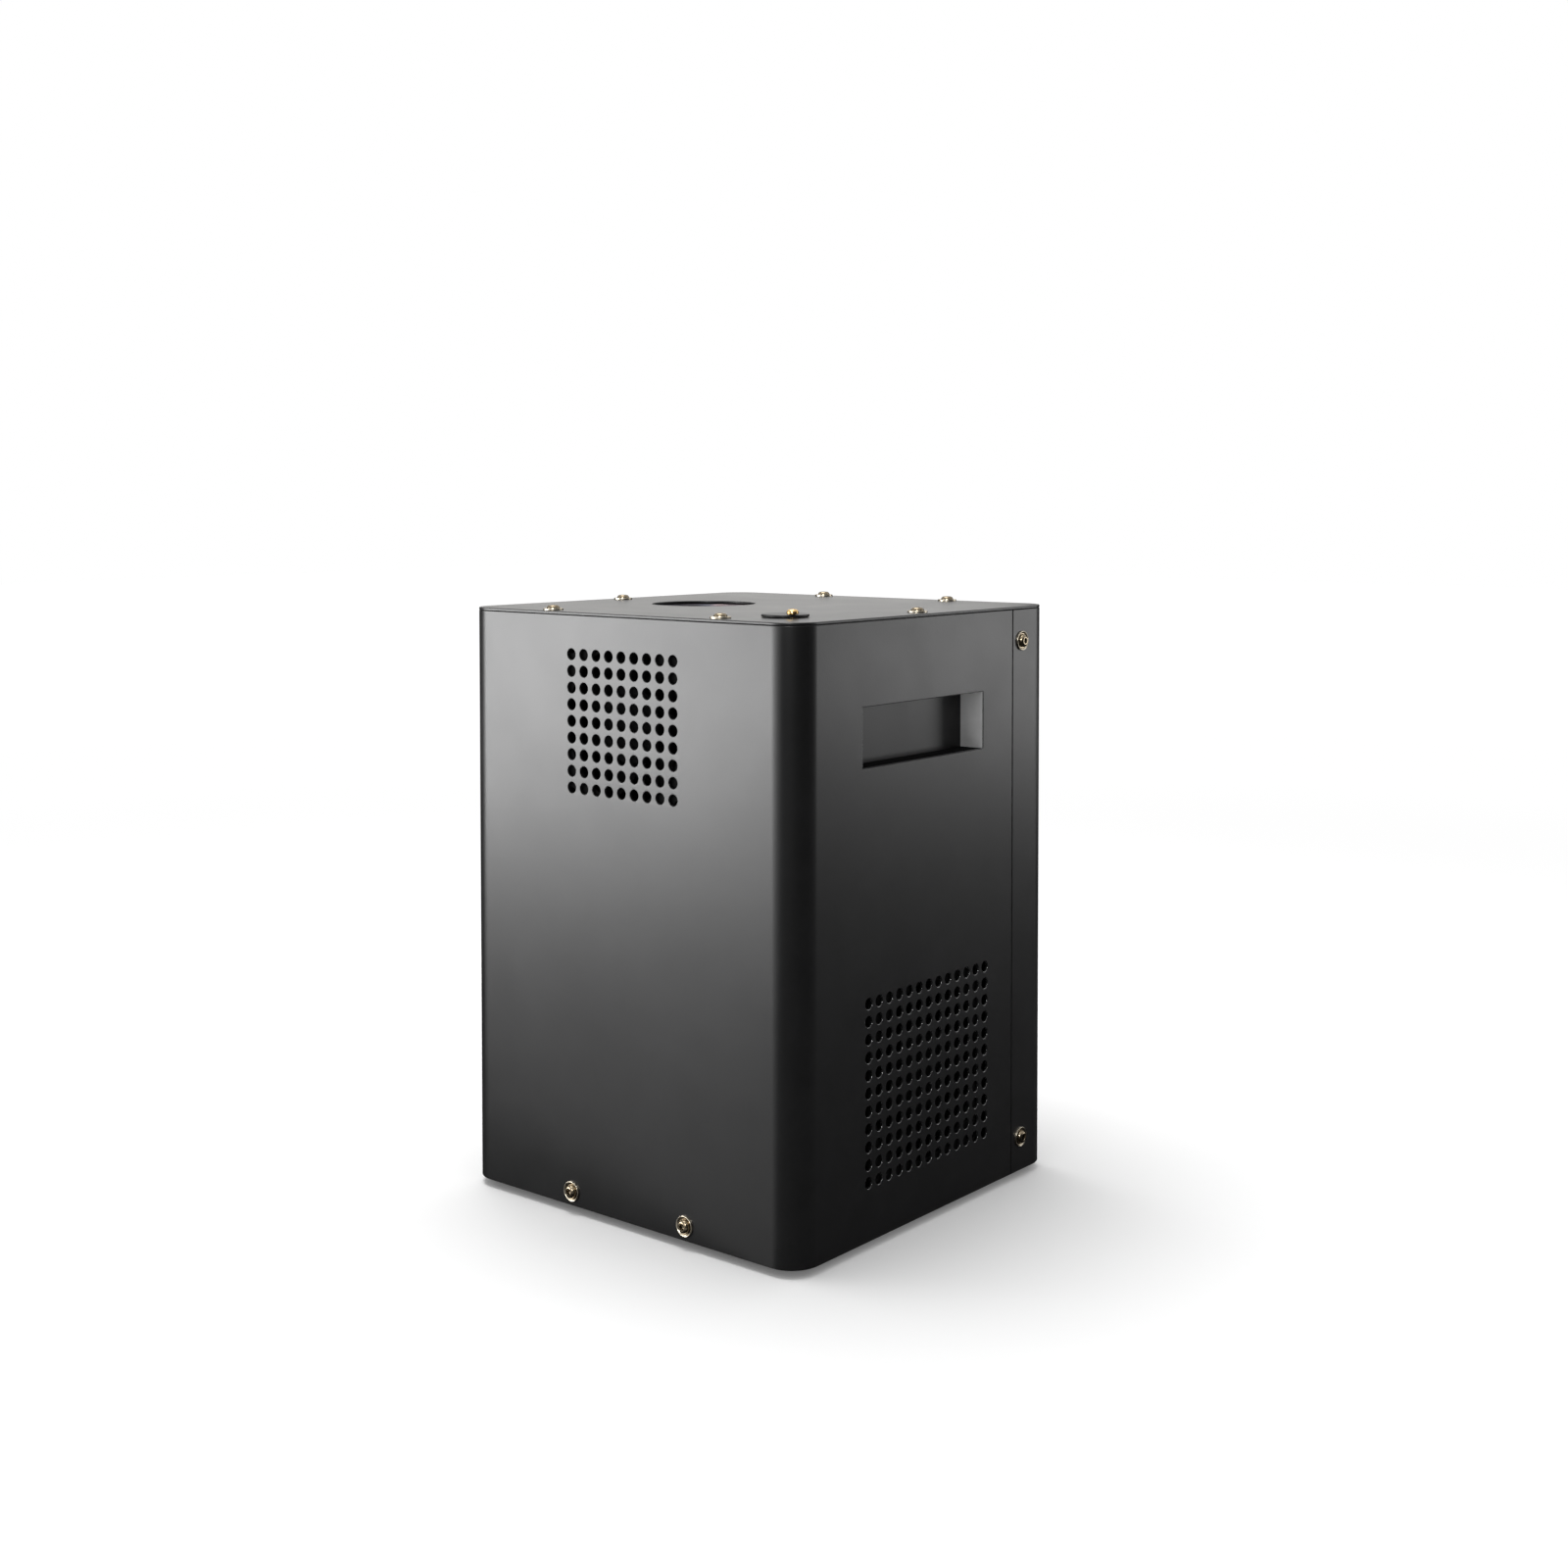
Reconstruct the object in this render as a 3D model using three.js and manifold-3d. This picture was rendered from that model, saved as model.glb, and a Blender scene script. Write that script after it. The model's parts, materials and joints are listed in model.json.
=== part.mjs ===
// A cold spark machine: a black sheet-metal box that heats metal granules and blows them up as sparks.
// Millimetres, +Z up. The origin is the centre of the machine's footprint, on the floor.
// +X is the right side seen from the front, and +Y is the rear.
import * as THREE from 'three';
import { mergeGeometries, mergeVertices } from 'three/addons/utils/BufferGeometryUtils.js';
import Module from 'manifold-3d';

const wasm = await Module();
wasm.setup();

// Driving dimensions

const FIT = {
  seat: 0.3, // gap between a piece and what carries it
  run: 0.3, // radial gap of a shaft or slider that moves
  sweep: 1.0, // gap round a turning rotor, wheel or auger
  overrun: 1.0, // how far a cutter reaches past the surface that it cuts
  weld: 0.8, // how far joined stretches of one piece reach into each other
};

const CASE = {
  width: 220,
  depth: 212,
  height: 300,
  sheet: 1.5,
  cornerRadius: 15,
  rearFlange: 36, // the rear cover's wrap round each side
  seamGap: 0.5,
  lipWidth: 15,
  lipEndInset: 18,
  joggleLap: 18, // the shell's strip behind the rear cover
  joggleWeb: 7,
};

const FOOT = {
  radius: 11,
  height: 4,
  rimDrop: 0.8,
  stemRadius: 3,
  barbRadius: 4.2,
  barbHeight: 3,
  inset: 27,
};

const TRAY = {
  flangeHeight: 25,
};

const FRONT_VENT = {
  columns: 9,
  rows: 9,
  columnPitch: 8.5,
  rowPitch: 8.25,
  holeRadius: 2.75,
  centreX: 0.5,
  fromTop: 53.8,
};

const SIDE_VENT = {
  columns: 13,
  rows: 11,
  columnPitch: 8.1,
  rowPitch: 8.55,
  holeRadius: 2.7,
  centreY: -3.5,
  centreZ: 75,
};

const HANDLE = {
  fromFront: 48.45, // from the case's front to the opening
  fromSeam: 27.05,
  height: 29,
  depth: 13.5,
  sheet: 1.2,
  flange: 7,
  fromTop: 56.2,
};

const SCREW = {
  flangeRadius: 5,
  flangeThickness: 0.8,
  domeRadius: 3.8,
  headHeight: 3.6,
  socketRadius: 1.5,
  socketDepth: 1.6,
  shankRadius: 2,
  shankLength: 7,
  holeRadius: 2.4,
};

const SCREW_PLACES = {
  topInset: 8, // from the front and rear edges of the top plate
  topSideInset: 9.5,
  frontShares: [-0.2473, 0.2614], // of the case's width, for the screws along the top's front edge
  rearShares: [-0.1682, 0.2227],
  sideShare: -0.0035, // of the case's depth, for the screw at each side of the top
  footShares: [-0.1573, 0.1886], // of the case's width, for the two at the front's foot
  footHeight: 7.2, // above the case's lower edge
  flangeFromRear: 27.5,
  flangeFromEnds: 17.9,
};

const OUTLET = {
  radius: 27.5,
  sideShare: -0.16682, // of the case's width, from its middle
  centreY: -5,
};

const FEED_COVER = {
  radius: 11.4,
  thickness: 1.2,
  offset: 9.2, // from the pivot to the cover's centre
  pivotFromRight: 27.3,
  pivotFromFront: 30.4,
  direction: 151.5, // degrees, from the pivot to the port
  portOffset: 12.2,
  portRadius: 6.5,
};

const PIVOT_SCREW = {
  headRadius: 2.85,
  headHeight: 2.4,
  edgeHeight: 0.9,
  socketRadius: 1.1,
  socketDepth: 1.1,
  shankRadius: 1.5,
  shankLength: 7,
};

const NOZZLE = {
  length: 63.9,
  boreRadius: 24.5,
  wall: 1.5,
  flangeRadius: 33,
  flangeThickness: 2,
  throatRadius: 15,
  throatHeight: 3.5,
  coneHeight: 24,
  footRadius: 23,
  footThickness: 2,
};

const CHAMBER = {
  innerRadius: 15,
  wall: 3,
  flangeRadius: 23,
  flangeThickness: 2,
  inletFromBase: 22,
  inletWall: 3,
  inletLength: 13,
};

const BAND = {
  wall: 5,
  fromBase: 40, // of the chamber
  fromTop: 12,
  split: 3, // the gap where the band clamps
};

const JACKET = {
  wall: 12,
  fromBase: 43, // of the chamber
  fromTop: 6,
};

const DUCT = {
  height: 22.4,
  flangeThickness: 2,
  wall: 3,
};

const BLOWER = {
  sideShare: -0.28182, // of the case's width, from its middle
  centreZ: 55,
  depth: 34,
  wall: 1.5,
  tongueRadius: 33,
  throatHalfWidth: 15,
  mouthHeight: 105,
  inletRadius: 19,
  wheelRadius: 28,
  wheelDepth: 24,
  plateThickness: 2,
  hubRadius: 6,
  blades: 12,
  bladeThickness: 1.4,
  bladeInnerRadius: 17,
  shaftRadius: 2.5,
  shaftReach: 10,
  legWidth: 9,
  legSpread: 22,
  legHeight: 20,
  steps: 16,
};

const BLOWER_MOTOR = {
  radius: 18,
  length: 30,
  rimRadius: 15,
  rimLength: 3,
};

const PARTITION = {
  x: 12,
  fromWalls: 28.5,
  fromTop: 10.7,
  flange: 15,
  cableHoleRadius: 8,
  cableHoleFromEnd: 14, // from the partition's rear edge
  cableHoleZ: 60,
};

const AUGER = {
  tubeRadius: 10,
  boreRadius: 8,
  coreRadius: 3.2,
  shaftRadius: 2.5,
  pitch: 12,
  stepsPerTurn: 4,
  sides: 8,
  startGap: 1.5,
  endGap: 3,
};

const GEAR = {
  module: 1.5,
  augerTeeth: 20,
  pinionTeeth: 12,
  width: 6,
  backlash: 0.35,
  rootFactor: 1.25,
  rootToothShare: 0.6,
  tipToothShare: 0.24,
  hubGap: 4,
};

const BRACKET = {
  sheet: 1.5,
  fromWall: 26.2, // from the case's right wall to the outer leg's outer face
  belowAxis: 17, // from the auger's axis to the bracket's underside
  legHeight: 33,
  frontY: -20,
  rearY: 37,
};

const FEED_MOTOR = {
  radius: 12.5,
  rearGap: 15.2, // room for the leads, from the motor to the bracket's inner leg
  collarLength: 18,
  collarStep: 1,
  shaftRadius: 2,
  shaftDepth: 6,
};

const HOPPER = {
  sheet: 1,
  mouthX: 36,
  mouthY: 30,
  mouthDepth: 48,
  neckX: 16,
  neckY: 14,
  neckHeight: 16,
  neckFromLeg: 12.3, // from the outer leg's outer face to the neck's middle
  flange: 2.5,
  slotHalfX: 6,
  slotHalfY: 5,
};

const FAN = {
  hubRadiusShare: 0.24, // of the frame's size
  boreRadiusShare: 0.475,
  strutWidth: 3,
  strutDepth: 3,
  bladeThickness: 1.6,
  bladePitch: 38, // degrees from the plane of rotation
  bladeDepthShare: 0.42, // of the frame's depth
  pinRadius: 2,
  pinLength: 8,
  blades: 7,
  struts: 4,
  screwRadius: 2.2,
  screwInset: 4.5,
};

const FRONT_FAN = {
  size: 80,
  depth: 25,
};

const SIDE_FAN = {
  size: 92,
  depth: 25,
};

const SUPPLY = {
  fromPartition: 4.5,
  fromFan: 3.2, // from the side fan's inner face
  length: 120,
  height: 32,
  centreY: 2,
  terminalHeight: 12,
  terminalDepth: 9,
  slotWidth: 2.4,
  slotDepth: 1,
  slotPitch: 7,
  slots: 12,
};

const BOARD = {
  length: 100,
  height: 80,
  thickness: 1.6,
  centreY: -12,
  centreZ: 82,
  standoff: 6,
  standoffRadius: 3,
  holeInset: 5,
  relaySize: 16,
  chipSize: 14,
  chipHeight: 2.4,
  capRadius: 5,
  capHeight: 14,
};

const BEZEL = {
  width: 104,
  height: 76,
  thickness: 2,
  cornerRadius: 4,
  fromTop: 55,
  windowWidth: 58,
  windowHeight: 22,
  windowRise: 14,
  buttonDrop: 20,
  buttonPitch: 20,
};

const DISPLAY = {
  boardWidth: 96,
  boardHeight: 66,
  boardThickness: 1.6,
  boardBack: 8.4, // from the panel's outer face to the board's front
  postRadius: 3,
  postInset: 5,
};

const BUTTON = {
  count: 4,
  radius: 4.5,
  proud: 2.2,
  collarRadius: 6,
  collarThickness: 1,
  tailRadius: 2,
  tailLength: 3,
  rim: 0.6,
};

const INLET = {
  width: 31,
  height: 46,
  flange: 2.5,
  cornerRadius: 3,
  bodyWidth: 27,
  bodyHeight: 40,
  bodyDepth: 24,
  x: -30, // seen from the rear
  z: 62,
  socketWidth: 24,
  socketHeight: 16,
  socketDepth: 16,
  socketRise: 9,
  pinWidth: 2,
  pinHeight: 4,
  pinLength: 11,
  pinSpread: 7,
  pinLift: 2,
  drawerDrop: 12,
  drawerWidth: 24,
  drawerHeight: 8,
  drawerDepth: 19,
  drawerLip: 0.8,
  drawerNotch: 6,
};

const ROCKER = {
  frameWidth: 15,
  frameHeight: 21,
  frameProud: 2,
  frameRadius: 1.5,
  bodyWidth: 12.8,
  bodyHeight: 18.8,
  bodyDepth: 15,
  pocketDepth: 9,
  wall: 1.2,
  x: 32,
  z: 62,
  tilt: 9, // degrees each way
  crown: 4.2, // height of the key's ends over its pivot
  dish: 1.4,
  keel: 3,
  pivotDepth: 2.2,
};

const SIGNAL = {
  flangeWidth: 26,
  flangeHeight: 31,
  flangeThickness: 2.2,
  cornerRadius: 3,
  bodyRadius: 11.7,
  bodyDepth: 21,
  x: 38,
  heightShare: 0.5, // of the case's height
  cavityRadius: 7.8,
  cavityDepth: 15,
  pinRadius: 1.2,
  pinLength: 10,
  pinCircle: 3.6,
  plugRadius: 7.6,
  holeRadius: 1.5,
  latchWidth: 7,
  latchHeight: 4,
  latchRise: 11.2,
  latchProud: 1.8,
  latchTail: 9,
};

const LOOM = {
  radius: 2,
  sides: 6,
  steps: 14,
};

const SIDES = {
  screw: 8,
  small: 10,
  medium: 16,
  large: 24,
  vent: 6,
  corner: 4,
};

// Levels and faces worked out from the sizes above

const bottomZ = FOOT.height;
const plateUnderZ = CASE.height - CASE.sheet;
const trayFloorZ = bottomZ + CASE.sheet;
const seamY = CASE.depth / 2 - CASE.rearFlange;
const halfWidth = CASE.width / 2;
const halfDepth = CASE.depth / 2;
const innerX = halfWidth - CASE.sheet;
const innerY = halfDepth - CASE.sheet;
const frontVentZ = CASE.height - FRONT_VENT.fromTop;
const handleZ = CASE.height - HANDLE.fromTop;
const handleFrontY = HANDLE.fromFront - halfDepth;
const handleRearY = seamY - HANDLE.fromSeam;
const handleLength = handleRearY - handleFrontY;
const handleY = (handleFrontY + handleRearY) / 2;
const bezelZ = CASE.height - BEZEL.fromTop;
const signalZ = CASE.height * SIGNAL.heightShare;
const outletX = CASE.width * OUTLET.sideShare;
const blowerX = CASE.width * BLOWER.sideShare;
const blowerMouthZ = BLOWER.mouthHeight;
const ductBaseZ = blowerMouthZ + FIT.seat;
const chamberBaseZ = ductBaseZ + DUCT.height + FIT.seat;
const chamberTopZ = plateUnderZ - NOZZLE.length - 2 * FIT.seat;
const chamberHeight = chamberTopZ - chamberBaseZ;
const bandHeight = chamberHeight - BAND.fromBase - BAND.fromTop;
const jacketHeight = chamberHeight - JACKET.fromBase - JACKET.fromTop;
const chamberOuterRadius = CHAMBER.innerRadius + CHAMBER.wall;
const augerAxisZ = chamberBaseZ + CHAMBER.inletFromBase;
const augerAxisY = OUTLET.centreY;
const pivotX = halfWidth - FEED_COVER.pivotFromRight;
const pivotY = FEED_COVER.pivotFromFront - halfDepth;
const coverAngle = THREE.MathUtils.degToRad(FEED_COVER.direction);
const portX = pivotX + FEED_COVER.portOffset * Math.cos(coverAngle);
const portY = pivotY + FEED_COVER.portOffset * Math.sin(coverAngle);
const gearDistance = GEAR.module * (GEAR.augerTeeth + GEAR.pinionTeeth) / 2 + GEAR.backlash;
const motorAxisY = augerAxisY + gearDistance;
const partitionRightX = PARTITION.x + CASE.sheet;
const partitionEndY = halfDepth - PARTITION.fromWalls - CASE.sheet;
const cableHoleY = partitionEndY - PARTITION.cableHoleFromEnd;
const bracketLeftX = partitionRightX + FIT.seat;
const bracketRightX = innerX - BRACKET.fromWall;
const bracketBaseZ = augerAxisZ - BRACKET.belowAxis;
const gearLeftX = bracketRightX + GEAR.hubGap;
const neckX = bracketRightX - HOPPER.neckFromLeg;
const feedMotorLength = bracketRightX - bracketLeftX - 2 * BRACKET.sheet - FIT.seat - FEED_MOTOR.rearGap;
const supplyLeftX = partitionRightX + SUPPLY.fromPartition;
const supplyRightX = innerX - FIT.seat - SIDE_FAN.depth - SUPPLY.fromFan;
const supplyX = (supplyLeftX + supplyRightX) / 2;

// Turns that take a piece modelled with its outward side along +Z onto a wall of the case

const FACES = {
  top: new THREE.Euler(0, 0, 0),
  front: new THREE.Euler(Math.PI / 2, 0, 0),
  right: new THREE.Euler(Math.PI / 2, Math.PI / 2, 0),
  left: new THREE.Euler(Math.PI / 2, -Math.PI / 2, 0),
  rear: new THREE.Euler(-Math.PI / 2, 0, Math.PI),
};

// Finishes

function finish(color, roughness, metalness) {
  return new THREE.MeshStandardMaterial({ color, roughness, metalness });
}

const MATERIALS = {
  powderBlack: () => finish(0x141414, 0.42, 0.2),
  zincSheet: () => finish(0xa9adb0, 0.4, 0.9),
  nickel: () => finish(0xc9c2b4, 0.18, 1),
  brass: () => finish(0xc79a4b, 0.2, 1),
  matteBlack: () => finish(0x1a1a1b, 0.6, 0),
  glossBlack: () => finish(0x0c0c0d, 0.2, 0),
  rubber: () => finish(0x101010, 0.9, 0),
  heatSteel: () => finish(0x8a6a4c, 0.35, 1),
  castAluminium: () => finish(0xb7babd, 0.45, 1),
  ceramicFelt: () => finish(0xe4e0d6, 0.95, 0),
  nylon: () => finish(0xe8e6df, 0.5, 0),
  boardGreen: () => finish(0x1f6b3c, 0.5, 0),
  displayGlass: () => finish(0x0b1a2a, 0.08, 0),
  buttonGrey: () => finish(0x8d9094, 0.55, 0),
};

// Shape helpers

// A closed solid from any geometry: shared points merged, and the faces turned outwards.
function solid(geometry) {
  const bare = new THREE.BufferGeometry();
  bare.setAttribute('position', geometry.getAttribute('position').clone());
  if (geometry.index) bare.setIndex(geometry.index.clone());
  const merged = mergeVertices(bare);
  const points = merged.getAttribute('position').array;
  const corners = [];
  const index = merged.index.array;
  for (let i = 0; i < index.length; i += 3) {
    const [a, b, c] = [index[i], index[i + 1], index[i + 2]];
    if (a !== b && b !== c && c !== a) corners.push(a, b, c);
  }
  const at = (i) => new THREE.Vector3(points[3 * i], points[3 * i + 1], points[3 * i + 2]);
  let volume = 0;
  for (let i = 0; i < corners.length; i += 3) {
    volume += at(corners[i]).dot(at(corners[i + 1]).cross(at(corners[i + 2])));
  }
  if (volume < 0) corners.reverse();
  const mesh = new wasm.Mesh({
    numProp: 3,
    vertProperties: new Float32Array(points),
    triVerts: new Uint32Array(corners),
  });
  return new wasm.Manifold(mesh);
}

function geometryOf(body) {
  const mesh = body.getMesh();
  const geometry = new THREE.BufferGeometry();
  geometry.setAttribute('position', new THREE.BufferAttribute(new Float32Array(mesh.vertProperties), 3));
  geometry.setIndex(new THREE.BufferAttribute(new Uint32Array(mesh.triVerts), 1));
  geometry.computeVertexNormals();
  return geometry;
}

const join = (...geometries) => geometries.map(solid).reduce((body, next) => body.add(next));

const cut = (body, ...geometries) => (
  geometries.map(solid).reduce((left, next) => left.subtract(next), body)
);

// Many separate cutters as one geometry, so that a pattern is cut in one step.
const pattern = (geometries) => mergeGeometries(geometries.map((g) => (g.index ? g.toNonIndexed() : g)));

function span(x0, x1, y0, y1, z0, z1) {
  const geometry = new THREE.BoxGeometry(x1 - x0, y1 - y0, z1 - z0);
  return geometry.translate((x0 + x1) / 2, (y0 + y1) / 2, (z0 + z1) / 2);
}

// An upright cylinder from z0 to z1.
function rod(radius, z0, z1, sides = SIDES.medium) {
  const geometry = new THREE.CylinderGeometry(radius, radius, z1 - z0, sides);
  return geometry.rotateX(Math.PI / 2).translate(0, 0, (z0 + z1) / 2);
}

// A profile of [radius, z] points turned about Z.
function turned(profile, sides = SIDES.medium) {
  const points = profile.map(([radius, z]) => new THREE.Vector2(radius, z));
  return new THREE.LatheGeometry(points, sides).rotateX(Math.PI / 2);
}

// A ring profile of [radius, z] points that closes on itself, turned about Z.
const turnedRing = (profile, sides) => turned([...profile, profile[0]], sides);

function roundedRect(width, height, radius) {
  const [x, y] = [width / 2 - radius, height / 2 - radius];
  const shape = new THREE.Shape();
  shape.absarc(x, y, radius, 0, Math.PI / 2, false);
  shape.absarc(-x, y, radius, Math.PI / 2, Math.PI, false);
  shape.absarc(-x, -y, radius, Math.PI, Math.PI * 3 / 2, false);
  shape.absarc(x, -y, radius, Math.PI * 3 / 2, Math.PI * 2, false);
  return shape;
}

function prism(shape, z0, z1, curveSegments = SIDES.corner) {
  const geometry = new THREE.ExtrudeGeometry(shape, { depth: z1 - z0, bevelEnabled: false, curveSegments });
  return geometry.translate(0, 0, z0);
}

const outline = (points) => new THREE.Shape(points.map(([x, y]) => new THREE.Vector2(x, y)));

// A geometry turned onto a wall of the case and moved to a place there.
function onFace(geometry, face, x, y, z) {
  const turn = new THREE.Matrix4().makeRotationFromEuler(FACES[face]);
  return geometry.applyMatrix4(turn).translate(x, y, z);
}

// A slanted box between two level rectangles, each [x0, x1, y0, y1].
function loft(low, z0, high, z1) {
  const ring = ([xa, xb, ya, yb], z) => [xa, ya, z, xb, ya, z, xb, yb, z, xa, yb, z];
  const geometry = new THREE.BufferGeometry();
  const points = new Float32Array([...ring(low, z0), ...ring(high, z1)]);
  geometry.setAttribute('position', new THREE.BufferAttribute(points, 3));
  const faces = [[0, 3, 2, 1], [4, 5, 6, 7], [0, 1, 5, 4], [1, 2, 6, 5], [2, 3, 7, 6], [3, 0, 4, 7]];
  geometry.setIndex(faces.flatMap(([a, b, c, d]) => [a, b, c, a, c, d]));
  return geometry;
}

const grow = ([x0, x1, y0, y1], by) => [x0 - by, x1 + by, y0 - by, y1 + by];

// The four corners of a rectangle round the origin.
const corners = (x, y) => [[-x, -y], [-x, y], [x, -y], [x, y]];

// The scene graph: one group for each sub-assembly, and one named mesh for each piece

const machine = new THREE.Group();

function group(parent = machine, x = 0, y = 0, z = 0, face = 'top') {
  const made = new THREE.Group();
  made.position.set(x, y, z);
  made.rotation.copy(FACES[face]);
  parent.add(made);
  return made;
}

function add(parent, name, body, material, x = 0, y = 0, z = 0, turn = FACES.top) {
  const mesh = new THREE.Mesh(geometryOf(body), material());
  mesh.name = name;
  mesh.position.set(x, y, z);
  mesh.rotation.copy(turn);
  parent.add(mesh);
  return mesh;
}

// Where each case screw sits: its place on the outer skin, and the wall that it goes through

function screwPlaces() {
  const places = [];
  const frontY = SCREW_PLACES.topInset - halfDepth;
  const sideX = halfWidth - SCREW_PLACES.topSideInset;
  const sideY = SCREW_PLACES.sideShare * CASE.depth;
  const [frontLeft, frontRight] = SCREW_PLACES.frontShares.map((share) => share * CASE.width);
  const [rearLeft, rearRight] = SCREW_PLACES.rearShares.map((share) => share * CASE.width);
  places.push(['top_screw_front_left', 'top', frontLeft, frontY, CASE.height]);
  places.push(['top_screw_front_right', 'top', frontRight, frontY, CASE.height]);
  places.push(['top_screw_left', 'top', -sideX, sideY, CASE.height]);
  places.push(['top_screw_right', 'top', sideX, sideY, CASE.height]);
  places.push(['top_screw_rear_left', 'top', rearLeft, -frontY, CASE.height]);
  places.push(['top_screw_rear_right', 'top', rearRight, -frontY, CASE.height]);
  const footZ = bottomZ + SCREW_PLACES.footHeight;
  const [footLeft, footRight] = SCREW_PLACES.footShares.map((share) => share * CASE.width);
  places.push(['front_screw_left', 'front', footLeft, -halfDepth, footZ]);
  places.push(['front_screw_right', 'front', footRight, -halfDepth, footZ]);
  const flangeY = halfDepth - SCREW_PLACES.flangeFromRear;
  const lowZ = bottomZ + SCREW_PLACES.flangeFromEnds;
  const highZ = CASE.height - SCREW_PLACES.flangeFromEnds;
  places.push(['side_screw_right_low', 'right', halfWidth, flangeY, lowZ]);
  places.push(['side_screw_right_high', 'right', halfWidth, flangeY, highZ]);
  places.push(['side_screw_left_low', 'left', -halfWidth, flangeY, lowZ]);
  places.push(['side_screw_left_high', 'left', -halfWidth, flangeY, highZ]);
  return places;
}

function screwHoles(sides = SIDES.screw) {
  const reach = SCREW.shankLength + FIT.overrun;
  return pattern(screwPlaces().map(([, face, x, y, z]) => (
    onFace(rod(SCREW.holeRadius, -reach, FIT.overrun, sides), face, x, y, z)
  )));
}

// Case

// A solid block with the case's rounded outline, drawn in by inset.
function caseBlock(inset, z0, z1) {
  const radius = CASE.cornerRadius - inset;
  return prism(roundedRect(CASE.width - 2 * inset, CASE.depth - 2 * inset, radius), z0, z1);
}

function ventHoles(vent, face, x, y, z) {
  const holes = [];
  const reach = CASE.sheet + FIT.overrun;
  for (let row = 0; row < vent.rows; row += 1) {
    for (let column = 0; column < vent.columns; column += 1) {
      const hole = rod(vent.holeRadius, -reach, FIT.overrun, SIDES.vent);
      const across = (column - (vent.columns - 1) / 2) * vent.columnPitch;
      const up = (row - (vent.rows - 1) / 2) * vent.rowPitch;
      holes.push(onFace(hole.translate(across, up, 0), face, x, y, z));
    }
  }
  return pattern(holes);
}

function handleOpening(side) {
  const [y0, y1] = [handleFrontY, handleRearY];
  const [z0, z1] = [handleZ - HANDLE.height / 2, handleZ + HANDLE.height / 2];
  const [xIn, xOut] = [innerX - FIT.overrun, halfWidth + FIT.overrun];
  return side > 0 ? span(xIn, xOut, y0, y1, z0, z1) : span(-xOut, -xIn, y0, y1, z0, z1);
}

// The walls of the case between two y values, as one bent sheet.
function wallStretch(y0, y1) {
  const ring = cut(solid(caseBlock(0, bottomZ, plateUnderZ)),
    caseBlock(CASE.sheet, bottomZ - FIT.overrun, plateUnderZ + FIT.overrun));
  return ring.intersect(solid(span(-CASE.width, CASE.width, y0, y1, 0, CASE.height)));
}

// A tab along an upper edge, which the top plate's screws go through.
function lip(x0, x1, y0, y1) {
  return span(x0, x1, y0, y1, plateUnderZ - CASE.sheet, plateUnderZ);
}

function frontShell() {
  const lipX = innerX - CASE.lipWidth;
  const lipY = innerY - CASE.lipWidth;
  const endX = halfWidth - CASE.lipEndInset;
  const endY = halfDepth - CASE.lipEndInset;
  const weldX = innerX + FIT.weld;
  const weldY = innerY + FIT.weld;
  const lipRearY = seamY - CASE.joggleWeb;
  const shellEndY = seamY - CASE.seamGap / 2;
  const pieces = [lip(-endX, endX, -weldY, -lipY)];
  for (const side of [-1, 1]) {
    const [outer, inner] = [side * weldX, side * lipX];
    pieces.push(lip(Math.min(outer, inner), Math.max(outer, inner), -endY, lipRearY));
    const stripOut = innerX - FIT.seat;
    const stripIn = stripOut - CASE.sheet;
    const stripLow = trayFloorZ + TRAY.flangeHeight + FIT.sweep;
    const stripHigh = plateUnderZ - CASE.sheet - FIT.seat;
    const webX = [side * stripIn, side * weldX].sort((a, b) => a - b);
    const stripX = [side * stripIn, side * stripOut].sort((a, b) => a - b);
    pieces.push(span(...webX, seamY - CASE.joggleWeb, shellEndY, stripLow, stripHigh));
    pieces.push(span(...stripX, seamY - CASE.joggleWeb, seamY + CASE.joggleLap, stripLow, stripHigh));
  }
  const wall = wallStretch(-CASE.depth, shellEndY);
  const shell = pieces.map(solid).reduce((body, next) => body.add(next), wall);
  return cut(shell, handleOpening(1), handleOpening(-1), screwHoles(),
    ventHoles(FRONT_VENT, 'front', FRONT_VENT.centreX, -halfDepth, frontVentZ),
    ventHoles(SIDE_VENT, 'right', halfWidth, SIDE_VENT.centreY, SIDE_VENT.centreZ));
}

// The places on the rear panel are given as seen from the rear, so x runs the other way there.
const onRear = (geometry, x, z) => onFace(geometry, 'rear', -x, halfDepth, z);

// A rectangular cutter through the panel.
function slotThrough(width, height) {
  return span(-width / 2, width / 2, -height / 2, height / 2, -CASE.sheet - FIT.overrun, FIT.overrun);
}

function rearOpenings() {
  const play = 2 * FIT.seat;
  const windowZ = bezelZ + BEZEL.windowRise;
  const openings = [
    onRear(slotThrough(BEZEL.windowWidth, BEZEL.windowHeight), 0, windowZ),
    onRear(slotThrough(INLET.bodyWidth + play, INLET.bodyHeight + play), INLET.x, INLET.z),
    onRear(slotThrough(ROCKER.bodyWidth + play, ROCKER.bodyHeight + play), ROCKER.x, ROCKER.z),
  ];
  for (const side of [-1, 1]) {
    const hole = rod(SIGNAL.bodyRadius + FIT.seat, -CASE.sheet - FIT.overrun, FIT.overrun);
    openings.push(onRear(hole, side * SIGNAL.x, signalZ));
  }
  const latchPlay = 2 * (FIT.run + FIT.seat);
  const latchSlot = slotThrough(SIGNAL.latchWidth + latchPlay, SIGNAL.latchHeight + latchPlay);
  openings.push(onRear(latchSlot, SIGNAL.x, signalZ + SIGNAL.latchRise));
  for (const x of buttonPlaces()) {
    const hole = rod(BUTTON.radius + FIT.run, -CASE.sheet - FIT.overrun, FIT.overrun);
    openings.push(onRear(hole, x, bezelZ - BEZEL.buttonDrop));
  }
  return openings;
}

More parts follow.
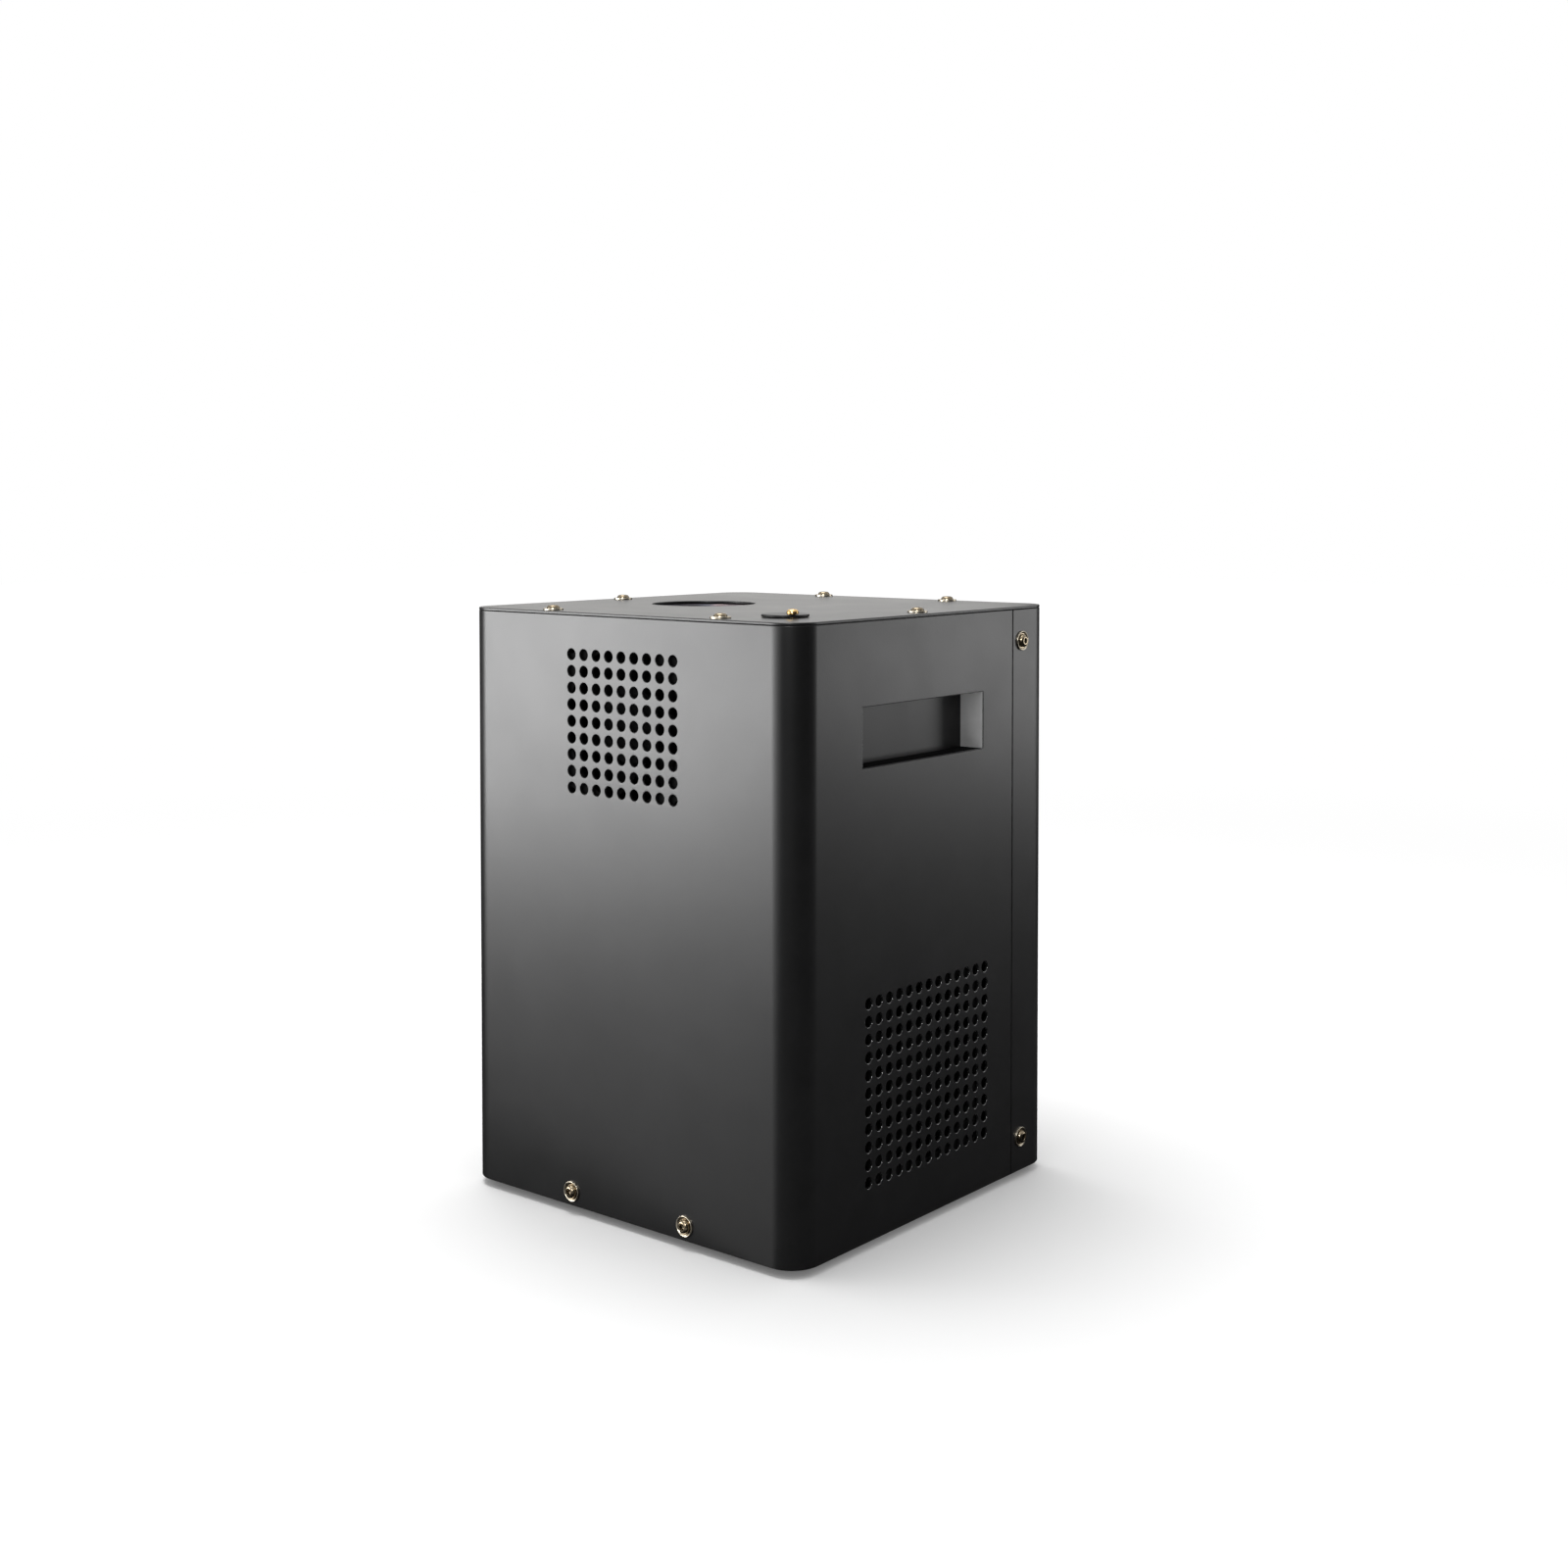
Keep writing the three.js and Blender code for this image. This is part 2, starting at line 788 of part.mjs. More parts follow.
function rearCover() {
  const lipY = innerY - CASE.lipWidth;
  const endX = halfWidth - CASE.lipEndInset;
  const wall = wallStretch(seamY + CASE.seamGap / 2, CASE.depth);
  const cover = wall.add(solid(lip(-endX, endX, lipY, innerY + FIT.weld)));
  return cut(cover, screwHoles(), ...rearOpenings());
}

function baseTray() {
  const inset = CASE.sheet + FIT.seat;
  const top = bottomZ + TRAY.flangeHeight;
  const block = solid(caseBlock(inset, bottomZ, top));
  const tray = cut(block, caseBlock(inset + CASE.sheet, trayFloorZ, top + FIT.overrun));
  const holeRadius = FOOT.stemRadius + FIT.seat;
  const stems = footPlaces().map(([, x, y]) => (
    rod(holeRadius, bottomZ - FIT.overrun, trayFloorZ + FIT.overrun, SIDES.small).translate(x, y, 0)
  ));
  return cut(tray, screwHoles(), pattern(stems));
}

function topPlate() {
  const plate = solid(caseBlock(0, plateUnderZ, CASE.height));
  const [z0, z1] = [plateUnderZ - FIT.overrun, CASE.height + FIT.overrun];
  const outlet = rod(OUTLET.radius, z0, z1, SIDES.large).translate(outletX, OUTLET.centreY, 0);
  const port = rod(FEED_COVER.portRadius, z0, z1).translate(portX, portY, 0);
  const pivot = rod(PIVOT_SCREW.shankRadius + FIT.seat, z0, z1, SIDES.small).translate(pivotX, pivotY, 0);
  return cut(plate, outlet, port, pivot, screwHoles());
}

function footPlaces() {
  const [x, y] = [halfWidth - FOOT.inset, halfDepth - FOOT.inset];
  return [
    ['foot_front_left', -x, -y],
    ['foot_front_right', x, -y],
    ['foot_rear_left', -x, y],
    ['foot_rear_right', x, y],
  ];
}

function foot() {
  const barbZ = FOOT.height + CASE.sheet + FIT.seat;
  return solid(turned([
    [0, 0],
    [FOOT.radius - FOOT.rimDrop, 0],
    [FOOT.radius, FOOT.rimDrop],
    [FOOT.radius, FOOT.height - FIT.seat],
    [FOOT.stemRadius, FOOT.height - FIT.seat],
    [FOOT.stemRadius, barbZ],
    [FOOT.barbRadius, barbZ],
    [FOOT.stemRadius / 2, barbZ + FOOT.barbHeight],
    [0, barbZ + FOOT.barbHeight],
  ], SIDES.small));
}

// A handle cup, modelled with its mouth at z = 0 and facing +Z. Its rim lies behind the wall.
function handleCup() {
  const back = -CASE.sheet - FIT.seat;
  const floor = -HANDLE.depth;
  const [x, y] = [handleLength / 2, HANDLE.height / 2];
  const [ox, oy] = [x + HANDLE.sheet, y + HANDLE.sheet];
  const [fx, fy] = [ox + HANDLE.flange, oy + HANDLE.flange];
  const outer = join(
    span(-ox, ox, -oy, oy, floor - HANDLE.sheet, back),
    span(-fx, fx, -fy, fy, back - HANDLE.sheet, back),
  );
  return cut(outer, span(-x, x, -y, y, floor, FIT.overrun));
}

function screw() {
  const shoulder = SCREW.domeRadius;
  const rise = SCREW.headHeight - SCREW.flangeThickness;
  return solid(turned([
    [0, -SCREW.shankLength],
    [SCREW.shankRadius, -SCREW.shankLength],
    [SCREW.shankRadius, 0],
    [SCREW.flangeRadius, 0],
    [SCREW.flangeRadius, SCREW.flangeThickness],
    [shoulder, SCREW.flangeThickness],
    [shoulder * Math.cos(Math.PI / 6), SCREW.flangeThickness + rise * Math.sin(Math.PI / 4)],
    [SCREW.socketRadius, SCREW.headHeight],
    [SCREW.socketRadius, SCREW.headHeight - SCREW.socketDepth],
    [0, SCREW.headHeight - SCREW.socketDepth],
  ], SIDES.screw));
}

function buildCase() {
  const shells = group();
  add(shells, 'base_tray', baseTray(), MATERIALS.powderBlack);
  add(shells, 'front_shell', frontShell(), MATERIALS.powderBlack);
  add(shells, 'rear_cover', rearCover(), MATERIALS.powderBlack);
  add(shells, 'top_plate', topPlate(), MATERIALS.powderBlack);
  const cups = group();
  for (const [side, x] of [['right', halfWidth], ['left', -halfWidth]]) {
    add(cups, `handle_cup_${side}`, handleCup(), MATERIALS.powderBlack, x, handleY, handleZ, FACES[side]);
  }
  const fixings = group();
  for (const [name, x, y] of footPlaces()) add(fixings, name, foot(), MATERIALS.rubber, x, y, 0);
  for (const [name, face, x, y, z] of screwPlaces()) {
    add(fixings, name, screw(), MATERIALS.nickel, x, y, z, FACES[face]);
  }
}

// Feed: cover, hopper, auger and its drive

function feedCover() {
  const disc = rod(FEED_COVER.radius, FIT.seat, FIT.seat + FEED_COVER.thickness, SIDES.large);
  const centre = disc.translate(FEED_COVER.offset, 0, 0);
  const holeRadius = PIVOT_SCREW.shankRadius + FIT.run;
  const hole = rod(holeRadius, -FIT.overrun, FEED_COVER.thickness + FIT.overrun, SIDES.small);
  return cut(solid(centre), hole);
}

function pivotScrew() {
  const seat = FEED_COVER.thickness + 2 * FIT.seat;
  return solid(turned([
    [0, seat - PIVOT_SCREW.shankLength],
    [PIVOT_SCREW.shankRadius, seat - PIVOT_SCREW.shankLength],
    [PIVOT_SCREW.shankRadius, seat],
    [PIVOT_SCREW.headRadius, seat],
    [PIVOT_SCREW.headRadius, seat + PIVOT_SCREW.edgeHeight],
    [PIVOT_SCREW.socketRadius, seat + PIVOT_SCREW.headHeight],
    [PIVOT_SCREW.socketRadius, seat + PIVOT_SCREW.headHeight - PIVOT_SCREW.socketDepth],
    [0, seat + PIVOT_SCREW.headHeight - PIVOT_SCREW.socketDepth],
  ], SIDES.screw));
}

// The hopper hangs under the port and slants back to the auger.
function feedHopper() {
  const topZ = plateUnderZ - FIT.seat;
  const bendZ = topZ - HOPPER.mouthDepth;
  const neckBaseZ = augerAxisZ + AUGER.tubeRadius + FIT.seat;
  const neckTopZ = neckBaseZ + HOPPER.neckHeight;
  const [mx, my] = [HOPPER.mouthX / 2, HOPPER.mouthY / 2];
  const mouth = [portX - mx, portX + mx, portY - my, portY + my];
  const [nx, ny] = [HOPPER.neckX / 2, HOPPER.neckY / 2];
  const neck = [neckX - nx, neckX + nx, augerAxisY - ny, augerAxisY + ny];
  const outer = join(
    loft(neck, neckBaseZ, neck, neckTopZ),
    loft(neck, neckTopZ, mouth, bendZ),
    loft(mouth, bendZ, mouth, topZ),
    loft(grow(mouth, HOPPER.flange), topZ - HOPPER.sheet, grow(mouth, HOPPER.flange), topZ),
  );
  const [innerMouth, innerNeck] = [grow(mouth, -HOPPER.sheet), grow(neck, -HOPPER.sheet)];
  return cut(outer,
    loft(innerNeck, neckBaseZ - FIT.overrun, innerNeck, neckTopZ),
    loft(innerNeck, neckTopZ, innerMouth, bendZ),
    loft(innerMouth, bendZ, innerMouth, topZ + FIT.overrun));
}

// The auger's pieces are modelled with their axis on z, from the heater chamber's axis outwards.
const augerTubeStart = chamberOuterRadius - CHAMBER.wall / 2 + FIT.seat;
const augerTubeEnd = bracketRightX - BRACKET.sheet - FIT.seat - outletX;
const augerShaftEnd = gearLeftX + GEAR.width + FIT.sweep - outletX;

function augerTube() {
  const tube = cut(solid(rod(AUGER.tubeRadius, augerTubeStart, augerTubeEnd)),
    rod(AUGER.boreRadius, augerTubeStart - FIT.overrun, augerTubeEnd + FIT.overrun));
  const slotCentre = neckX - outletX;
  // The tube is turned so that its local +x looks down, and the hopper feeds it from above.
  const slot = span(-AUGER.tubeRadius - FIT.overrun, 0, -HOPPER.slotHalfY, HOPPER.slotHalfY,
    slotCentre - HOPPER.slotHalfX, slotCentre + HOPPER.slotHalfX);
  return cut(tube, slot);
}

// A screw flight: a grid of points round the shaft whose radius rises and falls along a helix.
function augerFlight(z0, z1) {
  const rows = Math.round((z1 - z0) / AUGER.pitch * AUGER.stepsPerTurn);
  const outer = AUGER.boreRadius - FIT.sweep;
  const points = [0, 0, z0];
  for (let row = 0; row <= rows; row += 1) {
    for (let side = 0; side < AUGER.sides; side += 1) {
      const phase = row / AUGER.stepsPerTurn - side / AUGER.sides;
      const crest = Math.max(0, Math.cos(phase * Math.PI * 2)) ** 2;
      const radius = AUGER.coreRadius + (outer - AUGER.coreRadius) * crest;
      const angle = side / AUGER.sides * Math.PI * 2;
      points.push(radius * Math.cos(angle), radius * Math.sin(angle), z0 + (z1 - z0) * row / rows);
    }
  }
  points.push(0, 0, z1);
  const at = (row, side) => 1 + row * AUGER.sides + side % AUGER.sides;
  const last = 1 + (rows + 1) * AUGER.sides;
  const corners = [];
  for (let side = 0; side < AUGER.sides; side += 1) {
    corners.push(0, at(0, side + 1), at(0, side), last, at(rows, side), at(rows, side + 1));
    for (let row = 0; row < rows; row += 1) {
      corners.push(at(row, side), at(row, side + 1), at(row + 1, side + 1));
      corners.push(at(row, side), at(row + 1, side + 1), at(row + 1, side));
    }
  }
  const geometry = new THREE.BufferGeometry();
  geometry.setAttribute('position', new THREE.BufferAttribute(new Float32Array(points), 3));
  geometry.setIndex(corners);
  return geometry;
}

function feedAuger() {
  const start = augerTubeStart + AUGER.startGap;
  const flightEnd = augerTubeEnd - AUGER.endGap;
  return join(augerFlight(start, flightEnd), rod(AUGER.shaftRadius, flightEnd - FIT.weld, augerShaftEnd));
}

// A spur gear on z from 0 to its width, with a tooth on +x. turn is in teeth.
function gear(teeth, boreRadius, turn) {
  const pitchRadius = GEAR.module * teeth / 2;
  const tip = pitchRadius + GEAR.module;
  const root = pitchRadius - GEAR.module * GEAR.rootFactor;
  const step = Math.PI * 2 / teeth;
  const points = [];
  for (let tooth = 0; tooth < teeth; tooth += 1) {
    const middle = (tooth + turn) * step;
    const halfRoot = step * GEAR.rootToothShare / 2;
    const halfTip = step * GEAR.tipToothShare / 2;
    for (const [radius, angle] of [[root, -halfRoot], [tip, -halfTip], [tip, halfTip], [root, halfRoot]]) {
      points.push([radius * Math.cos(middle + angle), radius * Math.sin(middle + angle)]);
    }
  }
  const wheel = solid(prism(outline(points), 0, GEAR.width));
  return boreRadius > 0 ? cut(wheel, rod(boreRadius, -FIT.overrun, GEAR.width + FIT.overrun)) : wheel;
}

function motorPinion() {
  const shaftBack = -GEAR.hubGap - BRACKET.sheet - FIT.seat - FEED_MOTOR.shaftDepth + FIT.sweep;
  const shaft = rod(FEED_MOTOR.shaftRadius, shaftBack, FIT.weld, SIDES.small);
  return gear(GEAR.pinionTeeth, 0, 1 / 2).add(solid(shaft));
}

// A can motor with its gearbox, modelled with its front face at z = 0 and its body below.
function feedMotor() {
  const body = join(
    rod(FEED_MOTOR.radius, -FEED_MOTOR.collarLength, 0),
    rod(FEED_MOTOR.radius - FEED_MOTOR.collarStep, -feedMotorLength, FIT.weld - FEED_MOTOR.collarLength),
  );
  return cut(body, rod(FEED_MOTOR.shaftRadius + FIT.run, -FEED_MOTOR.shaftDepth, FIT.overrun, SIDES.small));
}

// A bent channel from the partition that carries the auger tube and the feed motor.
function feedBracket() {
  const top = bracketBaseZ + BRACKET.legHeight;
  const block = span(bracketLeftX, bracketRightX, BRACKET.frontY, BRACKET.rearY, bracketBaseZ, top);
  const between = span(
    bracketLeftX + BRACKET.sheet,
    bracketRightX - BRACKET.sheet,
    BRACKET.frontY - FIT.overrun,
    BRACKET.rearY + FIT.overrun,
    bracketBaseZ + BRACKET.sheet,
    top + FIT.overrun,
  );
  const left = bracketLeftX - FIT.overrun;
  const middle = (bracketLeftX + bracketRightX) / 2;
  const right = bracketRightX + FIT.overrun;
  const bore = (radius, x0, x1, y) => onFace(rod(radius, x0, x1), 'right', 0, y, augerAxisZ);
  return cut(solid(block),
    between,
    bore(AUGER.tubeRadius + FIT.seat, left, middle, augerAxisY),
    bore(AUGER.shaftRadius + FIT.run, middle, right, augerAxisY),
    bore(FEED_MOTOR.shaftRadius + FIT.run, middle, right, motorAxisY));
}

function buildFeed() {
  const cover = group(machine, pivotX, pivotY, CASE.height);
  add(cover, 'feed_cover', feedCover(), MATERIALS.matteBlack, 0, 0, 0, new THREE.Euler(0, 0, coverAngle));
  add(cover, 'feed_cover_screw', pivotScrew(), MATERIALS.brass);
  add(machine, 'feed_hopper', feedHopper(), MATERIALS.zincSheet);
  add(machine, 'feed_bracket', feedBracket(), MATERIALS.zincSheet);
  const line = group(machine, outletX, augerAxisY, augerAxisZ);
  const along = new THREE.Euler(0, Math.PI / 2, 0);
  add(line, 'auger_tube', augerTube(), MATERIALS.castAluminium, 0, 0, 0, along);
  add(line, 'feed_auger', feedAuger(), MATERIALS.heatSteel, 0, 0, 0, along);
  const drive = group(machine, gearLeftX, 0, augerAxisZ, 'right');
  // Here the group's own x runs along +Y, which is the line between the two gears.
  const augerGear = gear(GEAR.augerTeeth, AUGER.shaftRadius + FIT.seat, 0);
  add(drive, 'auger_gear', augerGear, MATERIALS.nylon, augerAxisY);
  add(drive, 'motor_pinion', motorPinion(), MATERIALS.brass, motorAxisY);
  const motorZ = -GEAR.hubGap - BRACKET.sheet - FIT.seat;
  add(drive, 'feed_motor', feedMotor(), MATERIALS.castAluminium, motorAxisY, 0, motorZ);
}

// Heater: nozzle, chamber, band, jacket and duct, all on the outlet's axis

// The nozzle hangs under the top plate and narrows to the chamber's bore.
function sparkNozzle() {
  const top = plateUnderZ - FIT.seat;
  const base = chamberTopZ + FIT.seat;
  const throat = base + NOZZLE.throatHeight;
  const shoulder = throat + NOZZLE.coneHeight;
  const outer = NOZZLE.boreRadius + NOZZLE.wall;
  const throatOuter = NOZZLE.throatRadius + NOZZLE.wall;
  return solid(turnedRing([
    [NOZZLE.throatRadius, base],
    [NOZZLE.footRadius, base],
    [NOZZLE.footRadius, base + NOZZLE.footThickness],
    [throatOuter, base + NOZZLE.footThickness],
    [throatOuter, throat],
    [outer, shoulder],
    [outer, top - NOZZLE.flangeThickness],
    [NOZZLE.flangeRadius, top - NOZZLE.flangeThickness],
    [NOZZLE.flangeRadius, top],
    [NOZZLE.boreRadius, top],
    [NOZZLE.boreRadius, shoulder],
    [NOZZLE.throatRadius, throat],
  ], SIDES.large));
}

function heaterChamber() {
  const top = chamberHeight;
  const inletZ = CHAMBER.inletFromBase;
  const spigotRadius = AUGER.tubeRadius + FIT.seat + CHAMBER.inletWall;
  const reach = chamberOuterRadius + CHAMBER.inletLength;
  const across = (radius, x0, x1) => onFace(rod(radius, x0, x1), 'right', 0, 0, inletZ);
  const body = join(
    rod(chamberOuterRadius, 0, top, SIDES.large),
    rod(CHAMBER.flangeRadius, 0, CHAMBER.flangeThickness, SIDES.large),
    rod(CHAMBER.flangeRadius, top - CHAMBER.flangeThickness, top, SIDES.large),
    across(spigotRadius, 0, reach),
  );
  return cut(body,
    rod(CHAMBER.innerRadius, -FIT.overrun, top + FIT.overrun, SIDES.large),
    across(AUGER.boreRadius, 0, reach),
    across(AUGER.tubeRadius + FIT.seat, augerTubeStart - FIT.seat, reach + FIT.overrun));
}

function heaterBand() {
  const inner = chamberOuterRadius + FIT.seat;
  const outer = inner + BAND.wall;
  const [z0, z1] = [-FIT.overrun, bandHeight + FIT.overrun];
  return cut(solid(rod(outer, 0, bandHeight, SIDES.large)), rod(inner, z0, z1, SIDES.large),
    span(-outer - FIT.overrun, 0, -BAND.split / 2, BAND.split / 2, z0, z1));
}

function insulationJacket() {
  const inner = chamberOuterRadius + FIT.seat + BAND.wall + FIT.sweep;
  const sleeve = solid(rod(inner + JACKET.wall, 0, jacketHeight, SIDES.large));
  return cut(sleeve, rod(inner, -FIT.overrun, jacketHeight + FIT.overrun, SIDES.large));
}

function airDuct() {
  const [x, y] = [BLOWER.throatHalfWidth, BLOWER.depth / 2];
  const outer = CHAMBER.innerRadius + DUCT.wall;
  const body = join(
    span(-x, x, -y, y, 0, DUCT.flangeThickness),
    rod(outer, 0, DUCT.height, SIDES.large),
  );
  const inner = CHAMBER.innerRadius - DUCT.wall;
  return cut(body, rod(inner, -FIT.overrun, DUCT.height + FIT.overrun, SIDES.large));
}

function buildHeater() {
  const stack = group(machine, outletX, OUTLET.centreY, 0);
  add(stack, 'spark_nozzle', sparkNozzle(), MATERIALS.heatSteel);
  add(stack, 'heater_chamber', heaterChamber(), MATERIALS.heatSteel, 0, 0, chamberBaseZ);
  const bandBaseZ = chamberBaseZ + BAND.fromBase;
  const jacketBaseZ = chamberBaseZ + JACKET.fromBase;
  add(stack, 'heater_band', heaterBand(), MATERIALS.castAluminium, 0, 0, bandBaseZ);
  add(stack, 'insulation_jacket', insulationJacket(), MATERIALS.ceramicFelt, 0, 0, jacketBaseZ);
  add(stack, 'air_duct', airDuct(), MATERIALS.castAluminium, 0, 0, ductBaseZ);
}

// Blower

const throatLeft = outletX - BLOWER.throatHalfWidth - blowerX;
const throatRight = outletX + BLOWER.throatHalfWidth - blowerX;
const mouthRise = blowerMouthZ - BLOWER.centreZ;

// The volute's outline about the wheel's axis: a spiral that opens into the upward throat.
function volute(inset, mouth) {
  const start = Math.acos((throatLeft + inset) / (BLOWER.tongueRadius - inset));
  const points = [];
  for (let step = 0; step <= BLOWER.steps; step += 1) {
    const share = step / BLOWER.steps;
    const angle = start + (Math.PI * 2 - start) * share;
    const radius = BLOWER.tongueRadius + (throatRight - BLOWER.tongueRadius) * share - inset;
    points.push([radius * Math.cos(angle), radius * Math.sin(angle)]);
  }
  points.push([throatRight - inset, mouth], [throatLeft + inset, mouth]);
  return outline(points);
}

function blowerHousing() {
  const half = BLOWER.depth / 2;
  const shell = solid(prism(volute(0, mouthRise), -half, half));
  const legTop = -BLOWER.tongueRadius + FIT.sweep - BLOWER.wall;
  const floor = trayFloorZ + FIT.seat - BLOWER.centreZ;
  const legs = [-1, 1].map((side) => {
    const x = side * BLOWER.legSpread;
    const [x0, x1] = [x - BLOWER.legWidth / 2, x + BLOWER.legWidth / 2];
    return span(x0, x1, floor, legTop + BLOWER.legHeight, -half, half);
  });
  const body = shell.add(join(...legs));
  return cut(body,
    prism(volute(BLOWER.wall, mouthRise + FIT.overrun), -half + BLOWER.wall, half - BLOWER.wall),
    rod(BLOWER.inletRadius, half - BLOWER.wall - FIT.overrun, half + FIT.overrun, SIDES.large),
    rod(BLOWER.shaftRadius + FIT.run, -half - FIT.overrun, FIT.overrun - half + BLOWER.wall, SIDES.small));
}

// The wheel: a back plate with radial blades, a hub and the shaft that goes back to the motor.
function blowerWheel() {
  const back = BLOWER.wall + FIT.sweep - BLOWER.depth / 2;
  const pieces = [
    rod(BLOWER.wheelRadius, back, back + BLOWER.plateThickness, SIDES.large),
    rod(BLOWER.hubRadius, back, back + BLOWER.wheelDepth / 2),
    rod(BLOWER.shaftRadius, -BLOWER.depth / 2 - BLOWER.shaftReach, back + FIT.weld, SIDES.small),
  ];
  for (let blade = 0; blade < BLOWER.blades; blade += 1) {
    const made = span(BLOWER.bladeInnerRadius, BLOWER.wheelRadius - FIT.weld,
      -BLOWER.bladeThickness / 2, BLOWER.bladeThickness / 2, back + FIT.weld, back + BLOWER.wheelDepth);
    pieces.push(made.rotateZ(blade / BLOWER.blades * Math.PI * 2));
  }
  return join(...pieces);
}

// The motor's front face is at z = 0, and it takes the wheel's shaft.
function blowerMotor() {
  const rear = -BLOWER_MOTOR.length;
  const body = join(
    rod(BLOWER_MOTOR.radius, rear, 0),
    rod(BLOWER_MOTOR.rimRadius, rear - BLOWER_MOTOR.rimLength, rear + FIT.weld),
  );
  const bore = BLOWER.shaftRadius + FIT.run;
  return cut(body, rod(bore, -BLOWER.shaftReach - FIT.overrun, FIT.overrun, SIDES.small));
}

function buildBlower() {
  // The group's own z runs along -Y, towards the wheel's inlet.
  const blower = group(machine, blowerX, OUTLET.centreY, BLOWER.centreZ, 'front');
  add(blower, 'blower_housing', blowerHousing(), MATERIALS.matteBlack);
  add(blower, 'blower_wheel', blowerWheel(), MATERIALS.castAluminium);
  add(blower, 'blower_motor', blowerMotor(), MATERIALS.castAluminium, 0, 0, -BLOWER.depth / 2 - FIT.seat);
}

// Cooling fans, modelled with the outer face at z = 0 and the frame below it

function fanFrame(fan) {
  const half = fan.size / 2;
  const bore = fan.size * FAN.boreRadiusShare;
  const hub = fan.size * FAN.hubRadiusShare;
  const box = cut(solid(span(-half, half, -half, half, -fan.depth, 0)),
    rod(bore, -fan.depth - FIT.overrun, FIT.overrun, SIDES.large));
  const back = -fan.depth;
  const halfStrut = FAN.strutWidth / 2;
  const struts = [];
  for (let strut = 0; strut < FAN.struts; strut += 1) {
    const made = span(0, bore + FIT.weld, -halfStrut, halfStrut, back, back + FAN.strutDepth);
    struts.push(made.rotateZ((strut + 1 / 2) / FAN.struts * Math.PI * 2));
  }
  const boss = rod(hub, back, back + FAN.strutDepth);
  const pin = rod(FAN.pinRadius, back, back + FAN.strutDepth + FAN.pinLength, SIDES.small);
  const frame = box.add(join(boss, pin, ...struts));
  const corner = half - FAN.screwInset;
  const holes = corners(corner, corner).map(([x, y]) => (
    rod(FAN.screwRadius, -fan.depth - FIT.overrun, FIT.overrun, SIDES.small).translate(x, y, 0)
  ));
  return cut(frame, pattern(holes));
}

function fanRotor(fan) {
  const hub = fan.size * FAN.hubRadiusShare;
  const reach = fan.size * FAN.boreRadiusShare - FIT.sweep;
  const base = -fan.depth + FAN.strutDepth + FIT.seat;
  const top = -FIT.sweep - FAN.strutDepth;
  const middle = (base + top) / 2;
  const chord = fan.depth * FAN.bladeDepthShare / Math.sin(THREE.MathUtils.degToRad(FAN.bladePitch));
  const pieces = [rod(hub, base, top, SIDES.large)];
  for (let blade = 0; blade < FAN.blades; blade += 1) {
    const made = span(hub - FAN.strutDepth, reach + FIT.sweep, -chord / 2, chord / 2,
      -FAN.bladeThickness / 2, FAN.bladeThickness / 2);
    made.rotateX(THREE.MathUtils.degToRad(FAN.bladePitch)).translate(0, 0, middle);
    pieces.push(made.rotateZ(blade / FAN.blades * Math.PI * 2));
  }
  const rotor = join(...pieces).intersect(solid(rod(reach, base, top, SIDES.large)));
  const boreTop = base + FAN.pinLength + FIT.seat;
  return cut(rotor, rod(FAN.pinRadius + FIT.run, base - FIT.overrun, boreTop, SIDES.small));
}

function buildFans() {
  const behind = CASE.sheet + FIT.seat;
  const front = group(machine, FRONT_VENT.centreX, behind - halfDepth, frontVentZ, 'front');
  add(front, 'front_fan_frame', fanFrame(FRONT_FAN), MATERIALS.matteBlack);
  add(front, 'front_fan_rotor', fanRotor(FRONT_FAN), MATERIALS.matteBlack);
  const side = group(machine, halfWidth - behind, SIDE_VENT.centreY, SIDE_VENT.centreZ, 'right');
  add(side, 'side_fan_frame', fanFrame(SIDE_FAN), MATERIALS.matteBlack);
  add(side, 'side_fan_rotor', fanRotor(SIDE_FAN), MATERIALS.matteBlack);
}

// Electronics inside

function partition() {
  const [left, right] = [PARTITION.x, partitionRightX];
  const y = partitionEndY;
  const floor = trayFloorZ + FIT.seat;
  const sheet = join(
    span(left, right, -y, y, floor, plateUnderZ - PARTITION.fromTop),
    span(left - PARTITION.flange, right, -y, y, floor, floor + CASE.sheet),
  );
  const hole = (radius, holeY, z) => (
    onFace(rod(radius, left - FIT.overrun, right + FIT.overrun), 'right', 0, holeY, z)
  );
  return cut(sheet,
    hole(AUGER.tubeRadius + FIT.seat, augerAxisY, augerAxisZ),
    hole(PARTITION.cableHoleRadius, cableHoleY, PARTITION.cableHoleZ));
}

function powerSupply() {
  const [x, y] = [(supplyRightX - supplyLeftX) / 2, SUPPLY.length / 2];
  const bodyEnd = y - SUPPLY.terminalDepth;
  const body = join(
    span(-x, x, -y, bodyEnd, 0, SUPPLY.height),
    span(-x, x, bodyEnd - FIT.weld, y, 0, SUPPLY.terminalHeight),
  );
  const slots = [];
  for (let slot = 0; slot < SUPPLY.slots; slot += 1) {
    const slotY = (slot - (SUPPLY.slots - 1) / 2) * SUPPLY.slotPitch - SUPPLY.terminalDepth / 2;
    slots.push(span(-x / 2, x / 2, slotY - SUPPLY.slotWidth / 2, slotY + SUPPLY.slotWidth / 2,
      SUPPLY.height - SUPPLY.slotDepth, SUPPLY.height + FIT.overrun));
  }
  return cut(body, pattern(slots));
}

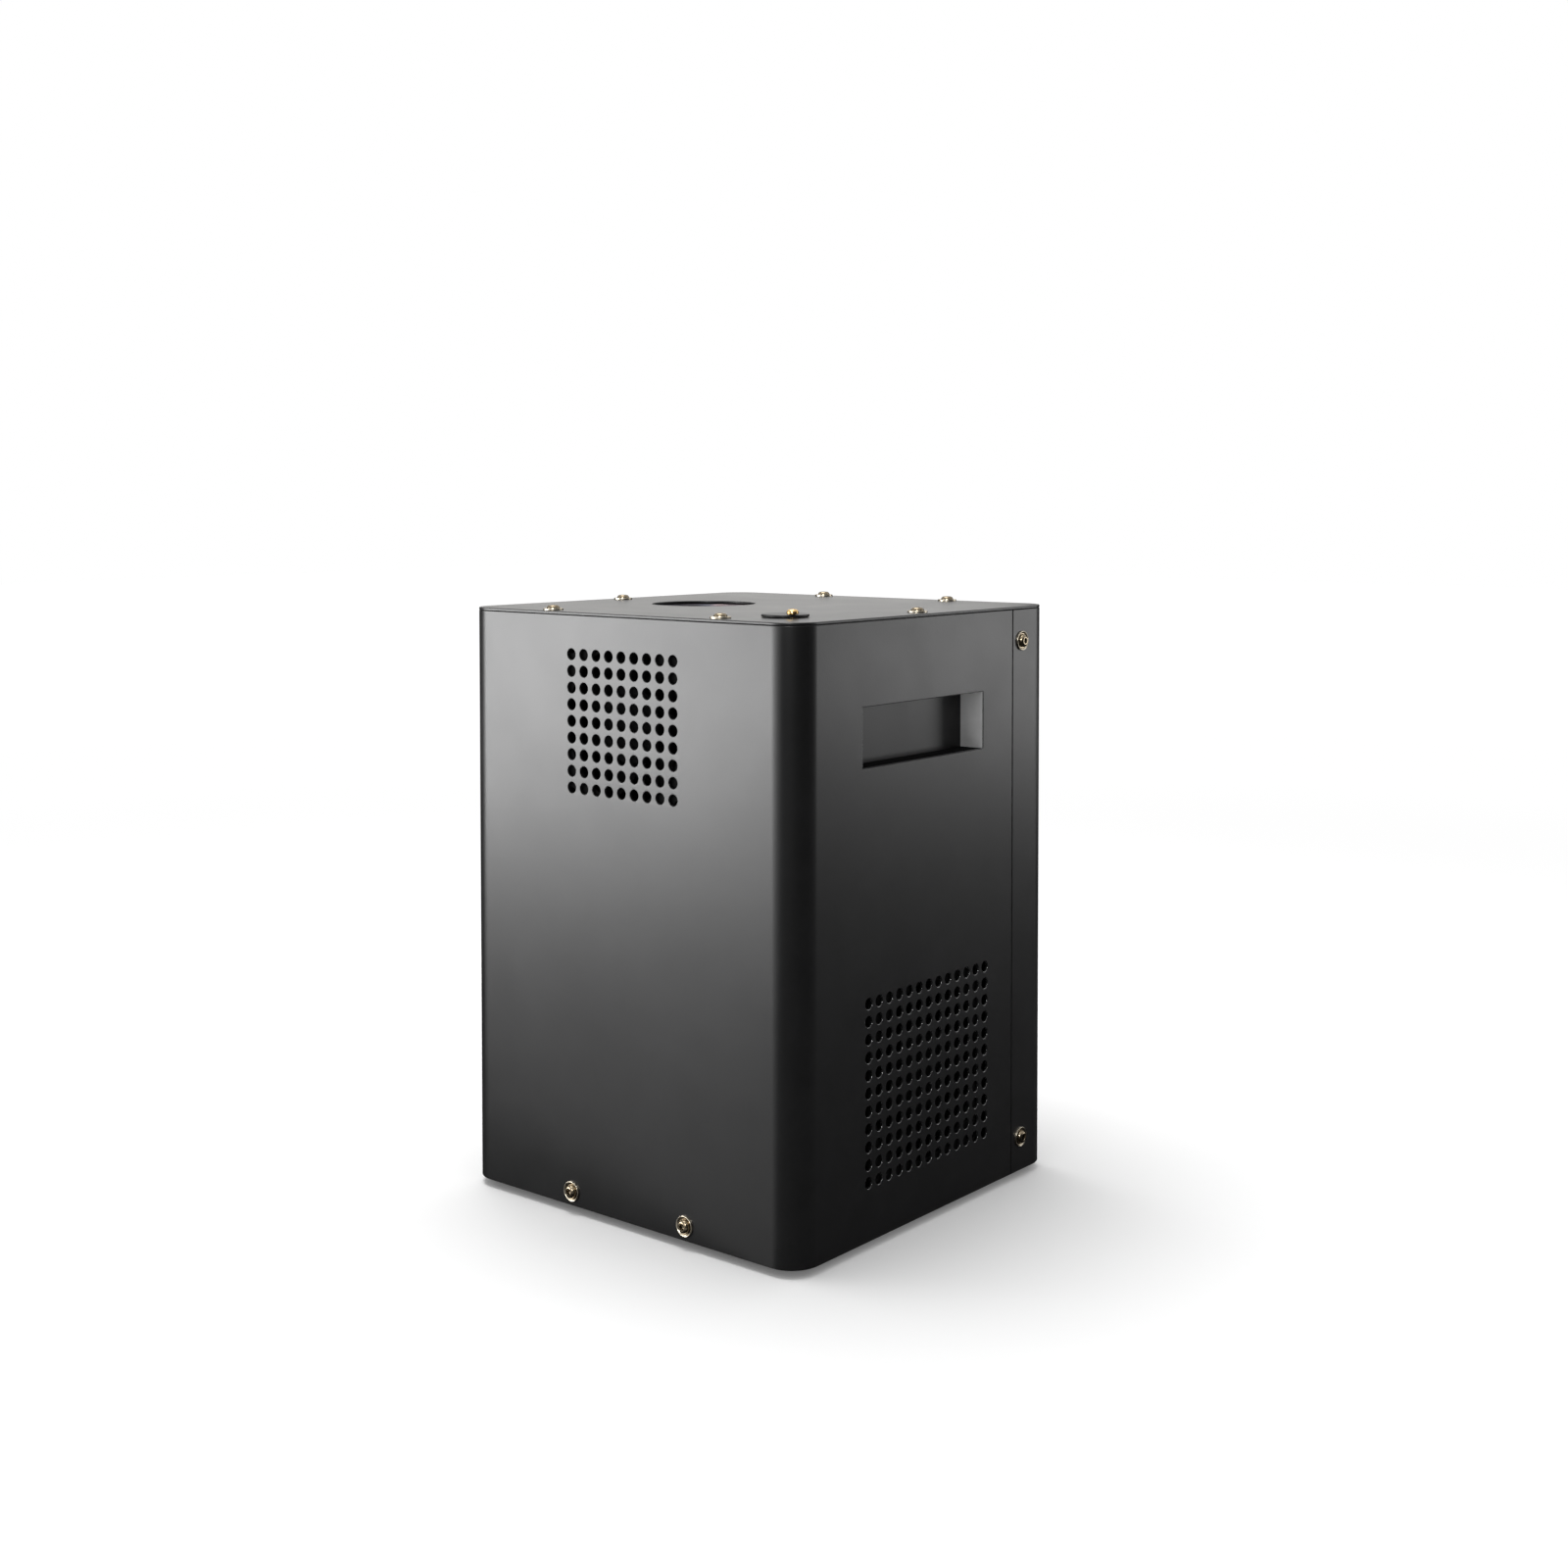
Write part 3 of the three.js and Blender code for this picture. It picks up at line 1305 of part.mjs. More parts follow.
// The board stands off the partition. Its own z points away from it.
function controlBoard() {
  const [x, y] = [BOARD.length / 2, BOARD.height / 2];
  const [holeX, holeY] = [x - BOARD.holeInset, y - BOARD.holeInset];
  const top = BOARD.standoff + BOARD.thickness;
  const pieces = [span(-x, x, -y, y, BOARD.standoff, top)];
  for (const [px, py] of corners(holeX, holeY)) {
    pieces.push(rod(BOARD.standoffRadius, 0, BOARD.standoff + FIT.weld, SIDES.small).translate(px, py, 0));
  }
  const relay = BOARD.relaySize / 2;
  const chip = BOARD.chipSize / 2;
  const relayBlock = span(-relay, relay, -relay, relay, top - FIT.weld, top + BOARD.relaySize);
  const capacitor = rod(BOARD.capRadius, top - FIT.weld, top + BOARD.capHeight, SIDES.small);
  for (const side of [-1, 0, 1]) {
    pieces.push(relayBlock.clone().translate(side * x / 2, -y / 2, 0));
    pieces.push(capacitor.clone().translate(side * x / 2, y / 2, 0));
  }
  pieces.push(span(-chip, chip, -chip, chip, top - FIT.weld, top + BOARD.chipHeight));
  return join(...pieces);
}

// A wire of the loom along a smooth curve through its points.
function wire(points) {
  const path = new THREE.CatmullRomCurve3(points.map(([x, y, z]) => new THREE.Vector3(x, y, z)));
  const section = new THREE.Shape();
  section.absarc(0, 0, LOOM.radius, 0, Math.PI * 2, false);
  return new THREE.ExtrudeGeometry(section, {
    steps: LOOM.steps,
    curveSegments: LOOM.sides / 2,
    extrudePath: path,
  });
}

// The loom runs from the mains inlet to the power supply, with a branch to the heater band.
function wiringLoom() {
  const inletBackY = halfDepth - INLET.bodyDepth - FIT.seat;
  const supplyEndY = SUPPLY.centreY + SUPPLY.length / 2 + FIT.seat;
  const supplyZ = trayFloorZ + SUPPLY.terminalHeight / 2;
  const bandBaseZ = chamberBaseZ + BAND.fromBase - FIT.seat;
  const bandY = OUTLET.centreY + chamberOuterRadius + FIT.seat + BAND.wall / 2;
  const bendY = (inletBackY + supplyEndY) / 2;
  const inletX = -INLET.x;
  const trunk = wire([
    [inletX, inletBackY, INLET.z],
    [inletX, inletBackY - LOOM.radius * 2, INLET.z],
    [inletX + LOOM.radius * 2, bendY, (INLET.z + supplyZ) / 2],
    [supplyX, supplyEndY + LOOM.radius * 3, supplyZ],
    [supplyX, supplyEndY, supplyZ],
  ]);
  const branch = wire([
    [inletX, inletBackY - LOOM.radius * 2, INLET.z],
    [(inletX + PARTITION.x) / 2, (inletBackY + cableHoleY) / 2 - LOOM.radius, PARTITION.cableHoleZ],
    [PARTITION.x, cableHoleY, PARTITION.cableHoleZ],
    [PARTITION.x - JACKET.wall, cableHoleY - JACKET.wall, (PARTITION.cableHoleZ + augerAxisZ) / 2],
    [outletX / 2, (cableHoleY + bandY) / 2, augerAxisZ - AUGER.tubeRadius],
    [outletX, bandY + LOOM.radius * 2, bandBaseZ - LOOM.radius * 4],
    [outletX, bandY, bandBaseZ - LOOM.radius],
    [outletX, bandY, bandBaseZ],
  ]);
  return join(trunk, branch);
}

function buildElectronics() {
  add(machine, 'partition', partition(), MATERIALS.zincSheet);
  add(machine, 'power_supply', powerSupply(), MATERIALS.castAluminium,
    supplyX, SUPPLY.centreY, trayFloorZ + FIT.seat);
  add(machine, 'control_board', controlBoard(), MATERIALS.boardGreen,
    partitionRightX + FIT.seat, BOARD.centreY, BOARD.centreZ, FACES.right);
  add(machine, 'wiring_loom', wiringLoom(), MATERIALS.rubber);
}

// Rear panel: controls, power and signal. All are modelled with the panel's outer face at z = 0.

function buttonPlaces() {
  return Array.from({ length: BUTTON.count }, (_, i) => (i - (BUTTON.count - 1) / 2) * BEZEL.buttonPitch);
}

function controlBezel() {
  const top = BEZEL.thickness;
  const plate = solid(prism(roundedRect(BEZEL.width, BEZEL.height, BEZEL.cornerRadius), 0, top));
  const [wx, wy] = [BEZEL.windowWidth / 2, BEZEL.windowHeight / 2];
  const window = span(-wx, wx, -wy, wy, -FIT.overrun, top + FIT.overrun);
  const holes = buttonPlaces().map((x) => (
    rod(BUTTON.radius + FIT.run, -FIT.overrun, top + FIT.overrun).translate(x, -BEZEL.buttonDrop, 0)
  ));
  return cut(plate, window.translate(0, BEZEL.windowRise, 0), pattern(holes));
}

function displayModule() {
  const [x, y] = [DISPLAY.boardWidth / 2, DISPLAY.boardHeight / 2];
  const front = -DISPLAY.boardBack;
  const pieces = [span(-x, x, -y, y, front - DISPLAY.boardThickness, front)];
  for (const [px, py] of corners(x - DISPLAY.postInset, y - DISPLAY.postInset)) {
    const post = rod(DISPLAY.postRadius, front - FIT.weld, -CASE.sheet - FIT.seat, SIDES.small);
    pieces.push(post.translate(px, py, 0));
  }
  const [wx, wy] = [BEZEL.windowWidth / 2 - FIT.seat, BEZEL.windowHeight / 2 - FIT.seat];
  const screen = span(-wx, wx, -wy, wy, front - FIT.weld, BEZEL.thickness / 2);
  return join(...pieces, screen.translate(0, BEZEL.windowRise, 0));
}

function menuButton() {
  const top = BEZEL.thickness + BUTTON.proud;
  const collar = -CASE.sheet - FIT.seat;
  return solid(turned([
    [0, collar - BUTTON.collarThickness - BUTTON.tailLength],
    [BUTTON.tailRadius, collar - BUTTON.collarThickness - BUTTON.tailLength],
    [BUTTON.tailRadius, collar - BUTTON.collarThickness],
    [BUTTON.collarRadius, collar - BUTTON.collarThickness],
    [BUTTON.collarRadius, collar],
    [BUTTON.radius, collar],
    [BUTTON.radius, top - BUTTON.rim],
    [BUTTON.radius - BUTTON.rim, top],
    [0, top],
  ], SIDES.small));
}

function mainsInlet() {
  const body = join(
    prism(roundedRect(INLET.width, INLET.height, INLET.cornerRadius), 0, INLET.flange),
    span(-INLET.bodyWidth / 2, INLET.bodyWidth / 2, -INLET.bodyHeight / 2, INLET.bodyHeight / 2,
      -INLET.bodyDepth, FIT.weld),
  );
  const [sx, sy] = [INLET.socketWidth / 2, INLET.socketHeight / 2];
  const floor = INLET.flange - INLET.socketDepth;
  const [dx, dy] = [INLET.drawerWidth / 2, INLET.drawerHeight / 2];
  const hollow = cut(body,
    span(-sx, sx, INLET.socketRise - sy, INLET.socketRise + sy, floor, INLET.flange + FIT.overrun),
    span(-dx, dx, -INLET.drawerDrop - dy, -INLET.drawerDrop + dy,
      INLET.flange - INLET.drawerDepth - FIT.sweep, INLET.flange + FIT.overrun));
  const pins = [[0, INLET.pinLift], [-INLET.pinSpread, -INLET.pinLift], [INLET.pinSpread, -INLET.pinLift]];
  const blades = pins.map(([x, y]) => {
    const middle = INLET.socketRise + y;
    return span(x - INLET.pinWidth / 2, x + INLET.pinWidth / 2, middle - INLET.pinHeight / 2,
      middle + INLET.pinHeight / 2, floor - FIT.weld, floor + INLET.pinLength);
  });
  return hollow.add(join(blades[0])).add(join(blades[1])).add(join(blades[2]));
}

function fuseDrawer() {
  const [x, y] = [INLET.drawerWidth / 2 - FIT.run, INLET.drawerHeight / 2 - FIT.run];
  const front = INLET.flange + INLET.drawerLip;
  const block = solid(span(-x, x, -y, y, INLET.flange - INLET.drawerDepth, front));
  const notch = INLET.drawerNotch / 2;
  return cut(block, span(-notch, notch, y / 2, y + FIT.overrun, INLET.drawerLip, front + FIT.overrun));
}

function rockerFrame() {
  const body = join(
    prism(roundedRect(ROCKER.frameWidth, ROCKER.frameHeight, ROCKER.frameRadius), 0, ROCKER.frameProud),
    span(-ROCKER.bodyWidth / 2, ROCKER.bodyWidth / 2, -ROCKER.bodyHeight / 2, ROCKER.bodyHeight / 2,
      -ROCKER.bodyDepth, FIT.weld),
  );
  const [x, y] = [ROCKER.bodyWidth / 2 - ROCKER.wall, ROCKER.bodyHeight / 2 - ROCKER.wall];
  const floor = -ROCKER.pocketDepth;
  // A saddle on the pocket's floor carries the key's keel.
  const saddle = span(-x - FIT.weld, x + FIT.weld, -ROCKER.keel, ROCKER.keel, floor - FIT.weld,
    -ROCKER.pivotDepth - ROCKER.keel - FIT.run);
  return cut(body, span(-x, x, -y, y, floor, ROCKER.frameProud + FIT.overrun)).add(solid(saddle));
}

// The rocker key: two slopes that meet in a shallow dish, over a round keel on the pivot at z = 0.
function powerRocker() {
  const x = ROCKER.bodyWidth / 2 - ROCKER.wall - FIT.run;
  const y = ROCKER.bodyHeight / 2 - ROCKER.wall - FIT.sweep;
  const shape = new THREE.Shape();
  shape.moveTo(-y, 0);
  shape.lineTo(-ROCKER.keel, -ROCKER.keel / 2);
  shape.absarc(0, 0, ROCKER.keel, Math.PI * 7 / 6, Math.PI * 11 / 6, false);
  shape.lineTo(y, 0);
  shape.lineTo(y, ROCKER.crown);
  shape.lineTo(0, ROCKER.crown - ROCKER.dish);
  shape.lineTo(-y, ROCKER.crown);
  // The profile's x runs up the panel and its y outwards, so the key's width lies along the group's x.
  return solid(onFace(prism(shape, -x, x), 'right', 0, 0, 0));
}

function signalBody() {
  const face = roundedRect(SIGNAL.flangeWidth, SIGNAL.flangeHeight, SIGNAL.cornerRadius);
  return join(
    prism(face, 0, SIGNAL.flangeThickness),
    rod(SIGNAL.bodyRadius, -SIGNAL.bodyDepth, FIT.weld),
  );
}

const contactPlaces = () => [0, 1, 2].map((i) => {
  const angle = Math.PI / 2 + (i - 1) * Math.PI / 2 + Math.PI;
  return [SIGNAL.pinCircle * Math.cos(angle), SIGNAL.pinCircle * Math.sin(angle)];
});

function signalInSocket() {
  const floor = SIGNAL.flangeThickness - SIGNAL.cavityDepth;
  const hollow = cut(signalBody(), rod(SIGNAL.cavityRadius, floor, SIGNAL.flangeThickness + FIT.overrun));
  return contactPlaces().reduce((body, [x, y]) => {
    const pin = rod(SIGNAL.pinRadius, floor - FIT.weld, floor + SIGNAL.pinLength, SIDES.small);
    return body.add(solid(pin.translate(x, y, 0)));
  }, hollow);
}

function signalOutSocket() {
  const top = SIGNAL.flangeThickness;
  const floor = top - SIGNAL.cavityDepth;
  const holes = contactPlaces().map(([x, y]) => (
    rod(SIGNAL.holeRadius, floor, top + FIT.overrun, SIDES.small).translate(x, y, 0)
  ));
  const groove = cut(solid(rod(SIGNAL.bodyRadius - FIT.sweep, top - FIT.weld, top + FIT.overrun)),
    rod(SIGNAL.plugRadius, top - FIT.overrun, top + FIT.overrun * 2));
  const [x, y] = [SIGNAL.latchWidth / 2 + FIT.run, SIGNAL.latchHeight / 2 + FIT.run];
  const slot = span(-x, x, -y, y, top - SIGNAL.latchTail - FIT.sweep * 3, top + FIT.overrun);
  return cut(signalBody().subtract(groove), pattern(holes), slot.translate(0, SIGNAL.latchRise, 0));
}

function signalLatch() {
  const [x, y] = [SIGNAL.latchWidth / 2, SIGNAL.latchHeight / 2];
  const top = SIGNAL.flangeThickness;
  const block = span(-x, x, -y, y, top - SIGNAL.latchTail, top + SIGNAL.latchProud);
  return solid(block.translate(0, SIGNAL.latchRise, 0));
}

function buildRearPanel() {
  const panel = group(machine, 0, halfDepth, 0, 'rear');
  add(panel, 'control_bezel', controlBezel(), MATERIALS.matteBlack, 0, bezelZ);
  add(panel, 'display_module', displayModule(), MATERIALS.displayGlass, 0, bezelZ);
  buttonPlaces().forEach((x, i) => {
    add(panel, `menu_button_${i + 1}`, menuButton(), MATERIALS.buttonGrey, x, bezelZ - BEZEL.buttonDrop);
  });
  add(panel, 'mains_inlet', mainsInlet(), MATERIALS.matteBlack, INLET.x, INLET.z);
  add(panel, 'fuse_drawer', fuseDrawer(), MATERIALS.matteBlack, INLET.x, INLET.z - INLET.drawerDrop);
  add(panel, 'rocker_frame', rockerFrame(), MATERIALS.matteBlack, ROCKER.x, ROCKER.z);
  const tilt = new THREE.Euler(THREE.MathUtils.degToRad(ROCKER.tilt), 0, 0);
  const key = powerRocker();
  add(panel, 'power_rocker', key, MATERIALS.glossBlack, ROCKER.x, ROCKER.z, -ROCKER.pivotDepth, tilt);
  add(panel, 'signal_in_socket', signalInSocket(), MATERIALS.matteBlack, -SIGNAL.x, signalZ);
  add(panel, 'signal_out_socket', signalOutSocket(), MATERIALS.matteBlack, SIGNAL.x, signalZ);
  add(panel, 'signal_latch', signalLatch(), MATERIALS.nickel, SIGNAL.x, signalZ);
}

buildCase();
buildFeed();
buildHeater();
buildBlower();
buildFans();
buildElectronics();
buildRearPanel();

export default machine;
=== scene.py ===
"""A cold spark machine, dressed over its CAD frame and shown in a pale studio."""

import json
import logging
from collections.abc import Callable, Iterable
from dataclasses import dataclass, field
from enum import Enum
from functools import cache
from math import acos, atan2, cos, pi, radians, sin, sqrt

import bmesh
import bpy
from mathutils import Matrix, Vector
from mathutils.geometry import delaunay_2d_cdt


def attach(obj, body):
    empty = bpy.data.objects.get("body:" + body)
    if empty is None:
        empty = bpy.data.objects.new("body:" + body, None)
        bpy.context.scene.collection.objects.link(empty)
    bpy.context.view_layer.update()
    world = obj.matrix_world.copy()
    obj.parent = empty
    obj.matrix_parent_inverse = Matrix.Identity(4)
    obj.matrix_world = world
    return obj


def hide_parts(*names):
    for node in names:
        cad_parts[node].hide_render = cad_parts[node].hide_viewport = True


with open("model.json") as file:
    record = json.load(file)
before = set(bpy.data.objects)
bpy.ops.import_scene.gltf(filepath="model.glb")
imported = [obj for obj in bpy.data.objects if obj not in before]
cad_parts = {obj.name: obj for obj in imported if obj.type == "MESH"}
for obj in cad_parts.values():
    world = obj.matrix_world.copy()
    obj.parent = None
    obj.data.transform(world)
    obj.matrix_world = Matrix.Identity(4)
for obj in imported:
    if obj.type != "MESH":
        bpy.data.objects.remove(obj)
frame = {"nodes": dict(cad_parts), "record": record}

LOG = logging.getLogger("spark_machine")
MM = 0.001
SHARP_ANGLE = radians(38)
WELD_REACH = 0.000002
WHITE = (1.0, 1.0, 1.0)
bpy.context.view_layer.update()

Flat = tuple[float, float]
Spot = tuple[float, float, float]
Colour = tuple[float, float, float]
Placing = Callable[[float, float, float], Spot]
Socket = bpy.types.NodeSocket


# Shapes


class Face(Enum):
    """The side of the case that a piece sits on, as the turn from a piece modelled facing +Z."""

    TOP = Matrix.Identity(3)
    FRONT = Matrix(((1, 0, 0), (0, 0, -1), (0, 1, 0)))
    REAR = Matrix(((-1, 0, 0), (0, 0, 1), (0, 1, 0)))
    RIGHT = Matrix(((0, 0, 1), (1, 0, 0), (0, 1, 0)))
    LEFT = Matrix(((0, 0, -1), (-1, 0, 0), (0, 1, 0)))

    def at(self, spot: Spot) -> Placing:
        """Returns the placing of a piece whose origin is at spot, in millimetres."""
        origin = Vector(spot)
        return lambda x, y, z: tuple(origin + self.value @ Vector((x, y, z)))


def circle(radius: float, centre: Flat = (0.0, 0.0), sides: int = 24) -> list[Flat]:
    """Returns the points of a circle, anticlockwise."""
    turns = [2 * pi * step / sides for step in range(sides)]
    return [(centre[0] + radius * cos(a), centre[1] + radius * sin(a)) for a in turns]


def rounded(
    width: float,
    height: float,
    radius: float,
    centre: Flat = (0.0, 0.0),
    steps: int = 5,
) -> list[Flat]:
    """Returns the points of a rectangle with rounded corners, anticlockwise.

    Args:
        width: Size along the first axis.
        height: Size along the second axis.
        radius: Radius of the four corners.
        centre: Middle of the rectangle.
        steps: Straight stretches that each corner is made of.

    Returns:
        The outline's points.
    """
    x, y = width / 2 - radius, height / 2 - radius
    points = []
    for index, (cx, cy) in enumerate(((x, -y), (x, y), (-x, y), (-x, -y))):
        for step in range(steps + 1):
            turn = pi / 2 * (index - 1 + step / steps)
            points.append((centre[0] + cx + radius * cos(turn), centre[1] + cy + radius * sin(turn)))
    return points


def filleted(points: list[Flat], radius: float, steps: int = 3, closed: bool = False) -> list[Flat]:
    """Rounds the corners of a line.

    Args:
        points: Corners of the line.
        radius: Wanted radius, made smaller where a stretch is too short for it.
        steps: Straight stretches in each rounding.
        closed: Whether the last point joins the first.

    Returns:
        The line with its corners rounded.
    """
    made = []
    count = len(points)
    for index, point in enumerate(points):
        if not closed and index in (0, count - 1):
            made.append(point)
            continue
        here = Vector(point)
        back, ahead = Vector(points[index - 1]) - here, Vector(points[(index + 1) % count]) - here
        reach = min(radius, back.length * 0.45, ahead.length * 0.45)
        start, end = here + back.normalized() * reach, here + ahead.normalized() * reach
        for step in range(steps + 1):
            share = step / steps
            curve = start * (1 - share) ** 2 + here * 2 * share * (1 - share) + end * share**2
            made.append(tuple(curve))
    return made


def outwards(loop: list[Vector]) -> list[Vector]:
    """Works out which way is outwards at each point of an anticlockwise loop.

    Args:
        loop: Points of the loop.

    Returns:
        The mitred direction away from the inside at each point.
    """
    count = len(loop)
    edges = [(loop[(i + 1) % count] - loop[i]).normalized() for i in range(count)]
    normals = [Vector((edge.y, -edge.x)) for edge in edges]
    return [(normals[i - 1] + normals[i]) / (1 + normals[i - 1].dot(normals[i])) for i in range(count)]


def grown(loop: list[Flat], reach: float) -> list[Vector]:
    """Returns an anticlockwise loop with every side moved outwards by reach."""
    points = [Vector(point) for point in loop]
    return [point + way * reach for point, way in zip(points, outwards(points))]


def quarter_round(foot: Flat, lip: Flat, steps: int) -> list[Flat]:
    """Returns the domed part of a turned profile, a quarter of an ellipse.

    Args:
        foot: Radius and height of its outer end.
        lip: Radius and height of its inner, upper end.
        steps: Straight stretches that it is made of.

    Returns:
        Its (radius, height) points.
    """
    turns = [pi / 2 * step / steps for step in range(steps + 1)]
    width, height = foot[0] - lip[0], lip[1] - foot[1]
    return [(lip[0] + width * cos(turn), foot[1] + height * sin(turn)) for turn in turns]


def shifted(place: Placing, x: float, y: float) -> Placing:
    """Returns a placing whose origin is moved across its own frame."""
    return lambda a, b, c: place(a + x, b + y, c)


def turned(place: Placing, angle: float) -> Placing:
    """Returns a placing that is turned about its own z axis, by an angle in radians."""
    turn = Matrix.Rotation(angle, 3, "Z")
    return lambda x, y, z: place(*(turn @ Vector((x, y, z))))


class Shape:
    """Vertices and faces in millimetres that become one mesh of closed forms."""

    def __init__(self) -> None:
        """Starts with nothing in it."""
        self.points: list[Spot] = []
        self.faces: list[tuple[int, ...]] = []
        self.tints: list[tuple[int, int, "Finish"]] = []

    def tint(self, start: int, stop: int, finish: "Finish") -> None:
        """Gives a stretch of the faces, by number, a finish of their own."""
        self.tints.append((start, stop, finish))

    def ring(self, spots: Iterable[Spot]) -> list[int]:
        """Adds points.

        Args:
            spots: Their places.

        Returns:
            Their numbers.
        """
        start = len(self.points)
        self.points.extend(spots)
        return list(range(start, len(self.points)))

    def bridge(self, first: list[int], second: list[int], closed: bool = True) -> None:
        """Joins two rings or two rows of equal length with quads.

        Args:
            first: Numbers of the points of one of them.
            second: Numbers of the other's.
            closed: Whether they are rings.
        """
        for i in range(len(first) if closed else len(first) - 1):
            j = (i + 1) % len(first)
            self.faces.append((first[i], first[j], second[j], second[i]))

    def lathe(
        self,
        profile: list[Flat],
        place: Placing,
        sides: int = 48,
        hexed: Iterable[int] = (),
    ) -> "Shape":
        """Turns a profile of (radius, height) points round the z axis.

        Args:
            profile: Points from one pole to the other, or a closed ring where none lies on the axis.
            place: Takes the turned form to its place.
            sides: Number of sides.
            hexed: Numbers of the profile's points that are hexagons and not circles.

        Returns:
            The shape itself.
        """
        flat = set(hexed)
        rings = []
        for number, (radius, height) in enumerate(profile):
            if radius <= 0:
                rings.append(self.ring([place(0.0, 0.0, height)]))
                continue
            spots = []
            for step in range(sides):
                turn = 2 * pi * step / sides
                reach = radius
                if number in flat:
                    reach = radius * cos(pi / 6) / cos(turn % (pi / 3) - pi / 6)
                spots.append(place(reach * cos(turn), reach * sin(turn), height))
            rings.append(self.ring(spots))
        pairs = list(zip(rings, rings[1:]))
        if len(rings[0]) > 1:
            pairs.append((rings[-1], rings[0]))
        for first, second in pairs:
            if len(first) == 1 or len(second) == 1:
                pole, rim = (first, second) if len(first) == 1 else (second, first)
                self.faces += [(pole[0], rim[i], rim[(i + 1) % sides]) for i in range(sides)]
            else:
                self.bridge(first, second)
        return self

    def slab(
        self,
        outline: list[Flat],
        holes: list[list[Flat]],
        depth: float,
        place: Placing,
        edge: float = 0.3,
        creases: Iterable[tuple[Flat, Flat]] = (),
        lined: "dict[int, Finish] | None" = None,
    ) -> "Shape":
        """Adds a sheet with holes and rounded edges, flat or bent by its placing.

        Args:
            outline: The sheet's outline, anticlockwise.
            holes: Its holes, anticlockwise.
            depth: Thickness, away from the seen side.
            place: Takes (across, along, depth) to its place.
            edge: Radius of every edge.
            creases: Lines that the sheet bends along.
            lined: Finishes of its sides, 0 for the outline's and the holes' numbers from 1.

        Returns:
            The shape itself.
        """
        points: list[Vector] = []
        owner: list[int] = []
        areas: list[list[int]] = []
        links: list[tuple[int, int]] = []
        for number, loop in enumerate([grown(outline, -edge)] + [grown(hole, edge) for hole in holes]):
            areas.append(list(range(len(points), len(points) + len(loop))))
            points += loop
            owner += [number] * len(loop)
        for line in creases:
            links.append((len(points), len(points) + 1))
            points += [Vector(line[0]), Vector(line[1])]
            owner += [0, 0]
        found, _, faces, sources, _, inside = delaunay_2d_cdt(points, links, areas, 1, 1e-4, True)
        kept = [face for face, numbers in zip(faces, inside) if set(numbers) == {0}]
        front = self.ring(place(p.x, p.y, 0.0) for p in found)
        back = self.ring(place(p.x, p.y, depth) for p in found)
        for face in kept:
            self.faces.append(tuple(front[i] for i in face))
            self.faces.append(tuple(back[i] for i in reversed(face)))
        sides = {(f[i], f[(i + 1) % 3]) for f in kept for i in range(3)}
        ahead = {a: b for a, b in sides if (b, a) not in sides}
        while ahead:
            start, following = ahead.popitem()
            loop = [start]
            while following != start:
                loop.append(following)
                following = ahead.pop(following)
            before = len(self.faces)
            ends = [front[i] for i in loop], [back[i] for i in loop]
            self.wrap([found[i] for i in loop], ends, depth, place, edge)
            number = max((owner[source] for source in sources[start]), default=0)
            if lined and number in lined:
                self.tint(before, len(self.faces), lined[number])
        return self

    def wrap(
        self,
        loop: list[Vector],
        ends: tuple[list[int], list[int]],
        depth: float,
        place: Placing,
        edge: float,
    ) -> None:
        """Joins the two sides of a sheet round one loop, with rounded edges.

        Args:
            loop: Points of the loop, with the sheet on their left.
            ends: Numbers of those points on the seen side and on the far side.
            depth: Thickness of the sheet.
            place: Takes (across, along, depth) to its place.
            edge: Radius of the edges.
        """
        last, far = ends
        ways = outwards(loop)
        for reach, down in self.rim(depth, edge):
            spots = [point + way * reach for point, way in zip(loop, ways)]
            fresh = self.ring(place(spot.x, spot.y, down) for spot in spots)
            self.bridge(last, fresh)
            last = fresh
        self.bridge(last, far)

    def plate(
        self,
        outline: list[Flat],
        holes: list[list[Flat]],
        low: float,
        high: float,
        place: Placing,
        edge: float = 0.3,
        lined: "dict[int, Finish] | None" = None,
    ) -> "Shape":
        """Adds a flat plate between two heights of its own frame.

        Args:
            outline: The plate's outline, anticlockwise seen from above.
            holes: Holes through it.
            low: Height of its lower face.
            high: Height of its upper face.
            place: Takes the plate to its place.
            edge: Radius of every edge.
            lined: Finishes of its sides, 0 for the outline's and the holes' numbers from 1.

        Returns:
            The shape itself.
        """
        return self.slab(outline, holes, high - low, lambda x, y, d: place(x, y, high - d), edge, lined=lined)

    @staticmethod
    def rim(depth: float, edge: float, steps: int = 3) -> list[Flat]:
        """Returns the (reach, depth) points of a sheet's two rounded edges.

        Args:
            depth: Thickness of the sheet.
            edge: Radius of the edges.
            steps: Straight stretches in each edge.

        Returns:
            The points between those that the sheet's two sides already have.
        """
        upper = []
        for step in range(1, steps + 1):
            turn = pi / 2 * step / steps
            upper.append((edge * sin(turn), edge * (1 - cos(turn))))
        lower = [(reach, depth - down) for reach, down in reversed(upper)]
        return upper + lower

    def mesh(self, name: str) -> bpy.types.Mesh:
        """Makes the Blender mesh, in metres, with its faces turned outwards.

        Args:
            name: Its name.

        Returns:
            The mesh.
        """
        made = bpy.data.meshes.new(name)
        made.from_pydata([Vector(point) * MM for point in self.points], [], self.faces)
        work = bmesh.new()
        work.from_mesh(made)
        loose = [vert for vert in work.verts if not vert.link_faces]
        bmesh.ops.delete(work, geom=loose, context="VERTS")
        bmesh.ops.recalc_face_normals(work, faces=work.faces)
        work.to_mesh(made)
        work.free()
        return made


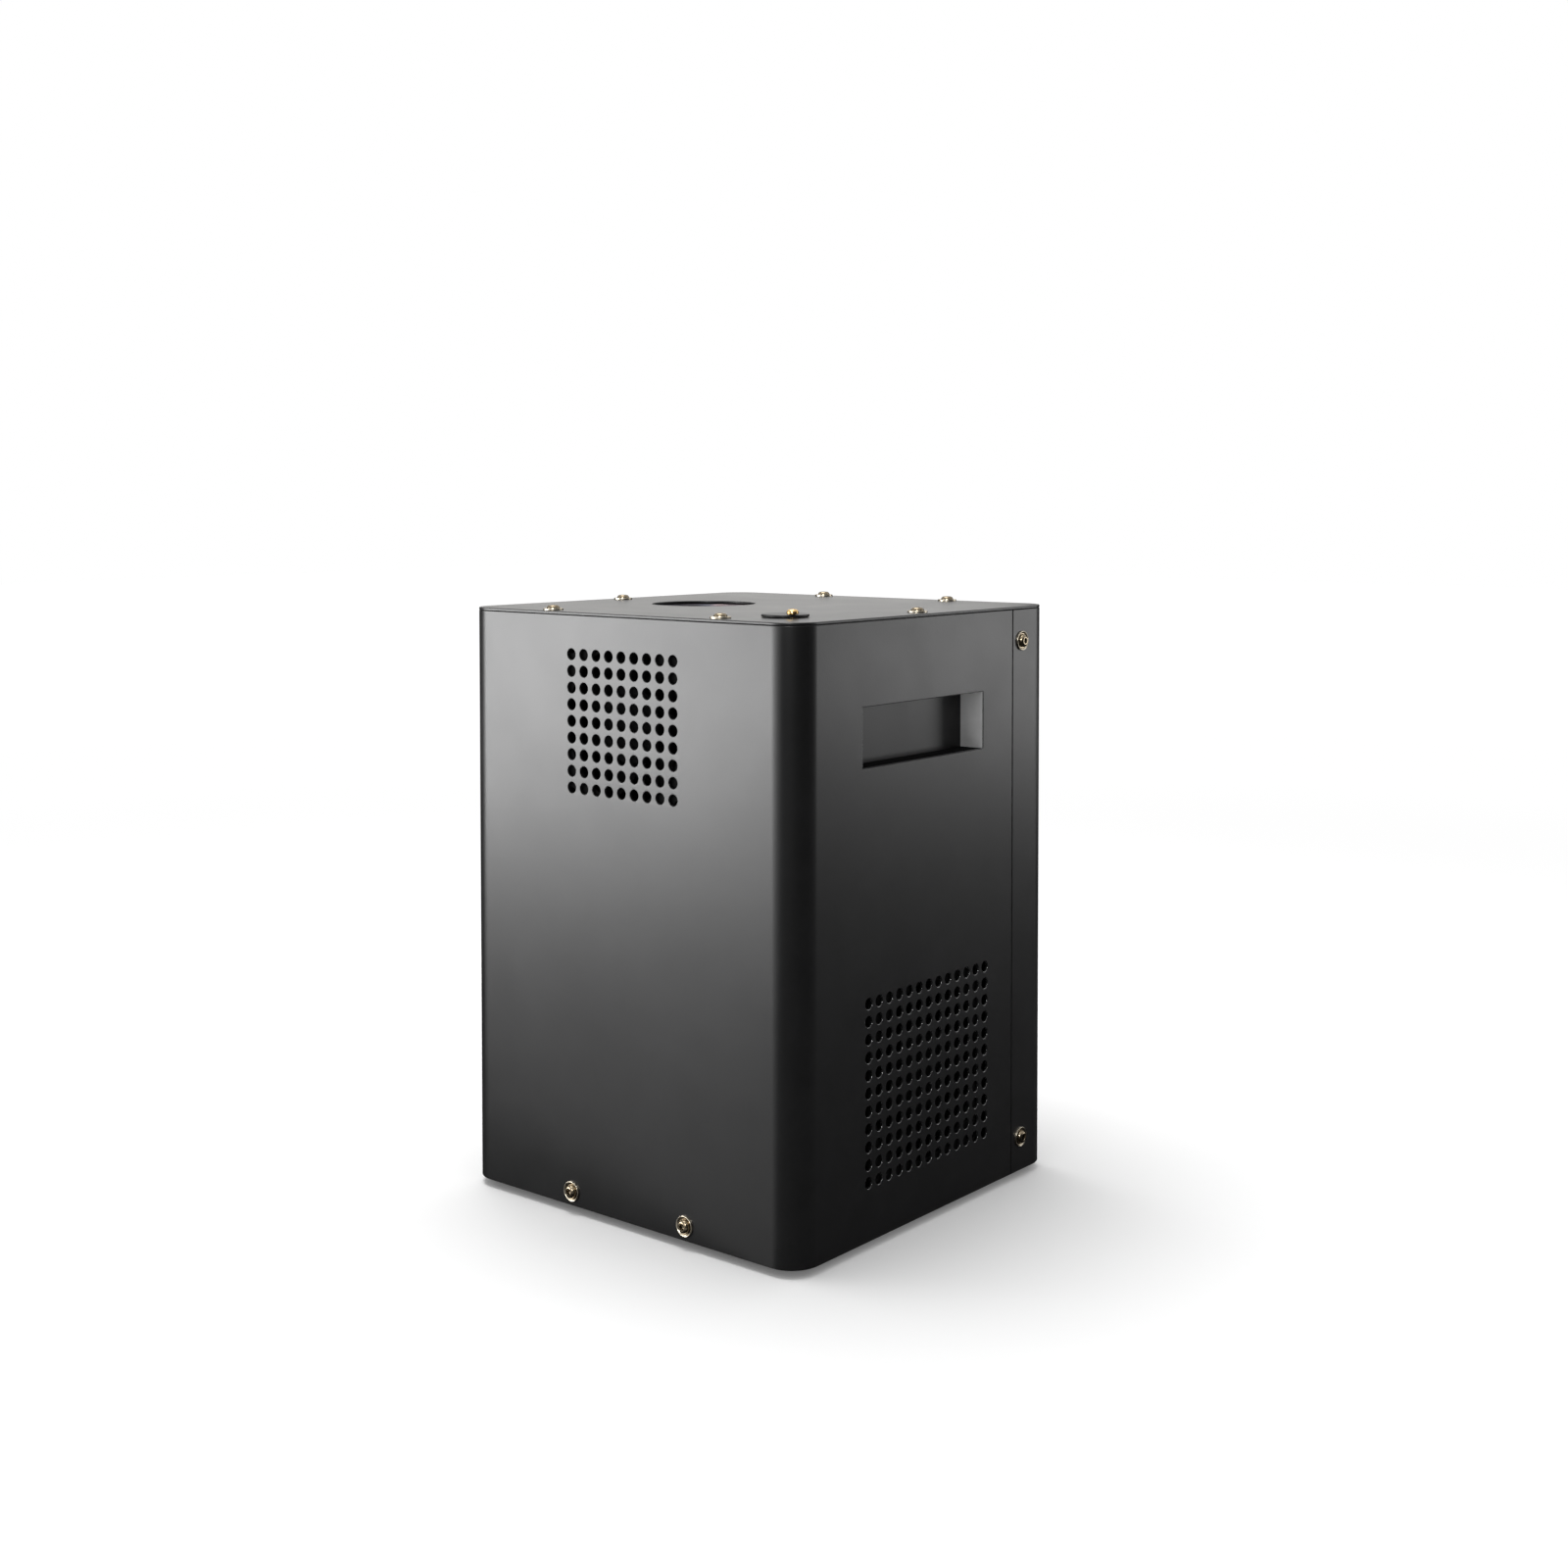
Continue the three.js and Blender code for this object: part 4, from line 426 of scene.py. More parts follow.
@dataclass
class Wall:
    """A wall bent from one sheet: straight runs joined by equal arcs, with the case's inside on the left.

    Attributes:
        corners: Ends of its plan line and the corners between them.
        radius: Outer radius of each bend.
        sheet: Thickness.
        runs: Where each straight run begins along the line, its first point and its direction.
    """

    corners: list[Flat]
    radius: float
    sheet: float
    steps: int = 14
    runs: list[tuple[float, Vector, Vector]] = field(init=False, default_factory=list)
    length: float = field(init=False, default=0.0)

    def __post_init__(self) -> None:
        """Works out where each straight run starts and which way it goes."""
        for index, (start, end) in enumerate(zip(self.corners, self.corners[1:])):
            first, last = Vector(start), Vector(end)
            way = (last - first).normalized()
            if index:
                first += way * self.radius
                self.length += self.radius * pi / 2
            if index < len(self.corners) - 2:
                last -= way * self.radius
            self.runs.append((self.length, first, way))
            self.length += (last - first).length

    def reach(self, run: int, x: float, y: float) -> float:
        """Returns how far along the wall the plan point (x, y) of a straight run lies."""
        begin, first, way = self.runs[run]
        return begin + (Vector((x, y)) - first).dot(way)

    def bends(self) -> list[float]:
        """Works out where the wall creases.

        Returns:
            Distances along the wall.
        """
        arc = self.radius * pi / 2
        starts = [begin - arc for begin, _, _ in self.runs[1:]]
        return [start + arc * step / self.steps for start in starts for step in range(self.steps + 1)]

    def at(self, distance: float, depth: float) -> Flat:
        """Works out where a point of the flat sheet lies in plan.

        Args:
            distance: Its distance along the outer face.
            depth: Its depth into the case.

        Returns:
            Its plan point.
        """
        arc = self.radius * pi / 2
        index = max(i for i, run in enumerate(self.runs) if i == 0 or distance >= run[0] - arc)
        begin, first, way = self.runs[index]
        inside = Vector((-way.y, way.x))
        if distance >= begin:
            return tuple(first + way * (distance - begin) + inside * depth)
        turn = (begin - distance) / self.radius
        hub = first + inside * self.radius
        arm = -inside * cos(turn) - way * sin(turn)
        return tuple(hub + arm * (self.radius - depth))

    def build(
        self,
        low: float,
        high: float,
        holes: list[list[Flat]],
        edge: float,
        lined: "dict[int, Finish] | None" = None,
    ) -> Shape:
        """Makes the wall.

        Args:
            low: Height of its lower edge.
            high: Height of its upper edge.
            holes: Openings as loops of (distance along, height).
            edge: Radius of its edges.
            lined: Finishes of the walls of openings, by their numbers from 1.

        Returns:
            Its shape.
        """
        outline = [(0.0, low), (self.length, low), (self.length, high), (0.0, high)]
        creases = [((along, low - 1), (along, high + 1)) for along in self.bends()]

        def bent(along: float, up: float, depth: float) -> Spot:
            """Returns where a point of the flat sheet lands once the sheet is bent."""
            return (*self.at(along, depth), up)

        return Shape().slab(outline, holes, self.sheet, bent, edge, creases, lined)


# Shader nodes


class Wiring:
    """Adds nodes to a node tree and links them."""

    def __init__(self, tree: bpy.types.NodeTree) -> None:
        """Keeps the tree that the nodes go into."""
        self.tree = tree

    def add(self, kind: str, inputs: dict | None = None, **settings: object) -> bpy.types.Node:
        """Adds one node.

        Args:
            kind: The node's type, without its ShaderNode prefix.
            inputs: Values or sockets for its inputs, by name or number.
            **settings: Values for the node's own properties.

        Returns:
            The new node.
        """
        node = self.tree.nodes.new("ShaderNode" + kind)
        for key, value in settings.items():
            setattr(node, key, value)
        for key, value in (inputs or {}).items():
            self.feed(node, key, value)
        return node

    def feed(self, node: bpy.types.Node, key: str | int, value: object) -> None:
        """Links a socket into an input, or sets the input to a plain value.

        Args:
            node: The node.
            key: The input's name or number.
            value: The socket or value.
        """
        if isinstance(value, Socket):
            self.tree.links.new(value, node.inputs[key])
        else:
            node.inputs[key].default_value = value

    def math(self, operation: str, *values: object, clamp: bool = False) -> Socket:
        """Adds a Math node and returns its output."""
        node = self.add("Math", dict(enumerate(values)), operation=operation, use_clamp=clamp)
        return node.outputs[0]

    def mix(self, factor: object, first: object, second: object) -> Socket:
        """Adds a colour Mix node.

        Args:
            factor: Share of the second colour.
            first: First colour.
            second: Second colour.

        Returns:
            Its result.
        """
        node = self.add("Mix", data_type="RGBA")
        for key, value in ((0, factor), (6, first), (7, second)):
            self.feed(node, key, (*value, 1.0) if isinstance(value, tuple) else value)
        return node.outputs[2]

    def ramp(self, value: object, low: float, high: float) -> Socket:
        """Returns a value stretched so that low becomes 0 and high becomes 1."""
        node = self.add("MapRange", {0: value, 1: low, 2: high, 3: 0.0, 4: 1.0})
        return node.outputs[0]

    def spot(self) -> Socket:
        """Returns the place on the object, in its own coordinates."""
        return self.add("TexCoord").outputs["Object"]

    def seen(self) -> Socket:
        """Tells rays that show a thing from those that only light it.

        Returns:
            1 for what the camera, a reflection or clear glass sees, and 0 for other rays.
        """
        path = self.add("LightPath")
        direct = self.math("MAXIMUM", path.outputs["Is Camera Ray"], path.outputs["Is Glossy Ray"])
        return self.math("MAXIMUM", direct, path.outputs["Is Transmission Ray"])

    def group(self, tree: bpy.types.NodeTree, inputs: dict) -> bpy.types.Node:
        """Places a node group with its values and links."""
        return self.add("Group", inputs, node_tree=tree)


def new_material(title: str) -> tuple[bpy.types.Material, Wiring, bpy.types.Node]:
    """Makes a material.

    Args:
        title: Its name.

    Returns:
        The material, its wiring and its Principled node.
    """
    made = bpy.data.materials.new(title)
    made.use_nodes = True
    return made, Wiring(made.node_tree), made.node_tree.nodes["Principled BSDF"]


def new_object(name: str, data: bpy.types.ID) -> bpy.types.Object:
    """Makes an object in the scene.

    Args:
        name: Its name.
        data: Its mesh, light or camera.

    Returns:
        The object.
    """
    made = bpy.data.objects.new(name, data)
    bpy.context.scene.collection.objects.link(made)
    return made


def new_group(title: str, inputs: dict[str, float], output: str) -> tuple[bpy.types.NodeTree, Wiring, dict]:
    """Makes an empty node group with number inputs and one number output.

    Args:
        title: The group's name.
        inputs: Its inputs and their usual values.
        output: Name of its output.

    Returns:
        The tree, its wiring and its input sockets with the output node under "end".
    """
    tree = bpy.data.node_groups.new(title, "ShaderNodeTree")
    for name, usual in inputs.items():
        socket = tree.interface.new_socket(name=name, in_out="INPUT", socket_type="NodeSocketFloat")
        socket.default_value = usual
    tree.interface.new_socket(name=output, in_out="OUTPUT", socket_type="NodeSocketFloat")
    start, end = tree.nodes.new("NodeGroupInput"), tree.nodes.new("NodeGroupOutput")
    sockets = {name: start.outputs[name] for name in inputs}
    return tree, Wiring(tree), {**sockets, "end": end.inputs[output]}


@cache
def grain_group() -> bpy.types.NodeTree:
    """Makes the height of a fine pebbled skin: small rounded cells under a softer waviness.

    Returns:
        The node group.
    """
    tree, wiring, ports = new_group("fine_grain", {"Scale": 1000.0, "Waviness": 0.5}, "Height")
    spot = wiring.spot()
    cells = wiring.add("TexVoronoi", {"Vector": spot, "Scale": ports["Scale"]}, feature="SMOOTH_F1")
    broad = wiring.math("MULTIPLY", ports["Scale"], 0.23)
    waves = wiring.add("TexNoise", {"Vector": spot, "Scale": broad, "Detail": 2.0})
    share = wiring.math("MULTIPLY", waves.outputs[0], ports["Waviness"])
    tree.links.new(wiring.math("ADD", cells.outputs["Distance"], share), ports["end"])
    return tree


@cache
def smudge_group() -> bpy.types.NodeTree:
    """Makes a slow uneven change around zero, from handling and cleaning.

    Returns:
        The node group.
    """
    tree, wiring, ports = new_group("handling_smudges", {"Scale": 18.0, "Strength": 0.05}, "Change")
    spot = wiring.spot()
    clouds = wiring.add("TexNoise", {"Vector": spot, "Scale": ports["Scale"], "Detail": 6.0, "Distortion": 0.6})
    centred = wiring.math("SUBTRACT", clouds.outputs[0], 0.5)
    tree.links.new(wiring.math("MULTIPLY", centred, ports["Strength"]), ports["end"])
    return tree


@cache
def dust_group() -> bpy.types.NodeTree:
    """Makes a thin film of dust on what faces up, with finer specks in it.

    Returns:
        The node group.
    """
    tree, wiring, ports = new_group("settled_dust", {"Amount": 0.05, "Scale": 60.0}, "Mask")
    spot = wiring.spot()
    facing = wiring.add("SeparateXYZ", {0: wiring.add("NewGeometry").outputs["Normal"]}).outputs[2]
    upward = wiring.ramp(facing, 0.1, 0.95)
    film = wiring.add("TexNoise", {"Vector": spot, "Scale": ports["Scale"], "Detail": 8.0, "Roughness": 0.7})
    patch = wiring.ramp(film.outputs[0], 0.35, 0.75)
    laid = wiring.math("MULTIPLY", upward, patch)
    tree.links.new(wiring.math("MULTIPLY", laid, ports["Amount"], clamp=True), ports["end"])
    return tree


@cache
def wear_group() -> bpy.types.NodeTree:
    """Makes rubbed edges: where a rounded normal leaves the real one, broken up by a fine noise.

    Returns:
        The node group.
    """
    tree, wiring, ports = new_group("rubbed_edges", {"Radius": 0.0004, "Amount": 0.5}, "Mask")
    rounded_normal = wiring.add("Bevel", {"Radius": ports["Radius"]}, samples=4)
    real = wiring.add("NewGeometry").outputs["Normal"]
    dot = wiring.add("VectorMath", {0: rounded_normal.outputs[0], 1: real}, operation="DOT_PRODUCT")
    away = wiring.ramp(wiring.math("SUBTRACT", 1.0, dot.outputs["Value"]), 0.01, 0.12)
    spot = wiring.spot()
    broken = wiring.add("TexNoise", {"Vector": spot, "Scale": 700.0, "Detail": 5.0})
    chips = wiring.math("MULTIPLY", away, wiring.ramp(broken.outputs[0], 0.4, 0.62))
    tree.links.new(wiring.math("MULTIPLY", chips, ports["Amount"]), ports["end"])
    return tree


# Finishes


@dataclass(frozen=True)
class Finish:
    """A surface finish, from its colour down to its finest form.

    Attributes:
        grain: Cells of the skin for each metre.
        relief: Depth of the skin in metres.
        smudge: How far the roughness wanders.
        dust: How much dust lies on what faces up.
    """

    title: str
    colour: Colour
    roughness: float
    metallic: float = 0.0
    specular: float = 0.5
    grain: float = 1200.0
    relief: float = 0.00002
    waviness: float = 0.5
    smudge: float = 0.08
    dust: float = 0.0

    @cache
    def material(self) -> bpy.types.Material:
        """Builds the material once.

        Returns:
            The material.
        """
        made, wiring, shader = new_material(self.title)
        made.diffuse_color = (*self.colour, 1.0)
        shader.inputs["Metallic"].default_value = self.metallic
        shader.inputs["Specular IOR Level"].default_value = self.specular
        change = wiring.group(smudge_group(), {"Scale": 22.0, "Strength": self.smudge}).outputs[0]
        wiring.feed(shader, "Roughness", wiring.math("ADD", self.roughness_of(wiring), change, clamp=True))
        colour = self.colour_of(wiring)
        if self.dust:
            mask = wiring.group(dust_group(), {"Amount": self.dust}).outputs[0]
            colour = wiring.mix(mask, colour, (0.42, 0.40, 0.37))
        wiring.feed(shader, "Base Color", colour)
        relief = {"Height": self.height_of(wiring), "Strength": 1.0, "Distance": self.relief}
        bump = wiring.add("Bump", relief)
        wiring.feed(shader, "Normal", bump.outputs[0])
        self.extras(wiring, shader)
        return made

    def colour_of(self, wiring: Wiring) -> Socket:
        """Makes the base colour a little darker and lighter in soft clouds.

        Args:
            wiring: The material's wiring.

        Returns:
            The colour.
        """
        clouds = wiring.group(smudge_group(), {"Scale": 55.0, "Strength": 1.6}).outputs[0]
        share = wiring.math("ADD", clouds, 0.5, clamp=True)
        return wiring.mix(share, self.shade(0.82), self.shade(1.18))

    def roughness_of(self, wiring: Wiring) -> float | Socket:
        """Returns the middle roughness."""
        return self.roughness

    def height_of(self, wiring: Wiring) -> Socket:
        """Returns the height that the bump takes."""
        return wiring.group(grain_group(), {"Scale": self.grain, "Waviness": self.waviness}).outputs[0]

    def extras(self, wiring: Wiring, shader: bpy.types.Node) -> None:
        """Adds what only one kind of finish has; a plain finish has nothing more."""

    def shade(self, factor: float) -> Colour:
        """Returns the base colour made lighter or darker."""
        return tuple(min(1.0, channel * factor) for channel in self.colour)


@dataclass(frozen=True)
class PlatedFinish(Finish):
    """Bright plating or bare metal, rubbed lighter along its edges."""

    rubbed: Colour = (0.9, 0.88, 0.84)
    wear: float = 0.5

    def colour_of(self, wiring: Wiring) -> Socket:
        """Returns the plating's colour with its rubbed edges."""
        worn = wiring.group(wear_group(), {"Amount": self.wear}).outputs[0]
        return wiring.mix(worn, super().colour_of(wiring), self.rubbed)


@dataclass(frozen=True)
class SpangledFinish(Finish):
    """Zinc-coated sheet, with the crystal pattern that the bath leaves.

    Attributes:
        crystals: Crystals for each metre.
        spread: How far the roughness differs between crystals.
    """

    crystals: float = 130.0
    spread: float = 0.16

    def tone(self, wiring: Wiring, channel: int) -> Socket:
        """Returns one channel of a colour that differs from crystal to crystal."""
        cells = wiring.add("TexVoronoi", {"Vector": wiring.spot(), "Scale": self.crystals, "Randomness": 1.0})
        return wiring.add("SeparateColor", {0: cells.outputs["Color"]}).outputs[channel]

    def colour_of(self, wiring: Wiring) -> Socket:
        """Returns the zinc's colour, a little different from crystal to crystal."""
        return wiring.mix(self.tone(wiring, 0), self.shade(0.72), self.shade(1.12))

    def roughness_of(self, wiring: Wiring) -> Socket:
        """Returns a roughness that changes from crystal to crystal."""
        lowest = self.roughness - self.spread / 2
        return wiring.math("MULTIPLY_ADD", self.tone(wiring, 1), self.spread, lowest)


@dataclass(frozen=True)
class TemperedFinish(Finish):
    """Steel that has been hot, with straw, brown and blue bands.

    Attributes:
        low: Height in metres at which the colours start.
        high: Height in metres at which they are strongest.
        bands: Share of the heat and colour of each band between the cold steel and the hottest.
    """

    low: float = 0.13
    high: float = 0.30
    bands: tuple[tuple[float, Colour], ...] = (
        (0.35, (0.50, 0.42, 0.28)),
        (0.6, (0.42, 0.26, 0.13)),
        (0.85, (0.20, 0.16, 0.17)),
    )
    hottest: Colour = (0.05, 0.05, 0.06)

    def colour_of(self, wiring: Wiring) -> Socket:
        """Makes the temper colours, wandering with the height.

        Args:
            wiring: The material's wiring.

        Returns:
            The colour.
        """
        height = wiring.add("SeparateXYZ", {0: wiring.spot()}).outputs[2]
        heat = wiring.ramp(height, self.low, self.high)
        wander = wiring.group(smudge_group(), {"Scale": 30.0, "Strength": 0.9}).outputs[0]
        ramp = wiring.add("ValToRGB", {0: wiring.math("ADD", heat, wander, clamp=True)})
        elements = ramp.color_ramp.elements
        elements[0].color = (*self.colour, 1.0)
        elements[1].color = (*self.hottest, 1.0)
        for position, tint in self.bands:
            elements.new(position).color = (*tint, 1.0)
        return ramp.outputs[0]


@dataclass(frozen=True)
class FibreFinish(Finish):
    """Pressed ceramic fibre: matted strands in every direction."""

    def height_of(self, wiring: Wiring) -> Socket:
        """Makes the height of crossing strands.

        Args:
            wiring: The material's wiring.

        Returns:
            The height.
        """
        spot = wiring.spot()
        first = wiring.add("TexWave", {"Vector": spot, "Scale": 160.0, "Distortion": 22.0, "Detail": 4.0})
        second = wiring.add("TexNoise", {"Vector": spot, "Scale": 900.0, "Detail": 6.0, "Distortion": 3.0})
        return wiring.math("ADD", first.outputs[1], second.outputs[0])


@dataclass(frozen=True)
class CircuitFinish(Finish):
    """A lacquered circuit board, with copper runs showing through."""

    def colour_of(self, wiring: Wiring) -> Socket:
        """Makes the lacquer with its lighter copper runs.

        Args:
            wiring: The material's wiring.

        Returns:
            The colour.
        """
        spot = wiring.spot()
        runs = wiring.add("TexVoronoi", {"Vector": spot, "Scale": 260.0}, feature="F1", distance="MANHATTAN")
        lines = wiring.math("PINGPONG", runs.outputs["Distance"], 0.12)
        mask = wiring.ramp(lines, 0.05, 0.07)
        return wiring.mix(mask, self.colour, self.shade(1.9))


@dataclass(frozen=True)
class GlassyFinish(Finish):
    """A dark screen or gloss moulding under a clear layer."""

    coat: float = 1.0

    def extras(self, wiring: Wiring, shader: bpy.types.Node) -> None:
        """Adds the clear layer."""
        shader.inputs["Coat Weight"].default_value = self.coat
        shader.inputs["Coat Roughness"].default_value = 0.04


class Dress:
    """The finishes of the machine, by the record's material slots."""

    COAT = Finish(
        "satin_powder_coat", (0.009, 0.009, 0.0095), 0.34,
        specular=0.38, grain=1500.0, relief=1.2e-5, dust=0.02,
    )
    RUBBER = Finish(
        "moulded_rubber", (0.018, 0.018, 0.018), 0.72,
        specular=0.3, grain=2200.0, relief=2e-5, dust=0.05,
    )
    NICKEL = PlatedFinish(
        "warm_nickel_plate", (0.22, 0.18, 0.125), 0.26, 1.0,
        relief=2e-6, smudge=0.05, rubbed=(0.36, 0.31, 0.23),
    )
    COVER = Finish(
        "baked_cover_coat", (0.012, 0.012, 0.012), 0.42,
        specular=0.4, grain=1900.0, relief=1e-5, dust=0.03,
    )
    BRASS = PlatedFinish(
        "turned_brass", (0.66, 0.44, 0.18), 0.24, 1.0,
        relief=3e-6, rubbed=(0.88, 0.68, 0.36),
    )
    ZINC = SpangledFinish("zinc_coated_sheet", (0.56, 0.57, 0.58), 0.42, 1.0, relief=4e-6)
    CAST = Finish("cast_aluminium", (0.60, 0.60, 0.61), 0.46, 1.0, grain=1500.0, relief=2e-5)
    HEAT = TemperedFinish("tempered_steel", (0.52, 0.50, 0.47), 0.42, 1.0, relief=6e-6)
    NYLON = Finish("natural_nylon", (0.74, 0.72, 0.66), 0.4, relief=5e-6)
    FELT = FibreFinish("ceramic_fibre_felt", (0.70, 0.68, 0.62), 0.92, specular=0.2, relief=3e-4)
    PLASTIC = Finish(
        "moulded_black_plastic", (0.02, 0.02, 0.021), 0.46,
        specular=0.45, grain=1700.0, relief=1.5e-5,
    )
    # Near-black and dull: the fans' black plastic made darker as painted shade behind the vents, also painted
    # shade inside the power supply and on the recesses' long walls.
    FAN_PLASTIC_AND_SHADE = Finish("fan_plastic_and_painted_shade", (0.004, 0.004, 0.004), 0.8, specular=0.05, grain=1700.0, relief=1e-5)
    # Painted shade: a slightly darker, duller copy of the coat on the handle recesses' floor.
    CUP = Finish(
        "shaded_cup_coat", (0.008, 0.008, 0.0085), 0.36,
        specular=0.30, grain=1500.0, relief=1.2e-5,
    )
    # Painted light: pale grey on the handle recesses' end walls, where light falls.
    PAINTED_LIGHT_END = Finish("cup_end_painted_light", (0.72, 0.72, 0.72), 0.5, specular=0.4, grain=1700.0, relief=8e-6)
    LINING = Finish(
        "thick_coat_in_vents", (0.012, 0.012, 0.0125), 0.2,
        specular=1.0, relief=1e-6, smudge=0.02,
    )
    # Painted highlight: a paler copy of the screws' nickel on their flange rims.
    NICKEL_RIM_HIGHLIGHT = PlatedFinish(
        "nickel_rim_painted_highlight", (0.50, 0.45, 0.36), 0.3, 1.0,
        relief=2e-6, smudge=0.05, rubbed=(0.6, 0.55, 0.46),
    )
    RELAY = Finish("blue_relay_plastic", (0.015, 0.06, 0.24), 0.32, relief=4e-6)
    SILVER = PlatedFinish("bright_contact_plate", (0.72, 0.70, 0.66), 0.22, 1.0, relief=2e-6)
    GLOSS = GlassyFinish("gloss_rocker_plastic", (0.012, 0.012, 0.013), 0.25, relief=2e-6, coat=0.6)
    BOARD = CircuitFinish("lacquered_circuit_board", (0.012, 0.09, 0.035), 0.3, relief=1e-5)
    SCREEN = GlassyFinish("dark_display_glass", (0.006, 0.008, 0.012), 0.12, relief=1e-6)
    BUTTON = Finish("grey_button_plastic", (0.16, 0.16, 0.17), 0.42, grain=2000.0, relief=1e-5)

    SLOTS = {
        "case_black": COAT,
        "rubber_black": RUBBER,
        "screw_nickel": NICKEL,
        "cover_black": COVER,
        "screw_brass": BRASS,
        "zinc_sheet": ZINC,
        "cast_aluminium": CAST,
        "heat_steel": HEAT,
        "nylon_white": NYLON,
        "ceramic_felt": FELT,
        "plastic_black": PLASTIC,
        "rocker_gloss": GLOSS,
        "board_green": BOARD,
        "display_dark": SCREEN,
        "button_grey": BUTTON,
    }


# Pieces


BODIES = frame["record"]["behaviour"]["bodies"]
NODE_BODIES = {node: body for body, nodes in BODIES.items() for node in nodes}
NODE_SLOTS = {row["node"]: row["material_slot"] for row in frame["record"]["subparts"]}
# Fans behind the vents, which take the near-black painted-shade finish.
SHADE_DARK_FAN_NODES = ("front_fan_frame", "front_fan_rotor", "side_fan_frame", "side_fan_rotor")


@dataclass
class Part:
    """Some forms of a piece, with a finish of their own where it isn't the node's."""

    shape: Shape
    finish: Finish | None = None


def put(node: str, *parts: Part | Shape, weighted: bool = True) -> bpy.types.Object:
    """Makes a finer piece that stands for a CAD node, on its body and in its finish.

    Args:
        node: The CAD node that it stands for.
        *parts: The piece's forms; a bare shape has the node's finish.
        weighted: Whether its flat faces shade flat up to their rounded edges.

    Returns:
        The new piece.
    """
    name = node + "_made"
    slot = NODE_SLOTS[node]
    # The fans get near-black painted shade in place of their slot's finish.
    usual = Dress.FAN_PLASTIC_AND_SHADE if node in SHADE_DARK_FAN_NODES else Dress.SLOTS[slot]
    work = bmesh.new()
    finishes: list[Finish] = []
    for part in parts:
        shape, finish = (part.shape, part.finish or usual) if isinstance(part, Part) else (part, usual)
        before = len(work.faces)
        mesh = shape.mesh(name)
        work.from_mesh(mesh)
        bpy.data.meshes.remove(mesh)
        work.faces.ensure_lookup_table()
        for start, stop, tint in [(0, len(shape.faces), finish), *shape.tints]:
            if tint not in finishes:
                finishes.append(tint)
            for face in work.faces[before + start : before + stop]:
                face.material_index = finishes.index(tint)
    made = bpy.data.meshes.new(name)
    work.to_mesh(made)
    work.free()
    made.polygons.foreach_set("use_smooth", [True] * len(made.polygons))
    made.set_sharp_from_angle(angle=SHARP_ANGLE)
    for finish in finishes:
        made.materials.append(finish.material())
    piece = new_object(name, made)
    if weighted:
        modifier = piece.modifiers.new("flat_faces", "WEIGHTED_NORMAL")
        modifier.keep_sharp = True
    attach(piece, NODE_BODIES[node])
    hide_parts(node)
    LOG.info("made %s: %d faces, %s", node, len(made.polygons), slot)
    return piece


def carry(node: str, edge: float) -> None:
    """Dresses a CAD node as it is, with its edges broken.

    Args:
        node: The CAD node.
        edge: Width of the broken edges in millimetres.
    """
    piece = frame["nodes"][node]
    slot = NODE_SLOTS[node]
    piece.data.materials.clear()
    piece.data.materials.append(Dress.SLOTS[slot].material())
    weld = piece.modifiers.new("joined_faces", "WELD")
    weld.merge_threshold = WELD_REACH
    bevel = piece.modifiers.new("broken_edges", "BEVEL")
    bevel.width = edge * MM
    bevel.segments = 2
    bevel.limit_method = "ANGLE"
    bevel.angle_limit = SHARP_ANGLE
    bevel.use_clamp_overlap = True
    piece.data.polygons.foreach_set("use_smooth", [True] * len(piece.data.polygons))
    smooth = piece.modifiers.new("flat_faces", "WEIGHTED_NORMAL")
    smooth.keep_sharp = True
    LOG.info("carried over %s, %s", node, slot)


